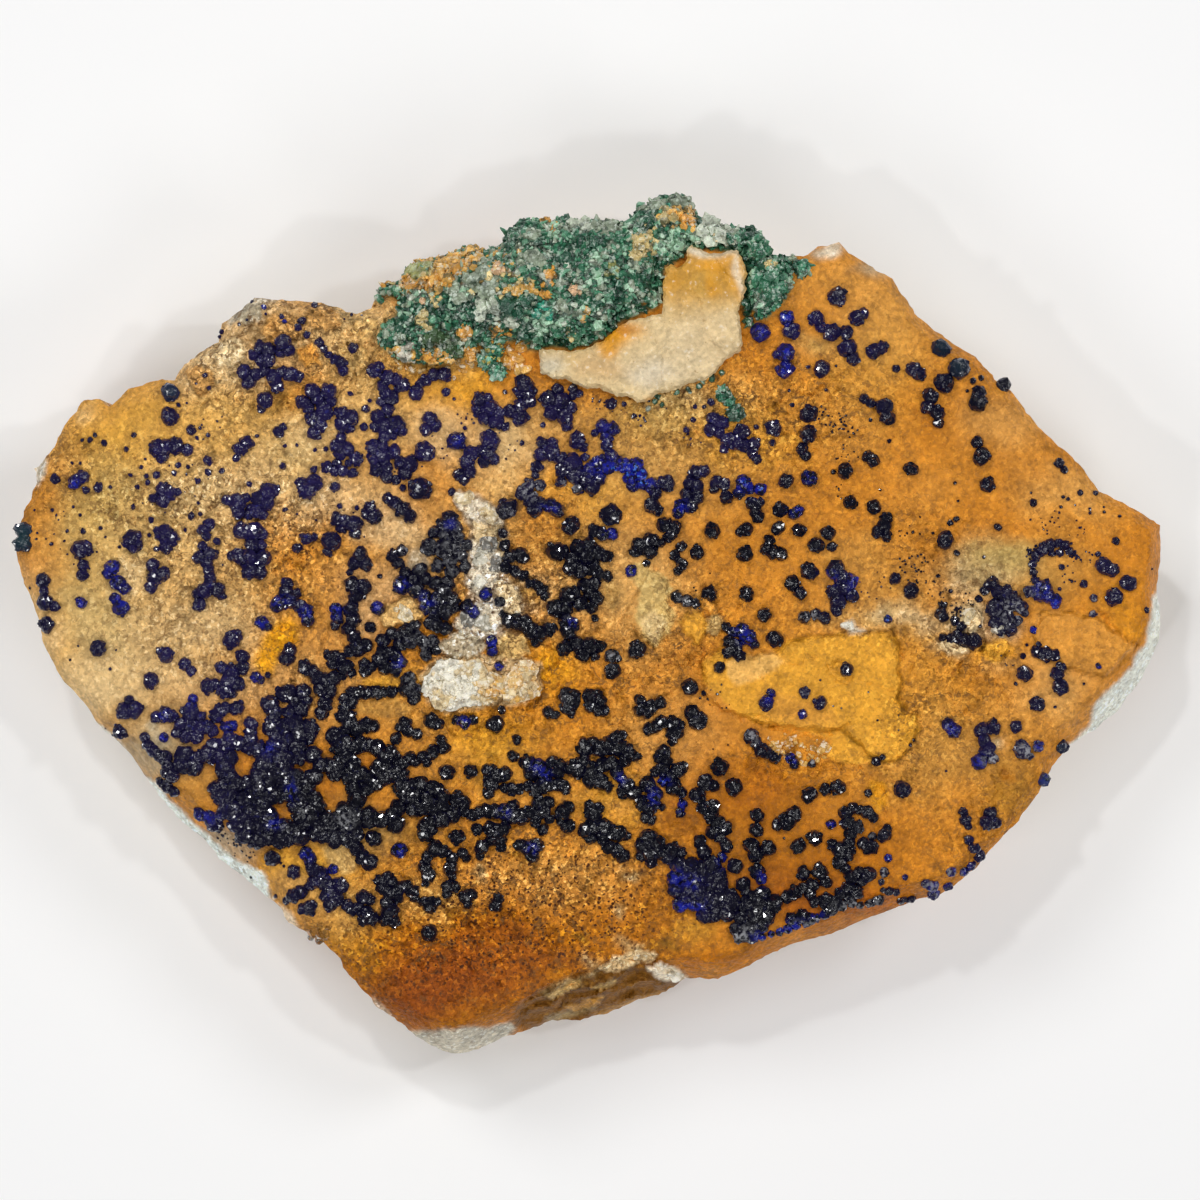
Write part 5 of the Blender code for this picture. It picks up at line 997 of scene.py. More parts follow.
# Azurite spherules and their lobes.
AZURITE = listed("""
12: 420 489, 11: 133 541 507 509, 10: 82 549 232 639 425 452 308 490 457 441 490 440 572 463 556 551 191 712
497 832 611 515 837 297 959 369 944 383, 9: 171 392 170 417 157 449 176 446 23 530 22 543 163 533 171 538 237
502 268 492 242 531 254 531 249 557 263 558 250 571 279 604 229 681 314 419 350 418 396 424 383 456 331 541
490 408 520 418 524 384 548 399 561 402 552 412 565 417 551 452 575 475 430 547 444 549 402 585 446 610 357
648 447 772 270 704 284 694 390 912 430 905 530 848 575 768 585 747 600 748 610 745 592 770 593 813 587 830
650 838 657 843 650 852 720 767 734 787 577 440 592 487 667 483 571 526 640 546 586 557 580 603 555 608 637
650 809 571 835 570 785 370 809 414 808 434 698 721 791 331 760 333 785 353 831 333 847 348 941 348 978 402
981 457 1104 566 1114 597 994 609 1043 588 1022 749 786 821, 8: 166 447 162 489 170 493 163 500 45 602 47 625
112 567 118 583 121 608 155 577 210 554 218 590 204 590 98 648 166 655 151 681 124 712 135 710 120 731 285 343
250 382 275 378 265 400 266 503 255 510 239 556 253 545 290 600 306 612 231 673 225 690 208 686 286 658 329
392 325 412 320 424 342 424 338 446 375 371 388 378 402 385 416 393 444 374 386 426 430 420 434 425 374 447
410 464 314 483 402 509 374 516 354 524 360 555 480 400 496 421 521 406 471 454 489 454 561 459 563 470 531
500 450 519 455 528 446 536 456 547 449 560 420 570 415 590 424 597 427 607 437 600 445 592 452 600 436 612
437 583 410 641 425 643 510 556 522 556 516 621 525 624 532 631 540 634 352 584 363 587 357 596 351 609 353
620 305 667 326 680 322 689 346 667 380 659 395 668 409 679 407 689 302 709 303 691 325 704 350 724 357 729
366 724 431 721 496 724 566 696 573 701 165 714 237 708 200 728 230 738 275 712 271 727 273 858 309 908 313
870 325 883 330 891 340 885 336 898 366 914 363 857 370 862 374 838 400 850 428 875 436 848 425 825 425 834
429 933 457 837 482 847 489 771 491 784 505 774 535 790 542 786 527 763 531 772 538 765 545 772 557 771 572
769 458 798 488 811 496 812 505 812 521 817 529 813 540 803 563 812 620 748 628 752 583 762 603 765 612 763
590 780 600 781 627 785 634 793 648 784 655 794 605 827 612 832 642 846 697 795 705 782 678 770 607 467 627
466 636 466 640 475 587 478 598 479 652 486 652 505 743 483 780 510 809 478 845 471 816 545 712 531 745 554
664 525 674 528 650 540 649 551 578 547 590 545 597 553 573 559 570 568 580 571 592 567 568 595 565 608 568
632 564 648 577 644 590 645 612 671 709 594 747 594 792 583 842 578 850 582 834 592 843 588 838 602 748 637
735 647 775 639 822 369 773 428 742 432 736 443 690 687 673 723 675 733 692 713 590 697 766 703 751 736 856
318 786 318 816 319 873 352 913 370 930 396 937 413 884 407 887 417 987 485 945 540 1128 583 911 591 992 584
1006 603 1015 603 1006 618 1048 596 974 641 1046 654 1025 673 1061 687 1037 704 993 727 979 762 902 789 987
822 848 823 840 850 868 874 826 900 835 903 820 872 795 892 809 795 838 787 798 846 751 845 756 854 768 848
757 871 735 866 794 814 705 808 710 816 672 850, 7: 75 482 82 477 43 580 166 547 152 565 163 574 151 586 199
557 206 562 209 585 199 605 185 664 262 348 270 351 290 351 262 362 270 361 245 372 257 375 266 371 278 386
292 375 247 442 240 449 342 363 245 372 238 512 258 498 260 573 300 606 308 620 285 592 262 622 243 656 243
668 222 668 238 684 290 650 313 391 318 398 303 402 315 433 342 413 347 449 386 394 393 398 388 410 378 417
385 436 427 429 382 447 374 459 394 451 376 469 386 467 401 463 405 473 356 459 303 484 395 503 410 516 371
508 337 519 345 521 355 563 366 564 393 556 478 410 498 413 484 418 510 411 529 400 530 391 570 407 467 462
470 472 541 455 522 493 529 486 534 510 550 505 557 510 443 525 458 537 461 556 438 566 452 572 425 578 448
582 437 625 408 630 400 634 400 644 418 637 383 640 467 607 486 594 508 620 548 630 337 617 348 629 354 637
366 645 378 608 334 657 313 671 318 678 334 678 331 691 366 671 389 653 396 656 385 668 415 690 360 693 368
693 377 692 352 702 322 713 345 708 342 716 361 742 369 745 405 723 464 722 567 707 390 751 337 747 410 757
432 752 471 771 171 716 216 716 221 710 181 725 190 724 197 737 208 727 187 736 153 751 251 724 251 731 251
739 273 720 290 691 296 701 290 712 173 775 167 786 294 872 301 892 293 896 306 853 310 859 321 874 315 881
330 905 363 897 372 919 385 920 393 921 383 888 390 894 398 889 412 891 352 843 357 849 394 826 424 867 444
851 450 868 448 887 465 897 495 906 490 828 505 828 500 840 537 845 533 856 497 776 512 789 550 785 558 785
552 763 578 772 464 803 472 815 480 812 513 806 513 816 536 816 544 811 548 802 568 826 617 772 563 785 623
792 649 809 595 827 620 833 603 839 609 847 617 850 623 856 660 853 664 752 662 769 673 788 603 426 612 429
607 437 611 456 597 463 590 470 618 464 630 478 655 494 696 472 689 483 697 487 686 495 697 498 691 506 716
482 726 497 746 529 778 528 799 530 786 481 850 502 828 533 773 552 697 553 594 531 602 534 670 536 606 556
599 574 584 585 594 584 590 592 596 598 566 621 573 625 583 655 612 656 764 615 800 593 852 595 742 630 713
419 721 423 711 430 727 440 745 446 641 709 652 706 662 722 590 706 598 709 820 703 846 669 761 750 768 753
846 333 853 359 881 348 919 374 927 407 979 392 1004 385 873 461 911 469 874 507 884 526 1112 570 998 592 1012
597 1022 607 996 622 1010 629 1031 591 1055 601 1040 595 942 615 957 637 965 641 1057 674 948 725 954 731 983
730 984 740 1063 747 1044 780 932 885 868 847 884 835 845 813 857 827 848 844 848 854 839 862 851 877 848 888
856 892 803 873 812 885 804 888 802 916 815 838 757 815 756 830 743 884 713 806 718 822 713 832 725 828 726
845 700 842 704 851 668 858, 6: 162 457 187 450 83 565 82 575 54 606 81 603 108 573 125 588 115 598 209 524
203 530 208 570 210 578 255 356 284 373 299 377 279 432 344 371 227 500 274 490 248 514 262 514 262 534 287
583 215 684 256 677 331 401 309 408 322 405 349 428 341 437 340 454 383 386 396 380 427 380 434 375 376 427
402 431 387 477 327 467 343 471 388 498 366 514 341 528 355 533 307 539 402 551 398 563 405 572 488 399 519
392 558 389 567 425 481 450 494 459 484 462 459 474 464 479 542 443 552 443 537 467 561 482 578 489 540 485
540 503 434 532 467 545 465 567 413 579 446 628 430 623 415 625 392 633 433 640 436 649 426 655 382 650 505
545 506 568 516 572 523 575 537 585 542 590 474 612 492 641 492 650 336 609 349 651 370 627 341 658 333 663
364 664 401 662 414 699 352 692 385 692 392 692 345 699 307 701 351 716 345 730 374 726 357 749 409 731 417
734 438 724 548 712 513 756 396 738 385 757 346 753 424 757 441 740 444 747 403 774 200 716 156 717 226 707
178 733 213 731 148 745 160 755 166 757 226 727 253 747 168 766 166 773 174 791 303 909 325 896 347 905 352
910 370 900 363 920 380 880 387 877 392 882 398 898 386 903 406 886 427 857 452 859 463 853 432 822 431 829
455 887 471 895 498 899 491 840 477 829 519 845 535 822 543 829 488 793 519 789 528 786 565 788 561 765 568
807 561 820 593 742 635 756 625 761 608 786 616 737 621 778 641 800 656 804 646 817 590 806 598 808 590 838
641 856 651 862 713 785 659 757 667 761 683 767 671 776 681 792 611 404 607 446 632 486 642 484 658 510 703
471 680 505 678 513 724 484 748 488 739 493 760 489 752 503 759 503 755 511 758 517 794 514 769 540 766 549
781 554 612 534 635 552 681 547 675 555 682 564 631 571 607 576 575 592 592 608 600 646 677 597 687 601 836
610 804 617 816 614 824 618 733 632 728 641 739 655 728 652 719 667 802 449 719 433 754 443 752 453 640 700
647 713 660 703 648 729 656 727 597 694 601 701 804 692 756 743 775 758 863 314 821 328 977 442 868 457 886
518 877 532 886 536 895 579 1006 591 1050 545 1043 550 1037 652 1054 655 1061 668 989 748 984 752 992 758 1016
727 1038 746 965 820 990 813 995 823 974 848 980 856 935 895 863 843 873 847 853 808 867 812 873 817 850 833
832 844 845 868 859 873 849 898 840 893 829 909 814 901 810 894 826 882 787 897 791 919 811 919 878 900 825
789 761 878 777 824 720 838 680 852, 5: 191 430 153 498 55 479 98 487 44 591 206 536 202 546 196 594 221 596
161 651 191 671 129 700 282 354 262 409 321 344 335 360 245 498 231 556 262 545 296 594 232 694 380 367 421
383 382 402 393 435 396 480 337 463 335 471 353 473 335 487 297 548 328 552 354 349 505 427 573 395 455 608
503 533 530 583 545 596 500 602 553 628 536 643 499 666 335 625 328 655 327 697 343 675 351 673 372 667 400
727 457 720 473 720 490 725 555 715 575 694 571 713 517 740 396 756 334 741 415 762 427 762 193 699 145 737
164 737 233 725 160 782 309 886 333 869 359 906 415 898 426 882 430 852 452 876 466 858 447 894 468 904 424
901 437 902 480 855 501 847 504 788 455 805 465 812 550 819 622 735 641 806 651 820 627 836 655 772 663 781
677 784 682 804 680 813 573 389 583 447 714 489 740 532 799 510 832 547 660 543 678 571 564 550 595 656 695
603 726 627 754 644 805 456 724 449 757 460 680 725 672 741 605 711 771 693 802 714 790 758 794 764 938 423
864 399 870 403 1059 463 985 590 1000 631 1018 621 1058 543 1065 545 1036 556 943 606 955 621 961 626 951 639
978 731 876 761 963 812 969 840 965 872 972 866 951 872 949 887 926 883 887 829 861 810 831 824 862 881 884
872 889 891 818 866 870 903 903 901 912 900 746 892 722 857, 4: 178 492 86 490 217 541 283 427 236 458 325 350
330 356 303 322 300 329 308 336 268 627 261 680 366 409 364 427 349 463 314 537 446 392 535 475 452 492 501
614 502 710 286 901 610 739 662 807 579 394 595 433 585 457 603 458 647 563 595 618 618 658 812 764 776 355
896 369 1033 503 998 527 1064 470 1116 541 1084 584 1094 598 1093 614 888 619 1025 613 979 599 1070 551 1060
553 1052 553 1033 564 1034 572 1036 580 943 638 1034 630 1030 756 868 793 968 826 888 858 872 836 896 892 809
836, 3: 156 549 231 665 268 675 704 693 950 523 956 519 1080 493 1096 493 1098 554 1062 567 1147 610 957 553
1039 644 1098 666 1023 656 882 757 905 877
""")
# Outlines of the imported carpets, then the bare windows in them: x, y, radius.
CARPETS = tuple(map(traced, """
    152 752 172 757 186 752 195 748 222 742 240 740 262 745 274 728 290 716 302 722 312 732 345 737 380 740
    388 752 402 757 400 770 414 778 428 776 444 792 456 810 446 820 428 815 412 812 402 826 385 828 368 826
    356 836 340 838 320 838 300 842 264 844 242 834 228 826 212 824 196 812 186 804 206 790 200 770 186 764
    176 770, 672 856 690 858 706 864 720 862 722 880 724 898 744 896 758 894 770 888 776 900 774 912 762 918
    763 932 750 938 737 938 733 922 706 918 700 910 682 914 676 900 674 880
    """.split(",")))
WINDOWS = table("""
190 780 10, 190 794 9, 208 773 8, 243 758 9, 242 768 6, 208 800 5, 281 808 8, 173 750 7, 266 740 6,
364 759 7, 330 785 9, 343 786 6, 368 804 8, 389 793 9, 330 752 6, 412 822 9, 302 767 5, 329 808 6,
387 829 7, 318 744 6
""")

# Loose grains of azurite, too small to be balls.
DOTS = listed("""
6: 796 925 806 922 815 918 824 914 833 910, 5.5: 842 906, 5: 208 461 752 940 762 937 788 929 852 903 860 905
870 903 879 899, 4.5: 156 475 780 932, 4: 208 472 191 516 283 466 315 306 314 469 403 488 303 536 350 572 686
430 711 402 772 443 771 934 884 874, 3.8: 151 520, 3.5: 104 443 178 465 222 471 198 481 340 506 973 381 981
378 883 890 881 882, 3.3: 137 487 249 484, 3: 90 440 134 435 126 449 146 476 147 482 174 473 133 507 83 531
206 376 209 388 367 310 286 323 305 321 351 394 326 449 357 508 380 576 543 425 522 443 624 404 634 416 693
420 695 407 756 427 792 405 833 472 696 546 258 297 265 308 222 332 283 318, 2.5: 95 435 141 467 188 467 208
435 200 514 149 535 100 528 257 436 285 446 179 405 465 428 370 401 315 450 505 392 704 407 808 367 870 420
889 441 938 576 951 591 275 897, 2.3: 130 475 197 438 185 530 51 544 1068 499 1016 684, 2.2: 990 624 913 740,
2: 82 440 72 463 80 463 200 428 198 503 67 531 73 507 80 515 52 510 119 547 110 487 297 445 284 510 454 399
286 509 789 391 826 390 967 391 955 483 1063 497 1120 516 984 557 1060 589 980 626 1027 645 910 745 240 845
252 302 248 321 240 325 220 337 352 315 708 699, 1.8: 913 532 933 533 1061 507 1090 509 1090 513 1104 512 1072
581 1055 707 110 669 222 837, 1.5: 145 459 37 533 36 539 56 515 34 510 105 537 64 541 217 421 297 514 187 403
197 384 29 588 316 520 506 459 836 366 958 501 880 490 1031 493 1084 684 946 771 70 660 110 736 249 879 281
863 284 866 267 315 345 320 362 316 700 698 717 694 784 838, 1.3: 907 533 1075 505 1104 507 1153 569 78 646,
1.2: 116 650 820 680 877 720, 1: 920 534 920 517 233 840 233 857 103 729 713 749 841 708 868 692 898 715 898
730 833 706 728 745
""")
# Clouds of azurite dust: number of grains, radius of the largest and spread, then x and y of the clouds.
DUST = drawn("""
14 2 5: 1030 552 1038 548 1048 544 1058 544 1068 547, 14 2 4: 1075 555, 14 2 5: 1042 552,
14 2 4: 1035 560, 14 2 3: 1033 570 1033 580 1036 586, 8 1.3 14: 1060 520, 8 1.3 10: 1080 530,
8 1.3 12: 1045 525, 8 1.3 8: 1085 560 1070 575, 11 1.4 10: 915 575, 11 1.4 8: 930 585,
11 1.4 9: 925 560, 11 1.4 6: 942 592, 11 1.4 7: 905 560, 9 1.5 8: 960 606, 9 1.5 5: 970 602 955 610,
11 1.5 10: 840 420, 11 1.5 8: 850 432 835 428 820 415, 6 1.2 8: 840 455, 6 1.2 6: 850 452,
6 1.2 7: 838 490, 6 1.2 6: 905 532, 9 1.5 10: 600 400, 9 1.5 8: 612 410, 9 1.5 9: 640 420,
9 1.5 8: 655 405 690 440 570 420, 8 1.3 26: 150 500, 8 1.3 22: 190 480, 8 1.3 20: 60 530 90 560,
8 1.3 22: 240 545, 8 1.3 18: 200 430, 7 1.2 20: 700 590, 7 1.2 12: 860 590 880 585,
7 1.2 10: 1010 660 720 700, 8 1.3 16: 400 470, 8 1.3 14: 440 460, 8 1.3 16: 510 430,
8 1.3 14: 470 420 360 520, 9 1.6 8: 222 838 236 846, 9 1.6 6: 250 858
""")
print(len(AZURITE), "listed balls,", len(DOTS), "loose grains")

# %% Fill the carpets and the dust
FILL_SPACING = 11.5         # distance between the balls of a carpet, squares
FILL_RADIUS = (7.5, 10.0)   # smallest and largest of them
WINDOW_SHARE = 0.75         # share of a window's radius that stays bare
WINDOW_EDGE = 5.5           # room for half a ball beside it, squares
DUST_SPREAD = 0.6           # how far dust strays, share of its cloud's spread
DUST_RADIUS = 0.6           # smallest grain of dust, squares


def carpet_fill(rng):
    """Balls that pack the carpets, with the bare windows left open."""
    return [(x, y, rng.uniform(*FILL_RADIUS)) for carpet in CARPETS
            for x, y in spread(carpet, FILL_SPACING, -1.0, 61)
            if all(math.hypot(x - middle_x, y - middle_y) >= WINDOW_SHARE * reach + WINDOW_EDGE
                   for middle_x, middle_y, reach in WINDOWS)]


def dust_fill(rng):
    """Grains of the dust clouds."""
    return [(*rng.normal(place, DUST_SPREAD * reach), rng.uniform(DUST_RADIUS, largest))
            for number, largest, reach, places in DUST for place in places for _ in range(int(number))]


rng = np.random.default_rng(71)
balls = np.array(list(AZURITE) + carpet_fill(rng))
grains = np.array(list(DOTS) + dust_fill(rng))
grains = grains[depth_inside(grains[:, :2], OUTLINE) > 2.0]
print(len(balls) - len(AZURITE), "balls filled in,", len(grains), "grains")

# %% [markdown]
# ## How the balls sit
#
# A ball is sunk by two fifths into the quartz, as it grew on it and the quartz was there first.  Its buds
# sit at the shoulder, where they break up the round outline.  All of it is arithmetic on arrays: a place, a
# height from the relief, a size in metres and a turn.

# %% Set out balls, buds and grains
BALL_LIFT = 0.20            # height of a ball's middle over the quartz, share of its radius
BALL_SQUASH = 0.92          # height of a ball, share of its width
BALL_GROWTH = 1.06          # the listed radii are those of the dark cores
BALL_STRETCH = (0.86, 1.12)   # narrowest and widest ball, share of its size
BUDS = 7                    # buds on a ball
BUD_SIZE = (0.26, 0.50)     # size of a bud, share of the ball's radius
BUD_LEVEL = (-0.05, 0.85)   # lowest and highest bud, from the ball's middle to its top
BUD_REACH = (0.74, 0.72)    # how far out and how far up the buds stand, share of the radius
GRAIN_GROWTH = 1.1          # size of a loose grain, share of its listed radius
TILT = 0.5                  # largest tilt of a solid, radians


def ground(places):
    """Height of the finished quartz face, mm."""
    places = np.asarray(places, dtype=float).reshape(-1, 2)
    return face_height(places) + fine_relief(places)


def set_out(rng):
    """Points, sizes, turns, forms and a chance value of every azurite solid."""
    millimetre = SQUARE / MM
    radius = balls[:, 2] * BALL_GROWTH
    level = ground(balls[:, :2])
    rows = [(balls[:, :2], level + BALL_LIFT * radius * millimetre, radius, rng.random(len(balls)))]
    for _ in range(BUDS):
        angle = rng.uniform(0.0, 2.0 * math.pi, len(balls))
        rise = rng.uniform(*BUD_LEVEL, len(balls))
        reach = BUD_REACH[0] * np.sqrt(1.0 - rise ** 2) * radius
        place = balls[:, :2] + np.column_stack((reach * np.cos(angle), reach * np.sin(angle)))
        height = level + (BALL_LIFT + BUD_REACH[1] * rise) * radius * millimetre
        rows.append((place, height, radius * rng.uniform(*BUD_SIZE, len(balls)), rng.random(len(balls))))
    size = grains[:, 2] * GRAIN_GROWTH
    rows.append((grains[:, :2], ground(grains[:, :2]) + 0.3 * size * millimetre, size,
                 rng.random(len(grains))))
    places, heights, sizes, chances = (np.concatenate(column) for column in zip(*rows))
    count = len(places)
    turns = np.column_stack((rng.uniform(-TILT, TILT, count), rng.uniform(-TILT, TILT, count),
                             rng.uniform(0.0, 2.0 * math.pi, count)))
    stretch = np.column_stack((rng.uniform(*BALL_STRETCH, count), rng.uniform(*BALL_STRETCH, count),
                               np.full(count, BALL_SQUASH)))
    forms = FORMS * (np.arange(count) >= len(balls)) + rng.integers(0, FORMS, count)
    return metres(places, heights), stretch * sizes[:, None] * SQUARE, turns, forms, chances


azurite_points, azurite_sizes, azurite_turns, azurite_forms, azurite_chances = set_out(rng)
print(len(azurite_points), "azurite solids")

# %% [markdown]
# ## Finish of the azurite
#
# Azurite in balls this thick is almost black, deep indigo where it is thinner, and royal blue on a few
# broken faces.  Those places are marked in the same way as the stains.  The blades are far too small to
# model, so a cellular bump turns each face of the mesh into several that catch the lamps as tiny glints.

# %% Where the azurite is bluer, grey or green
# Ground with bluer balls: x, y, half width, half height, strength.
INDIGO = table("""
130 520 170 150 .9, 290 380 130 90 .9, 420 400 110 60 .7, 560 440 150 60 .8, 780 330 60 60 1,
880 340 90 80 .5, 1080 580 110 110 .6, 1000 760 90 70 .7, 180 690 90 70 .8, 290 480 80 90 .6,
720 440 60 40 .8, 860 590 40 40 .6, 960 880 60 40 .8, 310 890 60 40 .5, 800 700 60 40 .7,
240 740 60 30 .4, 200 820 50 30 .6, 690 900 40 40 .4
""")
# The same for royal blue faces.
ROYAL = table("""
75 484 7 6 1, 81 603 7 7 1, 113 570 8 12 .9, 121 600 9 13 .9, 193 699 8 6 .9, 164 737 6 6 .9,
230 726 8 6 .9, 257 678 6 5 .8, 165 715 6 5 .8, 270 748 6 5 .9, 292 790 4 9 1, 275 822 6 5 .9,
205 818 14 6 .7, 306 855 7 6 .8, 333 869 7 6 .8, 278 574 6 6 .8, 280 602 10 7 .7, 306 614 7 8 .8,
262 622 7 6 1, 336 610 7 7 .9, 378 606 6 6 .9, 402 585 6 6 .9, 427 602 7 8 .8, 474 612 6 6 .8,
486 594 6 5 .8, 494 644 7 9 1, 500 666 8 5 .9, 464 722 5 5 1.2, 401 662 6 6 .9, 400 850 5 7 1,
457 441 7 9 .7, 450 524 5 4 .9, 550 508 8 5 .7, 573 622 6 4 .7, 605 430 10 12 .5, 598 466 12 10 .8,
618 470 12 10 1, 636 470 14 12 1.2, 644 482 10 8 1, 680 508 7 7 1, 743 484 9 8 1.2, 760 489 7 7 1.2,
798 510 8 7 .8, 612 534 7 5 1, 809 478 8 6 .6, 631 571 6 6 .9, 829 578 6 6 1.1, 858 578 9 11 1.1,
742 632 8 7 .8, 748 640 6 6 .7, 785 370 8 7 1, 786 318 9 8 1.1, 760 333 8 7 1, 785 353 8 6 1.1,
538 766 6 6 .8, 546 774 5 5 .8, 505 812 5 5 .8, 532 848 5 5 .9, 621 778 5 5 .7, 663 781 6 4 1.1,
654 797 6 8 .8, 682 806 6 6 .8, 722 860 4 7 1, 762 878 5 6 .9, 676 878 7 9 .9, 692 882 7 6 .9,
682 908 10 6 1, 697 906 8 5 .8, 762 937 9 5 1, 778 932 9 5 .9, 794 926 9 5 1.1, 818 916 9 4 .7,
831 824 6 4 1, 887 858 6 5 1.2, 905 877 8 5 .6, 888 619 4 4 1.3, 1043 590 8 7 1.1, 1055 603 8 6 1.2,
1034 630 6 6 1.3, 1098 666 4 3 .8, 951 729 7 7 .7, 979 762 8 7 .8, 1038 746 6 6 .7, 1044 780 7 7 .9,
365 712 5 4 1.1, 265 308 5 5 .8, 286 323 5 5 .8, 367 310 5 5 .8, 960 870 12 10 .6, 940 890 12 8 .6,
792 758 6 6 .9, 768 697 7 6 .7, 802 715 5 5 .7
""")
# The same for balls dusted with grey; a few of these grey spots are painted highlights.
ASHEN_AND_HIGHLIGHTS = table("""
532 490 10 8 .9, 569 487 6 5 1.2, 412 550 8 8 .7, 623 604 6 6 .6, 628 627 6 7 .9, 612 657 7 6 .7,
804 692 5 4 .9, 751 736 6 5 1, 812 764 8 8 .8, 1031 591 6 5 1, 1094 598 3 3 1.5, 1093 614 7 6 .8,
992 758 8 8 .9, 1026 751 9 9 .9, 951 872 9 7 .6, 932 887 9 6 .6, 740 935 11 8 .8, 455 554 20 30 .15,
440 560 20 20 .15, 425 640 12 16 .25, 806 925 22 4 .5, 862 905 20 5 .8, 883 872 5 8 .9,
1008 612 12 12 .45, 510 520 7 7 .6, 490 608 10 12 .5, 545 700 20 10 .3, 345 820 8 8 .6, 687 600 8 6 .5,
808 615 10 5 .7, 1018 610 8 9 .7, 868 830 10 8 .4, 415 672 9 14 .7
""")
# The same for greenish balls.
GREENISH = table("""
22 537 12 16 1, 171 392 10 10 .6, 70 420 20 20 .6, 941 347 10 10 .5, 958 366 10 10 .5, 1045 782 9 9 .5,
1058 748 9 9 .4, 885 619 6 6 .4
""")
print(len(ROYAL), "royal blue faces")

# %% Finish of azurite
def azurite_colour(board):
    chance = board.attribute("chance")
    depth = board.attribute("indigo") * (0.55 + 0.6 * chance) + 0.12 * (board.grain(1.2) - 0.5)
    colour = board.mix((0.0030, 0.0030, 0.0070), (0.0150, 0.0100, 0.0600), depth)
    # Painted rim glow: the steep sides of the balls, read from the normal, are painted a brighter blue.
    upward = board.add("ShaderNodeSeparateXYZ", None,
                       {"Vector": board.add("ShaderNodeNewGeometry", output="Normal")}, "Z")
    painted_rim_glow = board.step(upward, 0.80, 0.25) * (0.35 + 0.65 * depth) * board.grain(1.1)
    colour = board.mix(colour, (0.0170, 0.0130, 0.1000), painted_rim_glow)
    flecks = board.step(board.grain(0.55, 2.0), 0.60, 0.72)
    colour = board.mix(colour, (0.022, 0.026, 0.190), 0.5 * flecks * (0.15 + 0.85 * depth))
    royal = board.attribute("royal") * board.step(board.grain(0.6, 3.0), 0.40, 0.58)
    colour = board.mix(colour, (0.010, 0.016, 0.320), royal)
    colour = board.mix(colour, (0.05, 0.16, 0.62), board.step(board.attribute("royal"), 0.85, 1.0)
                       * board.step(board.grain(0.45), 0.56, 0.66))
    colour = board.mix(colour, (0.016, 0.040, 0.050), board.attribute("greenish"))
    # Grey dusting, with a few painted grey-white highlights among it.
    ashen_and_highlight = board.attribute("ashen_and_highlight") * board.step(board.grain(0.5, 3.0), 0.46, 0.62)
    return board.mix(colour, (0.42, 0.42, 0.44), 0.85 * ashen_and_highlight)


def azurite_roughness(board):
    return 0.08 + 0.20 * board.grain(0.5, 2.0) + 0.2 * board.attribute("ashen_and_highlight")


def azurite_glints(board):
    return board.step(board.cells(0.34, "Color"), 0.72, 0.76)


def azurite_relief(board):
    return 0.9 * board.cells(0.42) + 0.4 * board.grain(0.22, 2.0)


azurite = finish("azurite", azurite_colour, azurite_roughness, azurite_relief, 0.07,
                 {"IOR": 1.73, "Specular IOR Level": 0.16, "Coat IOR": 2.0, "Coat Roughness": 0.10,
                  "Coat Weight": azurite_glints})
print("finish", azurite.name)

# %% [markdown]
# ## Two pieces of azurite
#
# Fourteen hundred balls with their buds make too many faces for one good mesh, so the azurite is grown as
# two pieces, left and right of a line through the bare ground in the middle.  Each stands for the CAD
# clusters on its own side.

# %% Grow the azurite
DIVIDE = 500.0              # the line between the two pieces, squares
azurite_nodes = [name for name in NODES if name.startswith("azurite_")]


def node_middle(name):
    """Middle of a CAD node across the grid, in squares."""
    low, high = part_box(name)
    return 0.5 * (low[0] + high[0]) / SQUARE + SHEET_CENTRE[0]


def azurite_piece(name, chosen, seed):
    """Grow the chosen solids and mark their colours."""
    piece = grown(name, azurite_points[chosen], azurite_sizes[chosen], azurite_turns[chosen],
                  azurite_forms[chosen], azurite,
                  {"Unevenness": 0.85, "Lump size": 1.7, "Seed": seed, "Smooth": False},
                  {"chance": azurite_chances[chosen]})
    places = grid_places(mesh_points(piece))
    for label, spots in (("indigo", INDIGO), ("royal", ROYAL), ("ashen_and_highlight", ASHEN_AND_HIGHLIGHTS), ("greenish", GREENISH)):
        paint(piece, label, weighted(places, spots))
    return piece


left = grid_places(azurite_points)[:, 0] < DIVIDE
azurite_left = azurite_piece("azurite_left", left, 3.0)
azurite_right = azurite_piece("azurite_right", ~left, 4.0)
left_nodes = [name for name in azurite_nodes if node_middle(name) < DIVIDE]
right_nodes = [name for name in azurite_nodes if name not in left_nodes]
print(len(left_nodes), "CAD clusters on the left,", len(right_nodes), "on the right")

# %% [markdown]
# ## The druse
#
# Along the back edge the quartz carries a druse: a crust of sugar-sized crystals, most of them green
# malachite with clear and yellow quartz grains between them.  It is a low mound.  A plain mound fills it,
# and angular grains grow all over that, each with its own tint.  The CAD solid has the same outline.

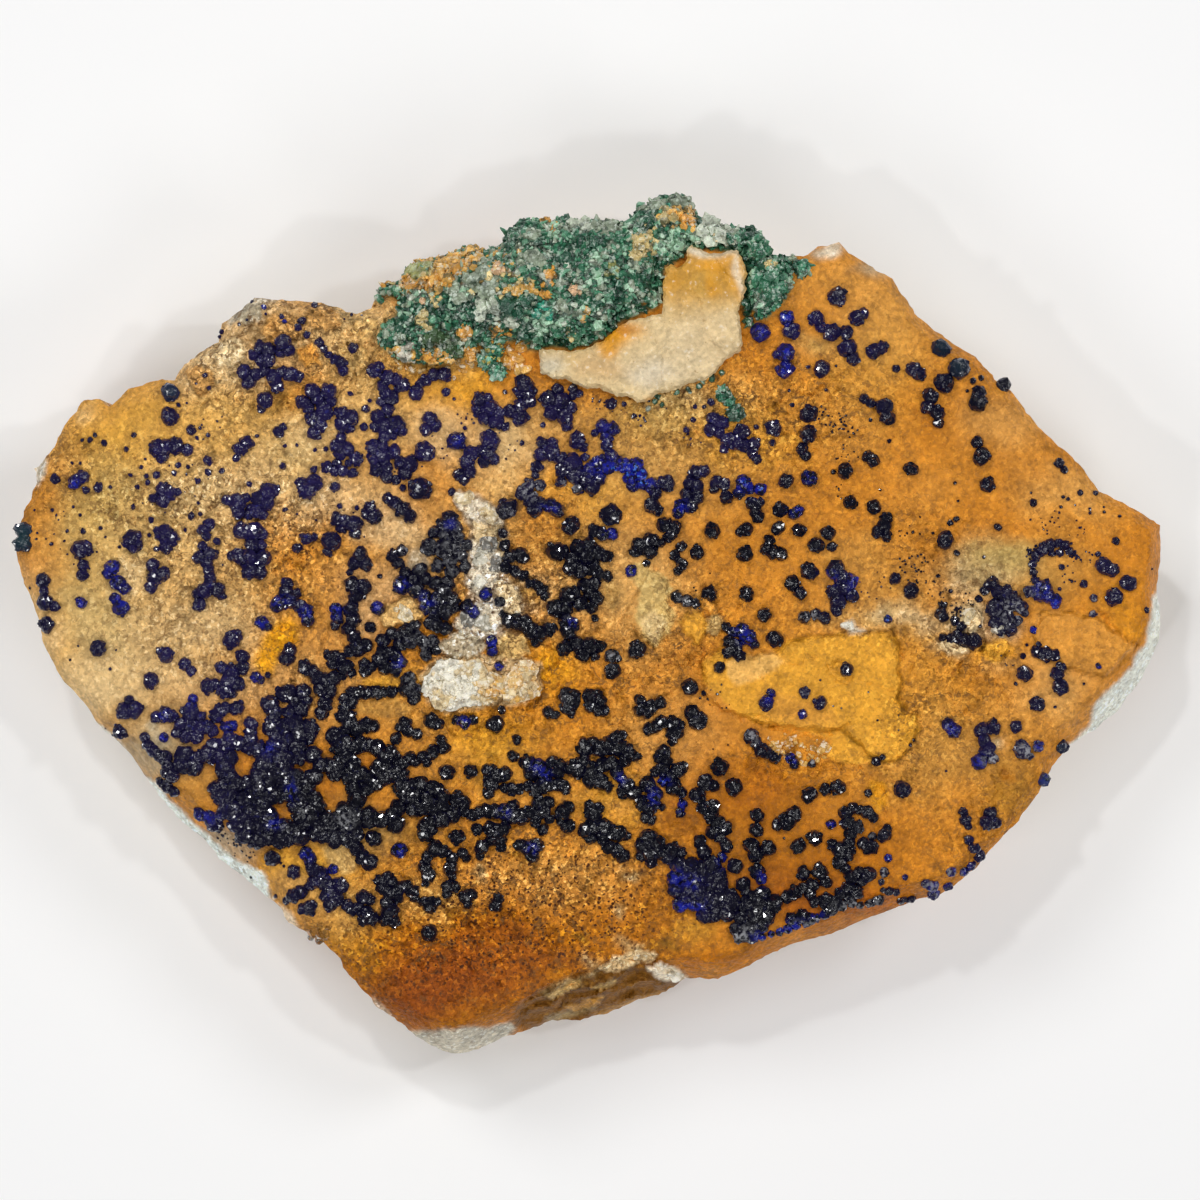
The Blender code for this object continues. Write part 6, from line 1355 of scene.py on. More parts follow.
# %% Outlines of the druse and of the plate before it
DRUSE = traced("""
379 342 384 327 398 316 400 299 384 294 388 285 401 284 409 273 419 262 441 260 458 252 469 247 487 254
503 245 512 231 520 224 536 219 547 225 562 218 576 223 596 221 626 225 642 211 656 199 676 195 687 200
695 218 722 227 739 229 756 233 763 242 770 256 786 260 791 268 792 288 781 303 766 318 756 321 751 300
752 263 741 247 722 241 704 239 687 241 667 256 655 259 652 299 633 307 614 315 601 329 586 336 570 339
552 337 536 340 520 340 502 343 476 345 460 358 446 362 424 364 404 362 394 357 386 350
""")
PLATE = traced("""
538 349 552 348 569 351 588 347 601 341 614 330 628 321 645 317 660 314 661 303 662 285 664 270 671 264
677 269 685 261 686 250 691 244 696 248 703 251 709 254 720 252 731 250 739 251 743 258 746 268 748 275
745 283 747 292 743 304 738 313 742 328 743 344 742 353 734 356 725 363 716 374 704 383 689 385 676 392
658 396 647 403 637 404 627 398 617 399 599 390 583 390 569 382 549 379 539 374
""")
print(len(DRUSE), "corners on the druse,", len(PLATE), "on the plate")

# %% Grains of the druse
TINTS = {                   # colours as they are seen, 0 to 255
    "deep_green": (28, 78, 56), "green": (52, 112, 82), "sea_green": (90, 140, 110), "mint": (152, 188, 158),
    "milky": (192, 200, 180), "smoke": (142, 154, 132), "teal": (52, 150, 122), "moss": (62, 88, 54),
    "honey": (214, 166, 84), "straw": (204, 182, 122), "ochre": (208, 150, 64), "peach": (220, 180, 138),
    "olive": (150, 152, 92), "chalk": (232, 226, 208), "ash": (188, 182, 164), "cream": (224, 202, 158),
    "wheat": (226, 188, 124), "glass": (116, 112, 104),
}
# Zones of the druse: tint, x, y, half width, half height, strength.
CRUST_ZONES = table("""
honey 440 266 56 24 .9, ochre 425 286 34 8 .8, straw 405 272 24 14 .6, smoke 590 226 34 10 .8,
deep_green 515 312 50 18 .5, mint 546 320 24 10 .7, deep_green 440 320 50 20 .5, mint 672 246 24 14 .7,
smoke 668 202 34 12 .8, straw 644 246 14 14 .7, honey 680 218 18 12 .8, milky 714 230 22 14 .9,
straw 500 286 34 12 .6, smoke 480 290 30 20 .6, milky 494 310 20 12 .6, mint 597 276 26 12 .5,
smoke 536 260 24 16 .5, honey 425 358 60 9 .6, moss 440 340 24 14 .6, deep_green 560 262 20 12 .5,
ochre 500 336 14 8 .6
""")
# Larger crystals: tint, x, y, half width, half height.
CHUNKS = table("""
olive 418 271 14 10, ochre 416 286 13 5, honey 442 280 10 17, ochre 462 269 9 10, honey 471 257 13 9,
honey 448 261 9 8, smoke 484 285 14 12, straw 488 280 8 6, milky 488 310 12 11, smoke 463 296 11 7,
peach 425 303 5 3, straw 437 302 7 5, deep_green 406 326 9 9, straw 425 321 8 11, moss 436 338 11 10,
ochre 467 338 9 9, ochre 432 354 10 8, ash 409 355 9 10, honey 447 360 7 5, ochre 471 354 8 6,
moss 455 354 7 7, smoke 399 341 7 5, green 511 240 5 11, deep_green 516 234 7 6, ochre 546 221 7 4,
ochre 555 230 4 7, smoke 527 238 8 6, milky 580 226 13 9, smoke 604 228 13 11, deep_green 599 242 7 11,
smoke 535 261 12 10, deep_green 563 261 8 8, milky 566 272 5 5, mint 601 277 7 7, olive 611 274 6 10,
peach 500 271 7 6, straw 492 287 12 6, honey 512 293 10 6, honey 528 292 9 5, ochre 546 290 6 13,
ochre 552 276 6 7, smoke 562 288 5 6, peach 576 292 9 5, deep_green 517 308 15 11, milky 512 322 9 6,
teal 543 315 9 9, smoke 563 309 7 7, deep_green 598 306 8 6, honey 584 317 5 7, straw 571 334 4 7,
deep_green 525 334 10 8, green 559 335 6 7, smoke 653 205 13 8, smoke 682 203 11 7, teal 666 204 4 4,
straw 668 219 9 9, honey 690 213 5 5, ochre 684 226 9 8, deep_green 650 216 8 6, milky 712 231 15 12,
cream 716 238 7 4, straw 643 243 7 7, straw 638 256 11 8, smoke 633 270 9 6, mint 668 246 14 10,
green 759 246 9 15, green 767 288 14 12, straw 768 268 8 4, deep_green 744 307 4 6
""")
CRUST_STEP = 3.7            # distance between the grains of the druse, squares
CRUST_SIZE = (1.9, 4.6)     # their size, squares
CRUST_MOUND = (0.9, 2.1, 20.0)   # height of the edge, rise of the middle in mm, width of the slope
BORDER = 9.0                # how far green grains spill over the druse's outline, squares


def raised(name, polygon, step, ragged, top_height, sunk, seed):
    """A closed piece over an outline: a relief on top and a sunk underside that follows the quartz."""
    rim = chipped(polygon, 0.9 * step, ragged, seed)
    inner = spread(rim, step, 0.45 * step, int(seed * 100))
    places, triangles, loop = triangulated(rim, inner)
    points = np.vstack((metres(places, top_height(places, rim)), metres(places, face_height(places) - sunk)))
    under = len(places)
    faces = [tuple(face) for face in triangles]
    faces += [tuple(under + index for index in reversed(face)) for face in triangles]
    faces += [(end, start, under + start, under + end) for start, end in zip(loop, loop[1:] + loop[:1])]
    return mesh_object(name, points, faces)


def mound_rise(places, rim):
    """Rise of the druse over the quartz, mm."""
    edge, rise, slope = CRUST_MOUND
    depth = line_distance(places, rim, closed=True)
    return edge + rise * (1.0 - np.exp(-depth / slope)) + 0.45 * wander(places, 26.0, 3.9)


def crust_tints(places, rng):
    """A tint for each grain: greens in patches, changed by the zones."""
    names = ("deep_green", "green", "sea_green", "smoke", "mint", "milky")
    greens = np.array([linear(TINTS[name]) for name in names])
    patch = wander(places, 16.0, 7.1) + 0.5 * wander(places, 7.0, 2.1) + rng.normal(0, 0.26, len(places))
    tints = greens[np.searchsorted([-0.30, 0.06, 0.30, 0.48, 0.74], patch)]
    for name, *spot, strength in CRUST_ZONES:
        changed = rng.random(len(places)) < strength * np.exp(-oval(places, *spot) ** 1.5)
        tints[changed] = linear(TINTS[name])
    return tints * rng.uniform(0.8, 1.25, len(places))[:, None]


def border_places():
    """Places for the grains that fill the gaps to the plate and to the broken rim."""
    corners = ((370, 186), (810, 186), (810, 372), (370, 372))
    places = spread(corners, CRUST_STEP, 1.0, 87)
    druse, plate, rim = (depth_inside(places, outline) for outline in (DRUSE, PLATE, OUTLINE))
    near = (plate > -BORDER) | (rim < BORDER)
    return places[(druse < 0.0) & (druse > -BORDER) & (plate < -1.0) & (rim > 1.5) & near]


def chunk_grains(chunks, rng, coarse=1.0):
    """Several flat angular grains for each larger crystal: places, sizes and tints."""
    places, sizes, tints = [], [], []
    for name, x, y, half_x, half_y in chunks:
        grain = coarse * (1.2 + 0.42 * min(half_x, half_y))
        count = 4 + int(1.9 * half_x * half_y / grain ** 2)
        reach, angle = np.sqrt(rng.uniform(0.0, 0.8, count)), rng.uniform(0.0, 2.0 * math.pi, count)
        across, down = half_x * reach * np.cos(angle), half_y * reach * np.sin(angle)
        places.append(np.column_stack((x + across, y + down)))
        sizes.append(grain * rng.uniform(0.8, 1.5, count))
        tints.append(linear(TINTS[name]) * rng.uniform(0.82, 1.18, count)[:, None])
    return np.vstack(places), np.concatenate(sizes), np.vstack(tints)


rng = np.random.default_rng(83)
crust_rim = chipped(DRUSE, 5.0, 1.5, 2.0)
crust_places = np.vstack((spread(crust_rim, CRUST_STEP, 1.5, 85), chipped(DRUSE, 5.5, 2.0, 3.0)))
border = border_places()
chunk_places, chunk_sizes, chunk_tints = chunk_grains(CHUNKS, rng)
print(len(crust_places), "grains,", len(border), "on the border,", len(chunk_places), "in larger crystals")

# %% [markdown]
# ## Finish of the druse
#
# Each grain is a clear crystal coloured by what is in it.  Its colour carries pale painted glints on some
# facets and painted shade in the gaps between them.  The tint comes from the grain's point.  Cells in the
# bump give it small facets.

# %% Finish of the druse
def crust_colour(board):
    facets = board.cells(0.75, "Color", place=board.bent(0.8, 1.0))
    chips = board.cells(0.34, "Color", place=board.bent(0.4, 0.5))
    mottle = 0.12 + 0.66 * facets + 0.70 * chips + 0.44 * board.grain(0.5, 3.0)
    colour = board.mix(board.attribute("tint", "Color"), mottle, 1.0, "MULTIPLY")
    # Painted glints: pale chips stand for facets that catch the lamps.
    painted_glints = board.step(chips, 0.68, 0.76) * board.step(board.grain(1.4, 2.0), 0.36, 0.56)
    colour = board.mix(colour, (0.66, 0.74, 0.64), 0.55 * painted_glints)
    # Painted shade: the gaps between the facets are darkened.
    painted_shade = board.step(facets, 0.28, 0.18)
    return board.mix(colour, (0.012, 0.040, 0.026), 0.55 * painted_shade)


def crust_roughness(board):
    return 0.20 + 0.26 * board.grain(0.6, 2.0)


def crust_relief(board):
    return 0.7 * board.cells(0.42) + 0.4 * board.grain(0.3, 2.0)


malachite = finish("malachite_and_quartz_sugar", crust_colour, crust_roughness, crust_relief, 0.12,
                   {"IOR": 1.6, "Subsurface Weight": 0.10, "Subsurface Radius": (0.6, 1.0, 0.7),
                    "Subsurface Scale": 0.5 * MM})
print("finish", malachite.name)

# %% [markdown]
# ## Growing the druse
#
# The crust is thick, but only its outer grains are seen, so a plain mound carries its height and the grains
# stand in the mound's surface.  Larger crystals are made of several flat grains that lie together.  All of
# it is joined, because the real crust is one body.

# %% Grow the druse
def joined(name, first, second):
    """Join two meshes of one body into one piece."""
    with bpy.context.temp_override(active_object=first, selected_editable_objects=[first, second]):
        bpy.ops.object.join()
    first.name = first.data.name = name
    return first


def grown_crust(name, places, heights, sizes, tints, seed, rng, finish_used=None, flat=1.0):
    """Angular grains at places on the grid; sizes in squares; flat ones lie with a slight tilt."""
    count = len(places)
    stretch = rng.uniform(0.70, 1.30, (count, 3)) * np.asarray(sizes)[:, None] * SQUARE
    turns = rng.uniform(0.0, 2.0 * math.pi, (count, 3))
    if flat < 1.0:
        stretch[:, 2] *= flat
        turns[:, :2] = rng.normal(0.0, 0.35, (count, 2))
    forms = FORMS + rng.integers(0, 2 * FORMS, count)
    return grown(name, metres(places, heights), stretch, turns, forms, finish_used or malachite,
                 {"Unevenness": 1.1, "Lump size": 1.3, "Seed": seed, "Smooth": False}, {"tint": tints})


def druse_top(places, rim):
    return face_height(places) + mound_rise(places, rim)


mound = raised("druse_mound", DRUSE, 5.0, 1.5, druse_top, 0.5, 2.0)
# Painted shade: the mound shows only in the gaps between the grains, so its tints are halved.
paint(mound, "tint", crust_tints(grid_places(mesh_points(mound)), rng) * 0.5)
mound.data.materials.append(malachite)
heights = druse_top(crust_places, crust_rim) + rng.uniform(-0.30, 0.35, len(crust_places))
border_heights = face_height(border) + rng.uniform(-0.1, 0.6, len(border))
grain_places = np.vstack((crust_places, border))
sizes = CRUST_SIZE[0] + (CRUST_SIZE[1] - CRUST_SIZE[0]) * rng.random(len(grain_places)) ** 1.6
druse = grown_crust("druse_grains", grain_places, np.concatenate((heights, border_heights)), sizes,
                    crust_tints(grain_places, rng), 12.0, rng)
chunk_heights = druse_top(chunk_places, crust_rim) + rng.uniform(0.0, 0.30, len(chunk_places))
chunks = grown_crust("druse_chunks", chunk_places, chunk_heights, chunk_sizes, chunk_tints, 15.0, rng, None,
                     0.55)
druse = joined("malachite_druse_crust", joined("druse", mound, druse), chunks)
print("druse top", round(mesh_points(druse)[:, 2].max() / MM, 2), "mm, box of the frame", cad_box[1][2] / MM)

# %% [markdown]
# ## Green under the druse
#
# Malachite has also soaked into the quartz below the crust, and it runs down the back of the slab in ragged
# tongues.  It has no thickness there, so it is one more wash over the stains that the slab carries.

# %% Green under the druse
GREEN_ENDS = (12.5, 17.0)   # heights between which the green of the sides fades out, mm
GREEN_RISE = (30.0, 0.12)   # how near the druse's ends, in squares, it ends higher, and how steeply


def green_under_druse():
    """Stain the quartz green below the druse and at its plate side, and in ragged runs on the sides."""
    depth = depth_inside(slab_places, DRUSE)
    near = (depth_inside(slab_places, PLATE) > -BORDER - 3.0) | (depth_inside(slab_places, OUTLINE) < BORDER)
    under = soft_step(depth, -2.0, 1.0)
    share = np.maximum(under, near * soft_step(depth, -BORDER - 4.0, -BORDER + 2.0))
    level = slab_points[:, 2] / MM
    aslant = slab_places + np.column_stack((np.zeros(len(level)), level / (SQUARE / MM)))
    west, east = np.min(DRUSE, axis=0)[0], np.max(DRUSE, axis=0)[0]
    from_end = np.minimum(slab_places[:, 0] - west, east - slab_places[:, 0])
    runs = 2.6 * wander(slab_places, 16.0, 4.4) + 2.4 * wander(aslant, 9.0, 7.1)
    ragged = soft_step(level + runs + GREEN_RISE[1] * np.minimum(from_end - GREEN_RISE[0], 0.0), *GREEN_ENDS)
    blotches = 0.78 + 0.35 * wander(aslant, 5.0, 3.3)
    share = share * np.where(side_share > 0.5, ragged * blotches, 1.0)
    green = linear(TINTS["green"]) * (0.8 + 0.4 * wander(aslant, 9.0, 6.1))[:, None]
    return blended(stain, green, share)


paint(slab, "stain", green_under_druse())
print("the quartz is green below the druse")

# %% [markdown]
# ## Green balls beside the druse
#
# A few balls of malachite stand on the slab by themselves.  They are made of the same grains, set on a low
# dome, so they read as one mineral with the druse.

# %% Malachite balls
GREEN_BALLS = {             # CAD node, then x, y and radius of the domes in it
    "malachite_spill": ((496, 341, 10), (493, 352, 10), (486, 360, 10), (497, 372, 9)),
    "malachite_ball_east": ((802, 268, 9),),
    "malachite_ball_middle": ((723, 394, 8), (729, 401, 6)),
    "malachite_ball_south": ((736, 413, 9),),
}
# Loose scraps of malachite: x, y, size.
GREEN_SCRAPS = table("""
783 263 2.5, 677 393 3, 688 389 3, 699 386 3.5, 712 379 4, 722 373 3.5, 648 409 3, 655 402 4, 662 405 3,
660 398 4, 750 319 4, 746 314 4, 745 322 3, 690 392 2.5, 705 382 3.5
""")
DOME_GRAINS = 90            # grains on a dome
DOME_REACH = (0.78, 0.85)   # how far out and how far up they stand, share of its radius
DOME_SIZE = (0.20, 0.38)    # their size, share of its radius


def dome(x, y, radius, rng):
    """Grains over a half ball: places, heights in mm and sizes in squares."""
    rise = rng.uniform(0.0, 1.0, DOME_GRAINS)
    angle = rng.uniform(0.0, 2.0 * math.pi, DOME_GRAINS)
    reach = DOME_REACH[0] * radius * np.sqrt(1.0 - rise ** 2)
    places = np.column_stack((x + reach * np.cos(angle), y + reach * np.sin(angle)))
    heights = ground([(x, y)])[0] + DOME_REACH[1] * rise * radius * SQUARE / MM
    return places, heights, rng.uniform(*DOME_SIZE, DOME_GRAINS) * radius


green_pieces = {}
for index, (node, domes) in enumerate(GREEN_BALLS.items()):
    parts = [dome(x, y, radius, rng) for x, y, radius in domes]
    places, heights, sizes = (np.concatenate(column) for column in zip(*parts))
    shade = 0.45 if node == "malachite_ball_south" else 0.95
    tints = crust_tints(places, rng) * shade
    tints[:, 0] *= 0.7
    green_pieces[node] = grown_crust(node + "_grains", places, heights, sizes, tints, 20.0 + index, rng)
scraps = np.array(GREEN_SCRAPS)
scrap_tints = crust_tints(scraps[:, :2], rng) * 0.5
scrap_piece = grown_crust("malachite_scraps", scraps[:, :2], ground(scraps[:, :2]) + 0.1, scraps[:, 2],
                          scrap_tints, 26.0, rng)

# %% [markdown]
# ## The pale plate
#
# In front of the druse lies a plate of pale quartz, broken all round, cream with an ochre stain at its top.
# It is a slab less than 2 mm thick, so it is made like the face: triangles inside an outline, here closed
# below with a copy that follows the quartz under it.

# %% The plate and its stains
PLATE_THICKNESS = 1.7       # mm
# Colour, x, y, half width, half height, strength.
PLATE_STAINS = table("""
cream 640 360 120 60 .5, golden 704 277 52 33 1, olive 690 284 30 20 .5, amber 715 264 26 9 .6,
amber 712 288 5 12 .6, straw 690 310 40 14 .4, golden 676 282 18 20 .8, golden 732 278 12 24 .6,
amber 738 298 6 10 .6, amber 614 335 24 15 1, orange 628 330 10 8 .7, amber 612 350 11 10 .8,
straw 560 355 30 10 .6, chalk 697 250 12 5 .9, chalk 722 253 20 3 .8, ice 552 364 14 12 .6,
straw 724 304 26 10 .4, chalk 650 375 26 14 .7, chalk 700 350 40 26 .3, chalk 739 276 4 26 .7,
cream 706 338 40 24 .4, peach 600 370 26 14 .4, peach 649 399 5 4 .8, cream 720 345 22 22 .5
""")


def plate_top(places, rim):
    """The plate's upper face: nearly flat, chipped along its edge."""
    depth = line_distance(places, rim, closed=True)
    crooked = depth + 1.6 * wander(places, 7.0, 1.9) + 1.2 * wander(places, 3.4, 2.9)
    front = soft_step(places[:, 1] - 0.35 * (740.0 - places[:, 0]), 318.0, 385.0)
    edge = 0.55 * (1.0 - soft_step(crooked, -1.0, 2.6)) + 0.85 * front
    relief = 0.16 * wander(places, 30.0, 2.8) + 0.12 * wander(places, 8.0, 4.8)
    relief = relief + 0.07 * wander(places, 3.6, 6.8)
    terrace = 0.22 * soft_step(wander(places, 46.0, 9.4), 0.00, 0.05)
    return face_height(places) + PLATE_THICKNESS - 0.15 - edge + relief + terrace


plate = raised("pale_quartz_plate", PLATE, 2.6, 3.0, plate_top, 0.35, 3.1)
plate_places = grid_places(mesh_points(plate))
bent = plate_places + push(plate_places, 8.0, 22.0, 1.4, 8.4)
plate_stain = linear((218, 194, 148))
for name, *spot, strength in PLATE_STAINS:
    plate_stain = blended(plate_stain, linear(COLOURS[name]), strength * np.exp(-oval(bent, *spot) ** 1.4))
paint(plate, "stain", less_sheen(plate_stain))
print("plate has", len(plate.data.polygons), "faces")

# %% [markdown]
# ## Finish of pale quartz
#
# The plate is the same quartz with little iron in it: fine pale grain, a few brown pricks, and a waxy shine.

# %% Finish of the plate
def plate_colour(board):
    crooked = board.bent(1.2, 1.6)
    mottle = 1.0 + 0.5 * (board.grain(1.9, 3.0) - 0.5) + 0.55 * (board.grain(0.6, 3.0) - 0.5) \
        + 0.20 * (board.cells(1.0, "Color", place=crooked) - 0.5) + 0.26 * (board.cells(0.4, "Color") - 0.5)
    colour = board.mix(board.attribute("stain", "Color"), mottle, 1.0, "MULTIPLY")
    colour = board.mix(colour, (0.90, 0.84, 0.72), 0.45 * board.step(board.grain(0.6, 3.0), 0.60, 0.74))
    return board.mix(colour, (0.34, 0.20, 0.07), 0.5 * board.step(board.grain(0.45, 1.0), 0.27, 0.22))


def plate_roughness(board):
    return 0.36 + 0.20 * board.grain(0.8, 2.0)


def plate_relief(board):
    return 0.8 * board.grain(1.2, 3.0) + 0.35 * board.grain(0.35, 2.0)


pale_quartz = finish("pale_quartz", plate_colour, plate_roughness, plate_relief, 0.20,
                     {"IOR": 1.54, "Specular IOR Level": 0.2, **SCATTER})
plate.data.materials.append(pale_quartz)
print("finish", pale_quartz.name)

# %% [markdown]
# ## The pale patch
#
# Near the middle a patch of white sugar quartz stands a little proud of the face.  It is a low cushion
# with grains on it, made in the same way as the druse.

# %% Outline of the patch
PATCH = traced("""
424 676 436 662 450 657 466 660 480 657 490 670 506 675 518 662 532 658 540 668 536 680 543 690 534 700
514 705 500 698 486 706 466 708 450 713 434 708 428 698 420 690
""")
PATCH_THICKNESS = 1.1       # mm
PATCH_STEP = 5.6            # distance between its grains, squares
PATCH_MIDDLE = 481.0        # where its white half meets its golden half, squares
PATCH_SHINE = 1.08          # how much brighter the patch is than its tints
print(len(PATCH), "corners on the patch")

# %% Finish and growth of the patch
def patch_top(places, rim):
    depth = line_distance(places, rim, closed=True)
    return face_height(places) + PATCH_THICKNESS * (0.45 + 0.45 * soft_step(depth, 0.0, 8.0)) \
        + 0.16 * wander(places, 9.0, 5.2)


def sugar_tints(places, names, rng):
    """Pale tints in patches, each grain a little different."""
    palette = np.array([linear(TINTS[name]) for name in names])
    drift = wander(places, 24.0, 8.2) * 1.6 + rng.normal(0, 0.5, len(places))
    chosen = np.clip(((drift + 1.2) / 2.4 * len(names)).astype(int), 0, len(names) - 1)
    return palette[chosen] * rng.uniform(0.85, 1.1, len(places))[:, None]


def sugar_colour(board):
    facets = board.cells(0.80, "Color", place=board.bent(0.8, 1.0))
    chips = board.cells(0.36, "Color", place=board.bent(0.4, 0.5))
    mottle = 0.48 + 0.42 * facets + 0.36 * chips + 0.30 * board.grain(0.5, 3.0)
    colour = board.mix(board.attribute("tint", "Color"), mottle, 1.0, "MULTIPLY")
    # Painted glints: some chips are brightened almost to white.
    colour = board.mix(colour, (0.96, 0.90, 0.78), 0.5 * board.step(chips, 0.66, 0.72))
    return board.mix(colour, (0.20, 0.11, 0.04), 0.45 * board.step(board.grain(0.7, 2.0), 0.38, 0.345))


def patch_tints(places):
    """White to grey in the left half of the patch, cream to golden in the right half."""
    white = sugar_tints(places, ("chalk", "chalk", "chalk", "cream"), rng)
    golden = sugar_tints(places, ("cream", "wheat", "cream", "honey"), rng)
    crossing = places[:, 0] + 8.0 * wander(places, 14.0, 3.7)
    return PATCH_SHINE * np.where((crossing < PATCH_MIDDLE)[:, None], white, golden)


sugar_quartz = finish("sugar_quartz", sugar_colour, crust_roughness, crust_relief, 0.12,
                      {"IOR": 1.54, **SCATTER})
rng = np.random.default_rng(97)
cushion = raised("patch_cushion", PATCH, 3.6, 2.4, patch_top, 0.3, 4.2)
paint(cushion, "tint", patch_tints(grid_places(mesh_points(cushion))))
cushion.data.materials.append(sugar_quartz)
patch_rim = chipped(PATCH, 3.4, 2.4, 4.2)
patch_places = spread(patch_rim, PATCH_STEP, 1.0, 99)
patch_heights = patch_top(patch_places, patch_rim) + rng.uniform(-0.25, 0.15, len(patch_places))
patch = grown_crust("patch_grains", patch_places, patch_heights, rng.uniform(3.0, 6.2, len(patch_places)),
                    patch_tints(patch_places), 31.0, rng, sugar_quartz, 0.7)
patch = joined("sugar_quartz_patch", cushion, patch)
print("patch has", len(patch.data.polygons), "faces")

# %% [markdown]
# ## Scattered sugar
#
# The same grains, in cream and honey, stand where the face is most sugary, and a few larger broken crystals
# lie beside the chips.  They grow on the same tree, so they need only places, sizes and tints.

# %% Sugar scattered over the face
SUGAR_STEP = 6.5            # distance between the grains of a field, squares
# Fields of grains: three tints, size in squares, then the outline.
SUGAR_FIELDS = drawn("""
honey wheat ochre 3.6: 394 352 420 366 452 366 474 348 486 352 476 376 440 374 400 374 388 362,
ochre honey honey 2.8: 770 732 800 740 826 742 826 760 806 766 784 760 766 744
""")
# Larger broken crystals: tint, x, y, half width, half height.
SUGAR_CHUNKS = table("""
chalk 850 626 6 3, chalk 674 976 8 4, cream 640 957 8 3, ochre 790 744 9 5, honey 776 752 7 5,
honey 820 748 8 4, ochre 516 352 6 8, ochre 508 366 6 6, honey 522 368 6 5, cream 466 498 8 4,
cream 488 514 7 6, glass 488 545 8 6, ash 482 556 6 8, glass 494 566 4 6, chalk 482 581 7 5,
glass 466 620 6 5, ash 486 622 7 6, cream 402 612 8 5, cream 970 616 6 6, ash 1000 630 6 5
""")


def scattered_sugar():
    """Grains of every field and chunk: places, heights, sizes and tints."""
    places, sizes, tints = chunk_grains(SUGAR_CHUNKS, rng, 1.5)
    rows = [(places, ground(places) - 0.15 * sizes * SQUARE / MM, sizes, tints)]
    for index, (*names, size, outline) in enumerate(SUGAR_FIELDS):
        places = spread(outline, SUGAR_STEP, 0.5, 110 + index)
        places = places + rng.normal(0, 0.35 * SUGAR_STEP, places.shape)
        sizes = size * rng.uniform(0.6, 1.25, len(places))
        heights = ground(places) + rng.uniform(-0.35, 0.15, len(places)) * sizes * SQUARE / MM
        rows.append((places, heights, sizes, sugar_tints(places, names, rng)))
    return [np.concatenate(column) for column in zip(*rows)]


sugar_places, sugar_heights, sugar_sizes, sugar_paint = scattered_sugar()
sugar_piece = grown_crust("sugar_grains", sugar_places, sugar_heights, sugar_sizes, sugar_paint, 37.0, rng,
                          sugar_quartz, 0.6)

# %% [markdown]
# ## Clear quartz
#
# One clear crystal group stands on the front edge.  Light passes through it, so it has transmission and
# the refraction of quartz instead of a painted colour.  Its faces are flat, so they are built as pointed
# six-sided prisms.

# %% Clear crystals
# X, y, radius, height in squares, lean in degrees, direction of the lean.
CLEAR_PRISMS = table("""
315 931 6.5 13 30 200, 322 934 5.5 12 36 330, 318 938 5 10 46 280, 312 936 4 9 50 230,
326 929 3.5 9 40 20, 320 927 4 11 20 90
""")
SUNK = 0.4                  # how deep they stand in the quartz, mm
SHOULDER = 0.62             # where their points start, share of the height
SHORT_CORNER = 0.86         # every second corner stands nearer to the axis
TIP_SHIFT = 0.15            # how far the tip stands off the axis, share of the radius


def prism(x, y, radius, height, lean, direction):
    """Points of a six-sided prism with a point, sunk a little into the quartz: foot, shoulder and tip."""
    base = Vector(metres([(x, y)], ground([(x, y)]) - SUNK)[0])
    tilt, turn = math.radians(lean), math.radians(direction)
    up = Vector((math.sin(tilt) * math.cos(turn), math.sin(tilt) * math.sin(turn), math.cos(tilt)))
    side = up.orthogonal().normalized()
    other = up.cross(side)
    points = []
    for level in (0.0, SHOULDER):
        for corner in range(6):
            angle = math.radians(60 * corner)
            reach = radius * SQUARE * (SHORT_CORNER if corner % 2 else 1.0)
            points.append(base + up * (level * height * SQUARE)
                          + (side * math.cos(angle) + other * math.sin(angle)) * reach)
    return points + [base + up * height * SQUARE + side * TIP_SHIFT * radius * SQUARE]


clear_points, clear_faces = [], []
for row in CLEAR_PRISMS:
    foot = len(clear_points)
    shoulder, tip = foot + 6, foot + 12
    clear_points += prism(*row)
    clear_faces.append(tuple(range(foot, shoulder)))
    for corner in range(6):
        after = (corner + 1) % 6
        clear_faces += [(foot + corner, foot + after, shoulder + after, shoulder + corner),
                        (shoulder + corner, shoulder + after, tip)]
clear_piece = mesh_object("clear_quartz_points", clear_points, clear_faces)


def clear_colour(board):
    return board.mix((0.93, 0.95, 0.94), (0.80, 0.80, 0.76), board.grain(0.8, 2.0))


def clear_roughness(board):
    return 0.03 + 0.14 * board.grain(0.7, 2.0)


def clear_relief(board):
    return board.grain(0.6, 2.0)


clear_quartz = finish("clear_quartz", clear_colour, clear_roughness, clear_relief, 0.03,
                      {"IOR": 1.54, "Transmission Weight": 1.0})
clear_piece.data.materials.append(clear_quartz)
print("clear quartz has", len(clear_piece.data.polygons), "faces")

# %% [markdown]
# ## Put each piece on the body
#
# Every fine piece rides on the one body, and the CAD nodes that it covers are hidden.  The CAD nodes stay
# where they are for the physics.

# %% Ride and hide
STANDS_FOR = (
    (slab, "iron_stained_quartz", ["host_rock"]),
    (azurite_left, "azurite", left_nodes),
    (azurite_right, "azurite", right_nodes),
    (druse, "malachite", ["malachite_druse"]),
    (plate, "pale_quartz", ["pale_plate"]),
    (patch, "pale_quartz", ["quartz_patch"]),
    (clear_piece, "clear_quartz", ["clear_quartz"]),
    (sugar_piece, "pale_quartz", []),
    (scrap_piece, "malachite", []),
    *((piece, "malachite", [node]) for node, piece in green_pieces.items()),
)
INSET = 0.00002             # room left to the CAD box, m


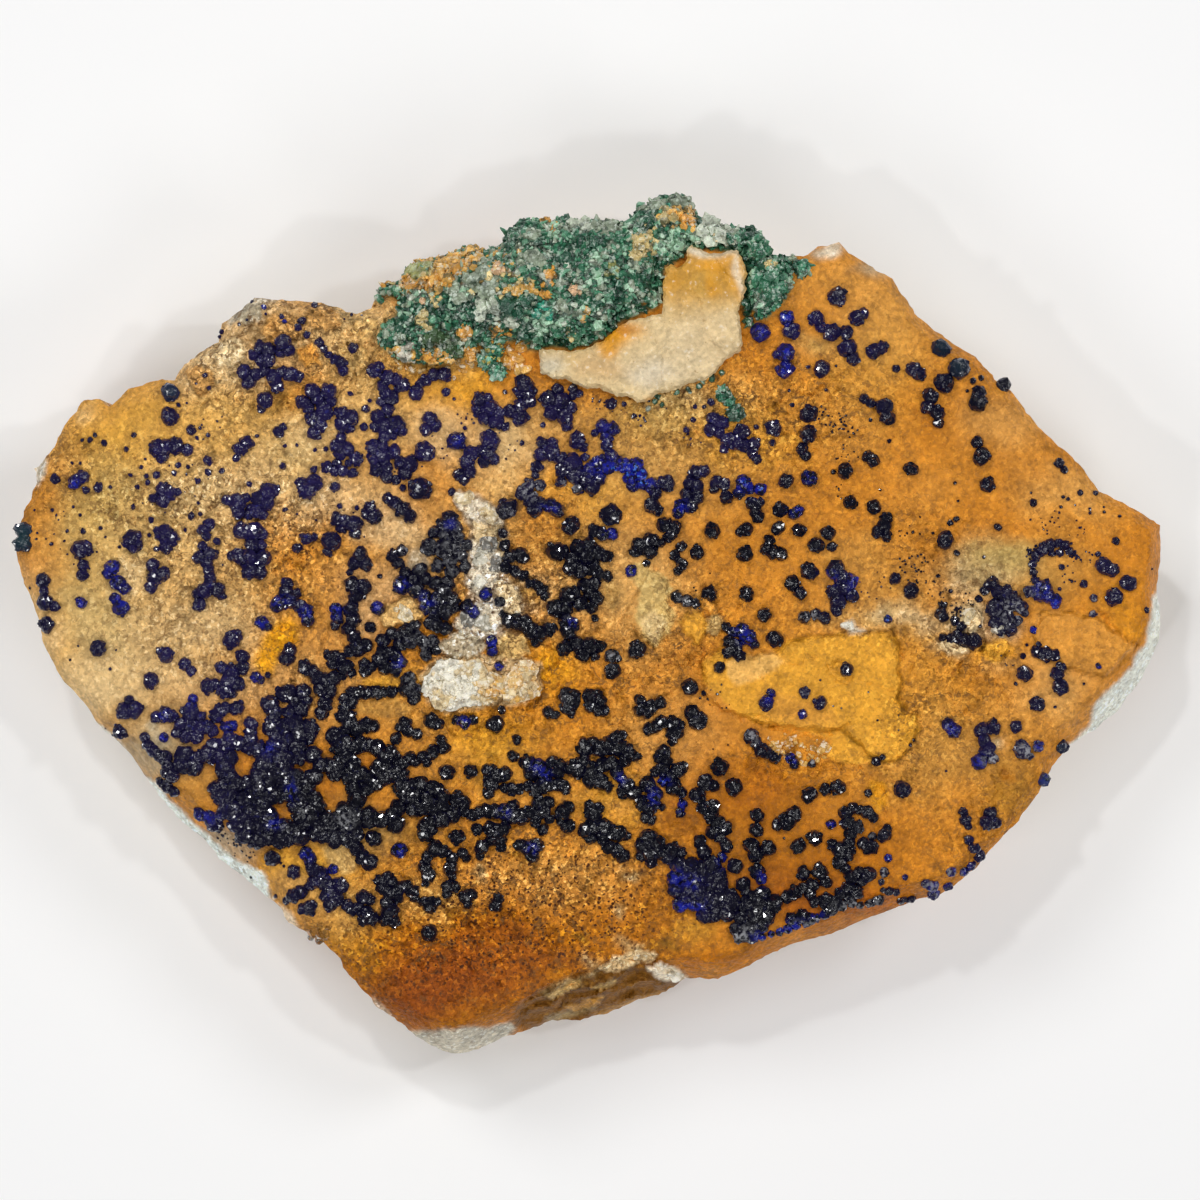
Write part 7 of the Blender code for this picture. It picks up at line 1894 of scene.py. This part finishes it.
def keep_in_box(piece):
    """Cut flat the few grains at the edge that would stand out of the CAD box."""
    low, high = np.array(cad_box[0]) + INSET * np.array((1, 1, 0)), np.array(cad_box[1]) - INSET
    piece.data.vertices.foreach_set("co", np.clip(mesh_points(piece), low, high).astype(np.float32).ravel())
    piece.data.update()


for piece, slot, nodes in STANDS_FOR:
    keep_in_box(piece)
    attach(piece, "root")
    if nodes:
        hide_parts(*nodes)
print("pieces:", len(STANDS_FOR), "faces:", sum(len(piece.data.polygons) for piece, _, _ in STANDS_FOR))

# %% [markdown]
# ## Floor, lamps and camera
#
# The specimen lies on a pale sweep under soft lamps.  The camera looks straight down through a long lens,
# as over a copy stand.  Four large lamps stand around it, so that level faces mirror the dark room above,
# and three small ones draw the glints on tilted faces.

# %% Floor
FLOOR_HALF = 1.6            # half the width of the floor, m


def floor_colour(board):
    return board.mix((0.93, 0.93, 0.93), (0.95, 0.95, 0.95), board.grain(60.0))


def floor_roughness(board):
    return 0.85 + 0.05 * board.grain(9.0)


def floor_relief(board):
    return board.grain(3.0)


corners = [(x * FLOOR_HALF, y * FLOOR_HALF, 0.0) for x, y in ((-1, -1), (1, -1), (1, 1), (-1, 1))]
floor = mesh_object("floor", corners, [(0, 1, 2, 3)])
floor.data.materials.append(finish("floor_paper", floor_colour, floor_roughness, floor_relief, 0.01,
                                   {"Specular IOR Level": 0.1}))
print("floor", 2 * FLOOR_HALF, "m wide")

# %% Lamps
LAMPS = (                   # name, place in m, size in m, power in W
    ("lamp_back_left", (-0.34, 0.36, 0.52), 0.26, 1.40),
    ("lamp_back_right", (0.42, 0.26, 0.50), 0.22, 1.05),
    ("lamp_front_left", (-0.36, -0.34, 0.50), 0.26, 0.95),
    ("lamp_front_right", (0.36, -0.40, 0.52), 0.26, 0.95),
    ("spot_back", (-0.12, 0.30, 0.58), 0.04, 0.55),
    ("spot_right", (0.30, 0.10, 0.58), 0.04, 0.45),
    ("spot_front", (-0.16, -0.28, 0.58), 0.04, 0.35),
)
ROOM_LIGHT = 0.13           # strength of the light from all round
for name, place, size, power in LAMPS:
    light = bpy.data.lights.new(name, "AREA")
    light.shape, light.size, light.energy = "DISK", size, power
    lamp = placed(name, light)
    lamp.location = place
    lamp.rotation_euler = (-Vector(place)).to_track_quat("-Z", "Y").to_euler()
world = bpy.data.worlds.new("studio")
world.use_nodes = True
background = world.node_tree.nodes["Background"]
background.inputs["Color"].default_value = (1.0, 1.0, 1.0, 1.0)
background.inputs["Strength"].default_value = ROOM_LIGHT
bpy.context.scene.world = world
bpy.context.scene.view_settings.view_transform = "Standard"
print(len(LAMPS), "lamps")

# %% Camera
LENS = 150.0                # focal length, mm
SENSOR = 36.0               # width of the sensor, mm
FRAME_SQUARES = 1200.0      # width of the view at the height of the face, squares
VIEW_MIDDLE = (600.0, 600.0)   # square under the lens
camera_data = bpy.data.cameras.new("camera")
camera_data.lens, camera_data.sensor_width = LENS, SENSOR
camera = placed("camera", camera_data)
distance = FRAME_SQUARES * SQUARE * LENS / SENSOR
camera.location = Vector(metres([VIEW_MIDDLE], FACE_LEVEL)[0]) + Vector((0.0, 0.0, distance))
camera_data.clip_start, camera_data.clip_end = 0.05, 10.0
bpy.context.scene.camera = camera
print("camera", round(distance, 3), "m above the face")

# %% [markdown]
# ## Sizes
#
# The fine pieces stay in the box of the CAD model, to which they were clipped above.  The CAD box is printed.

# %% Print the CAD box
print("CAD", cad_box)
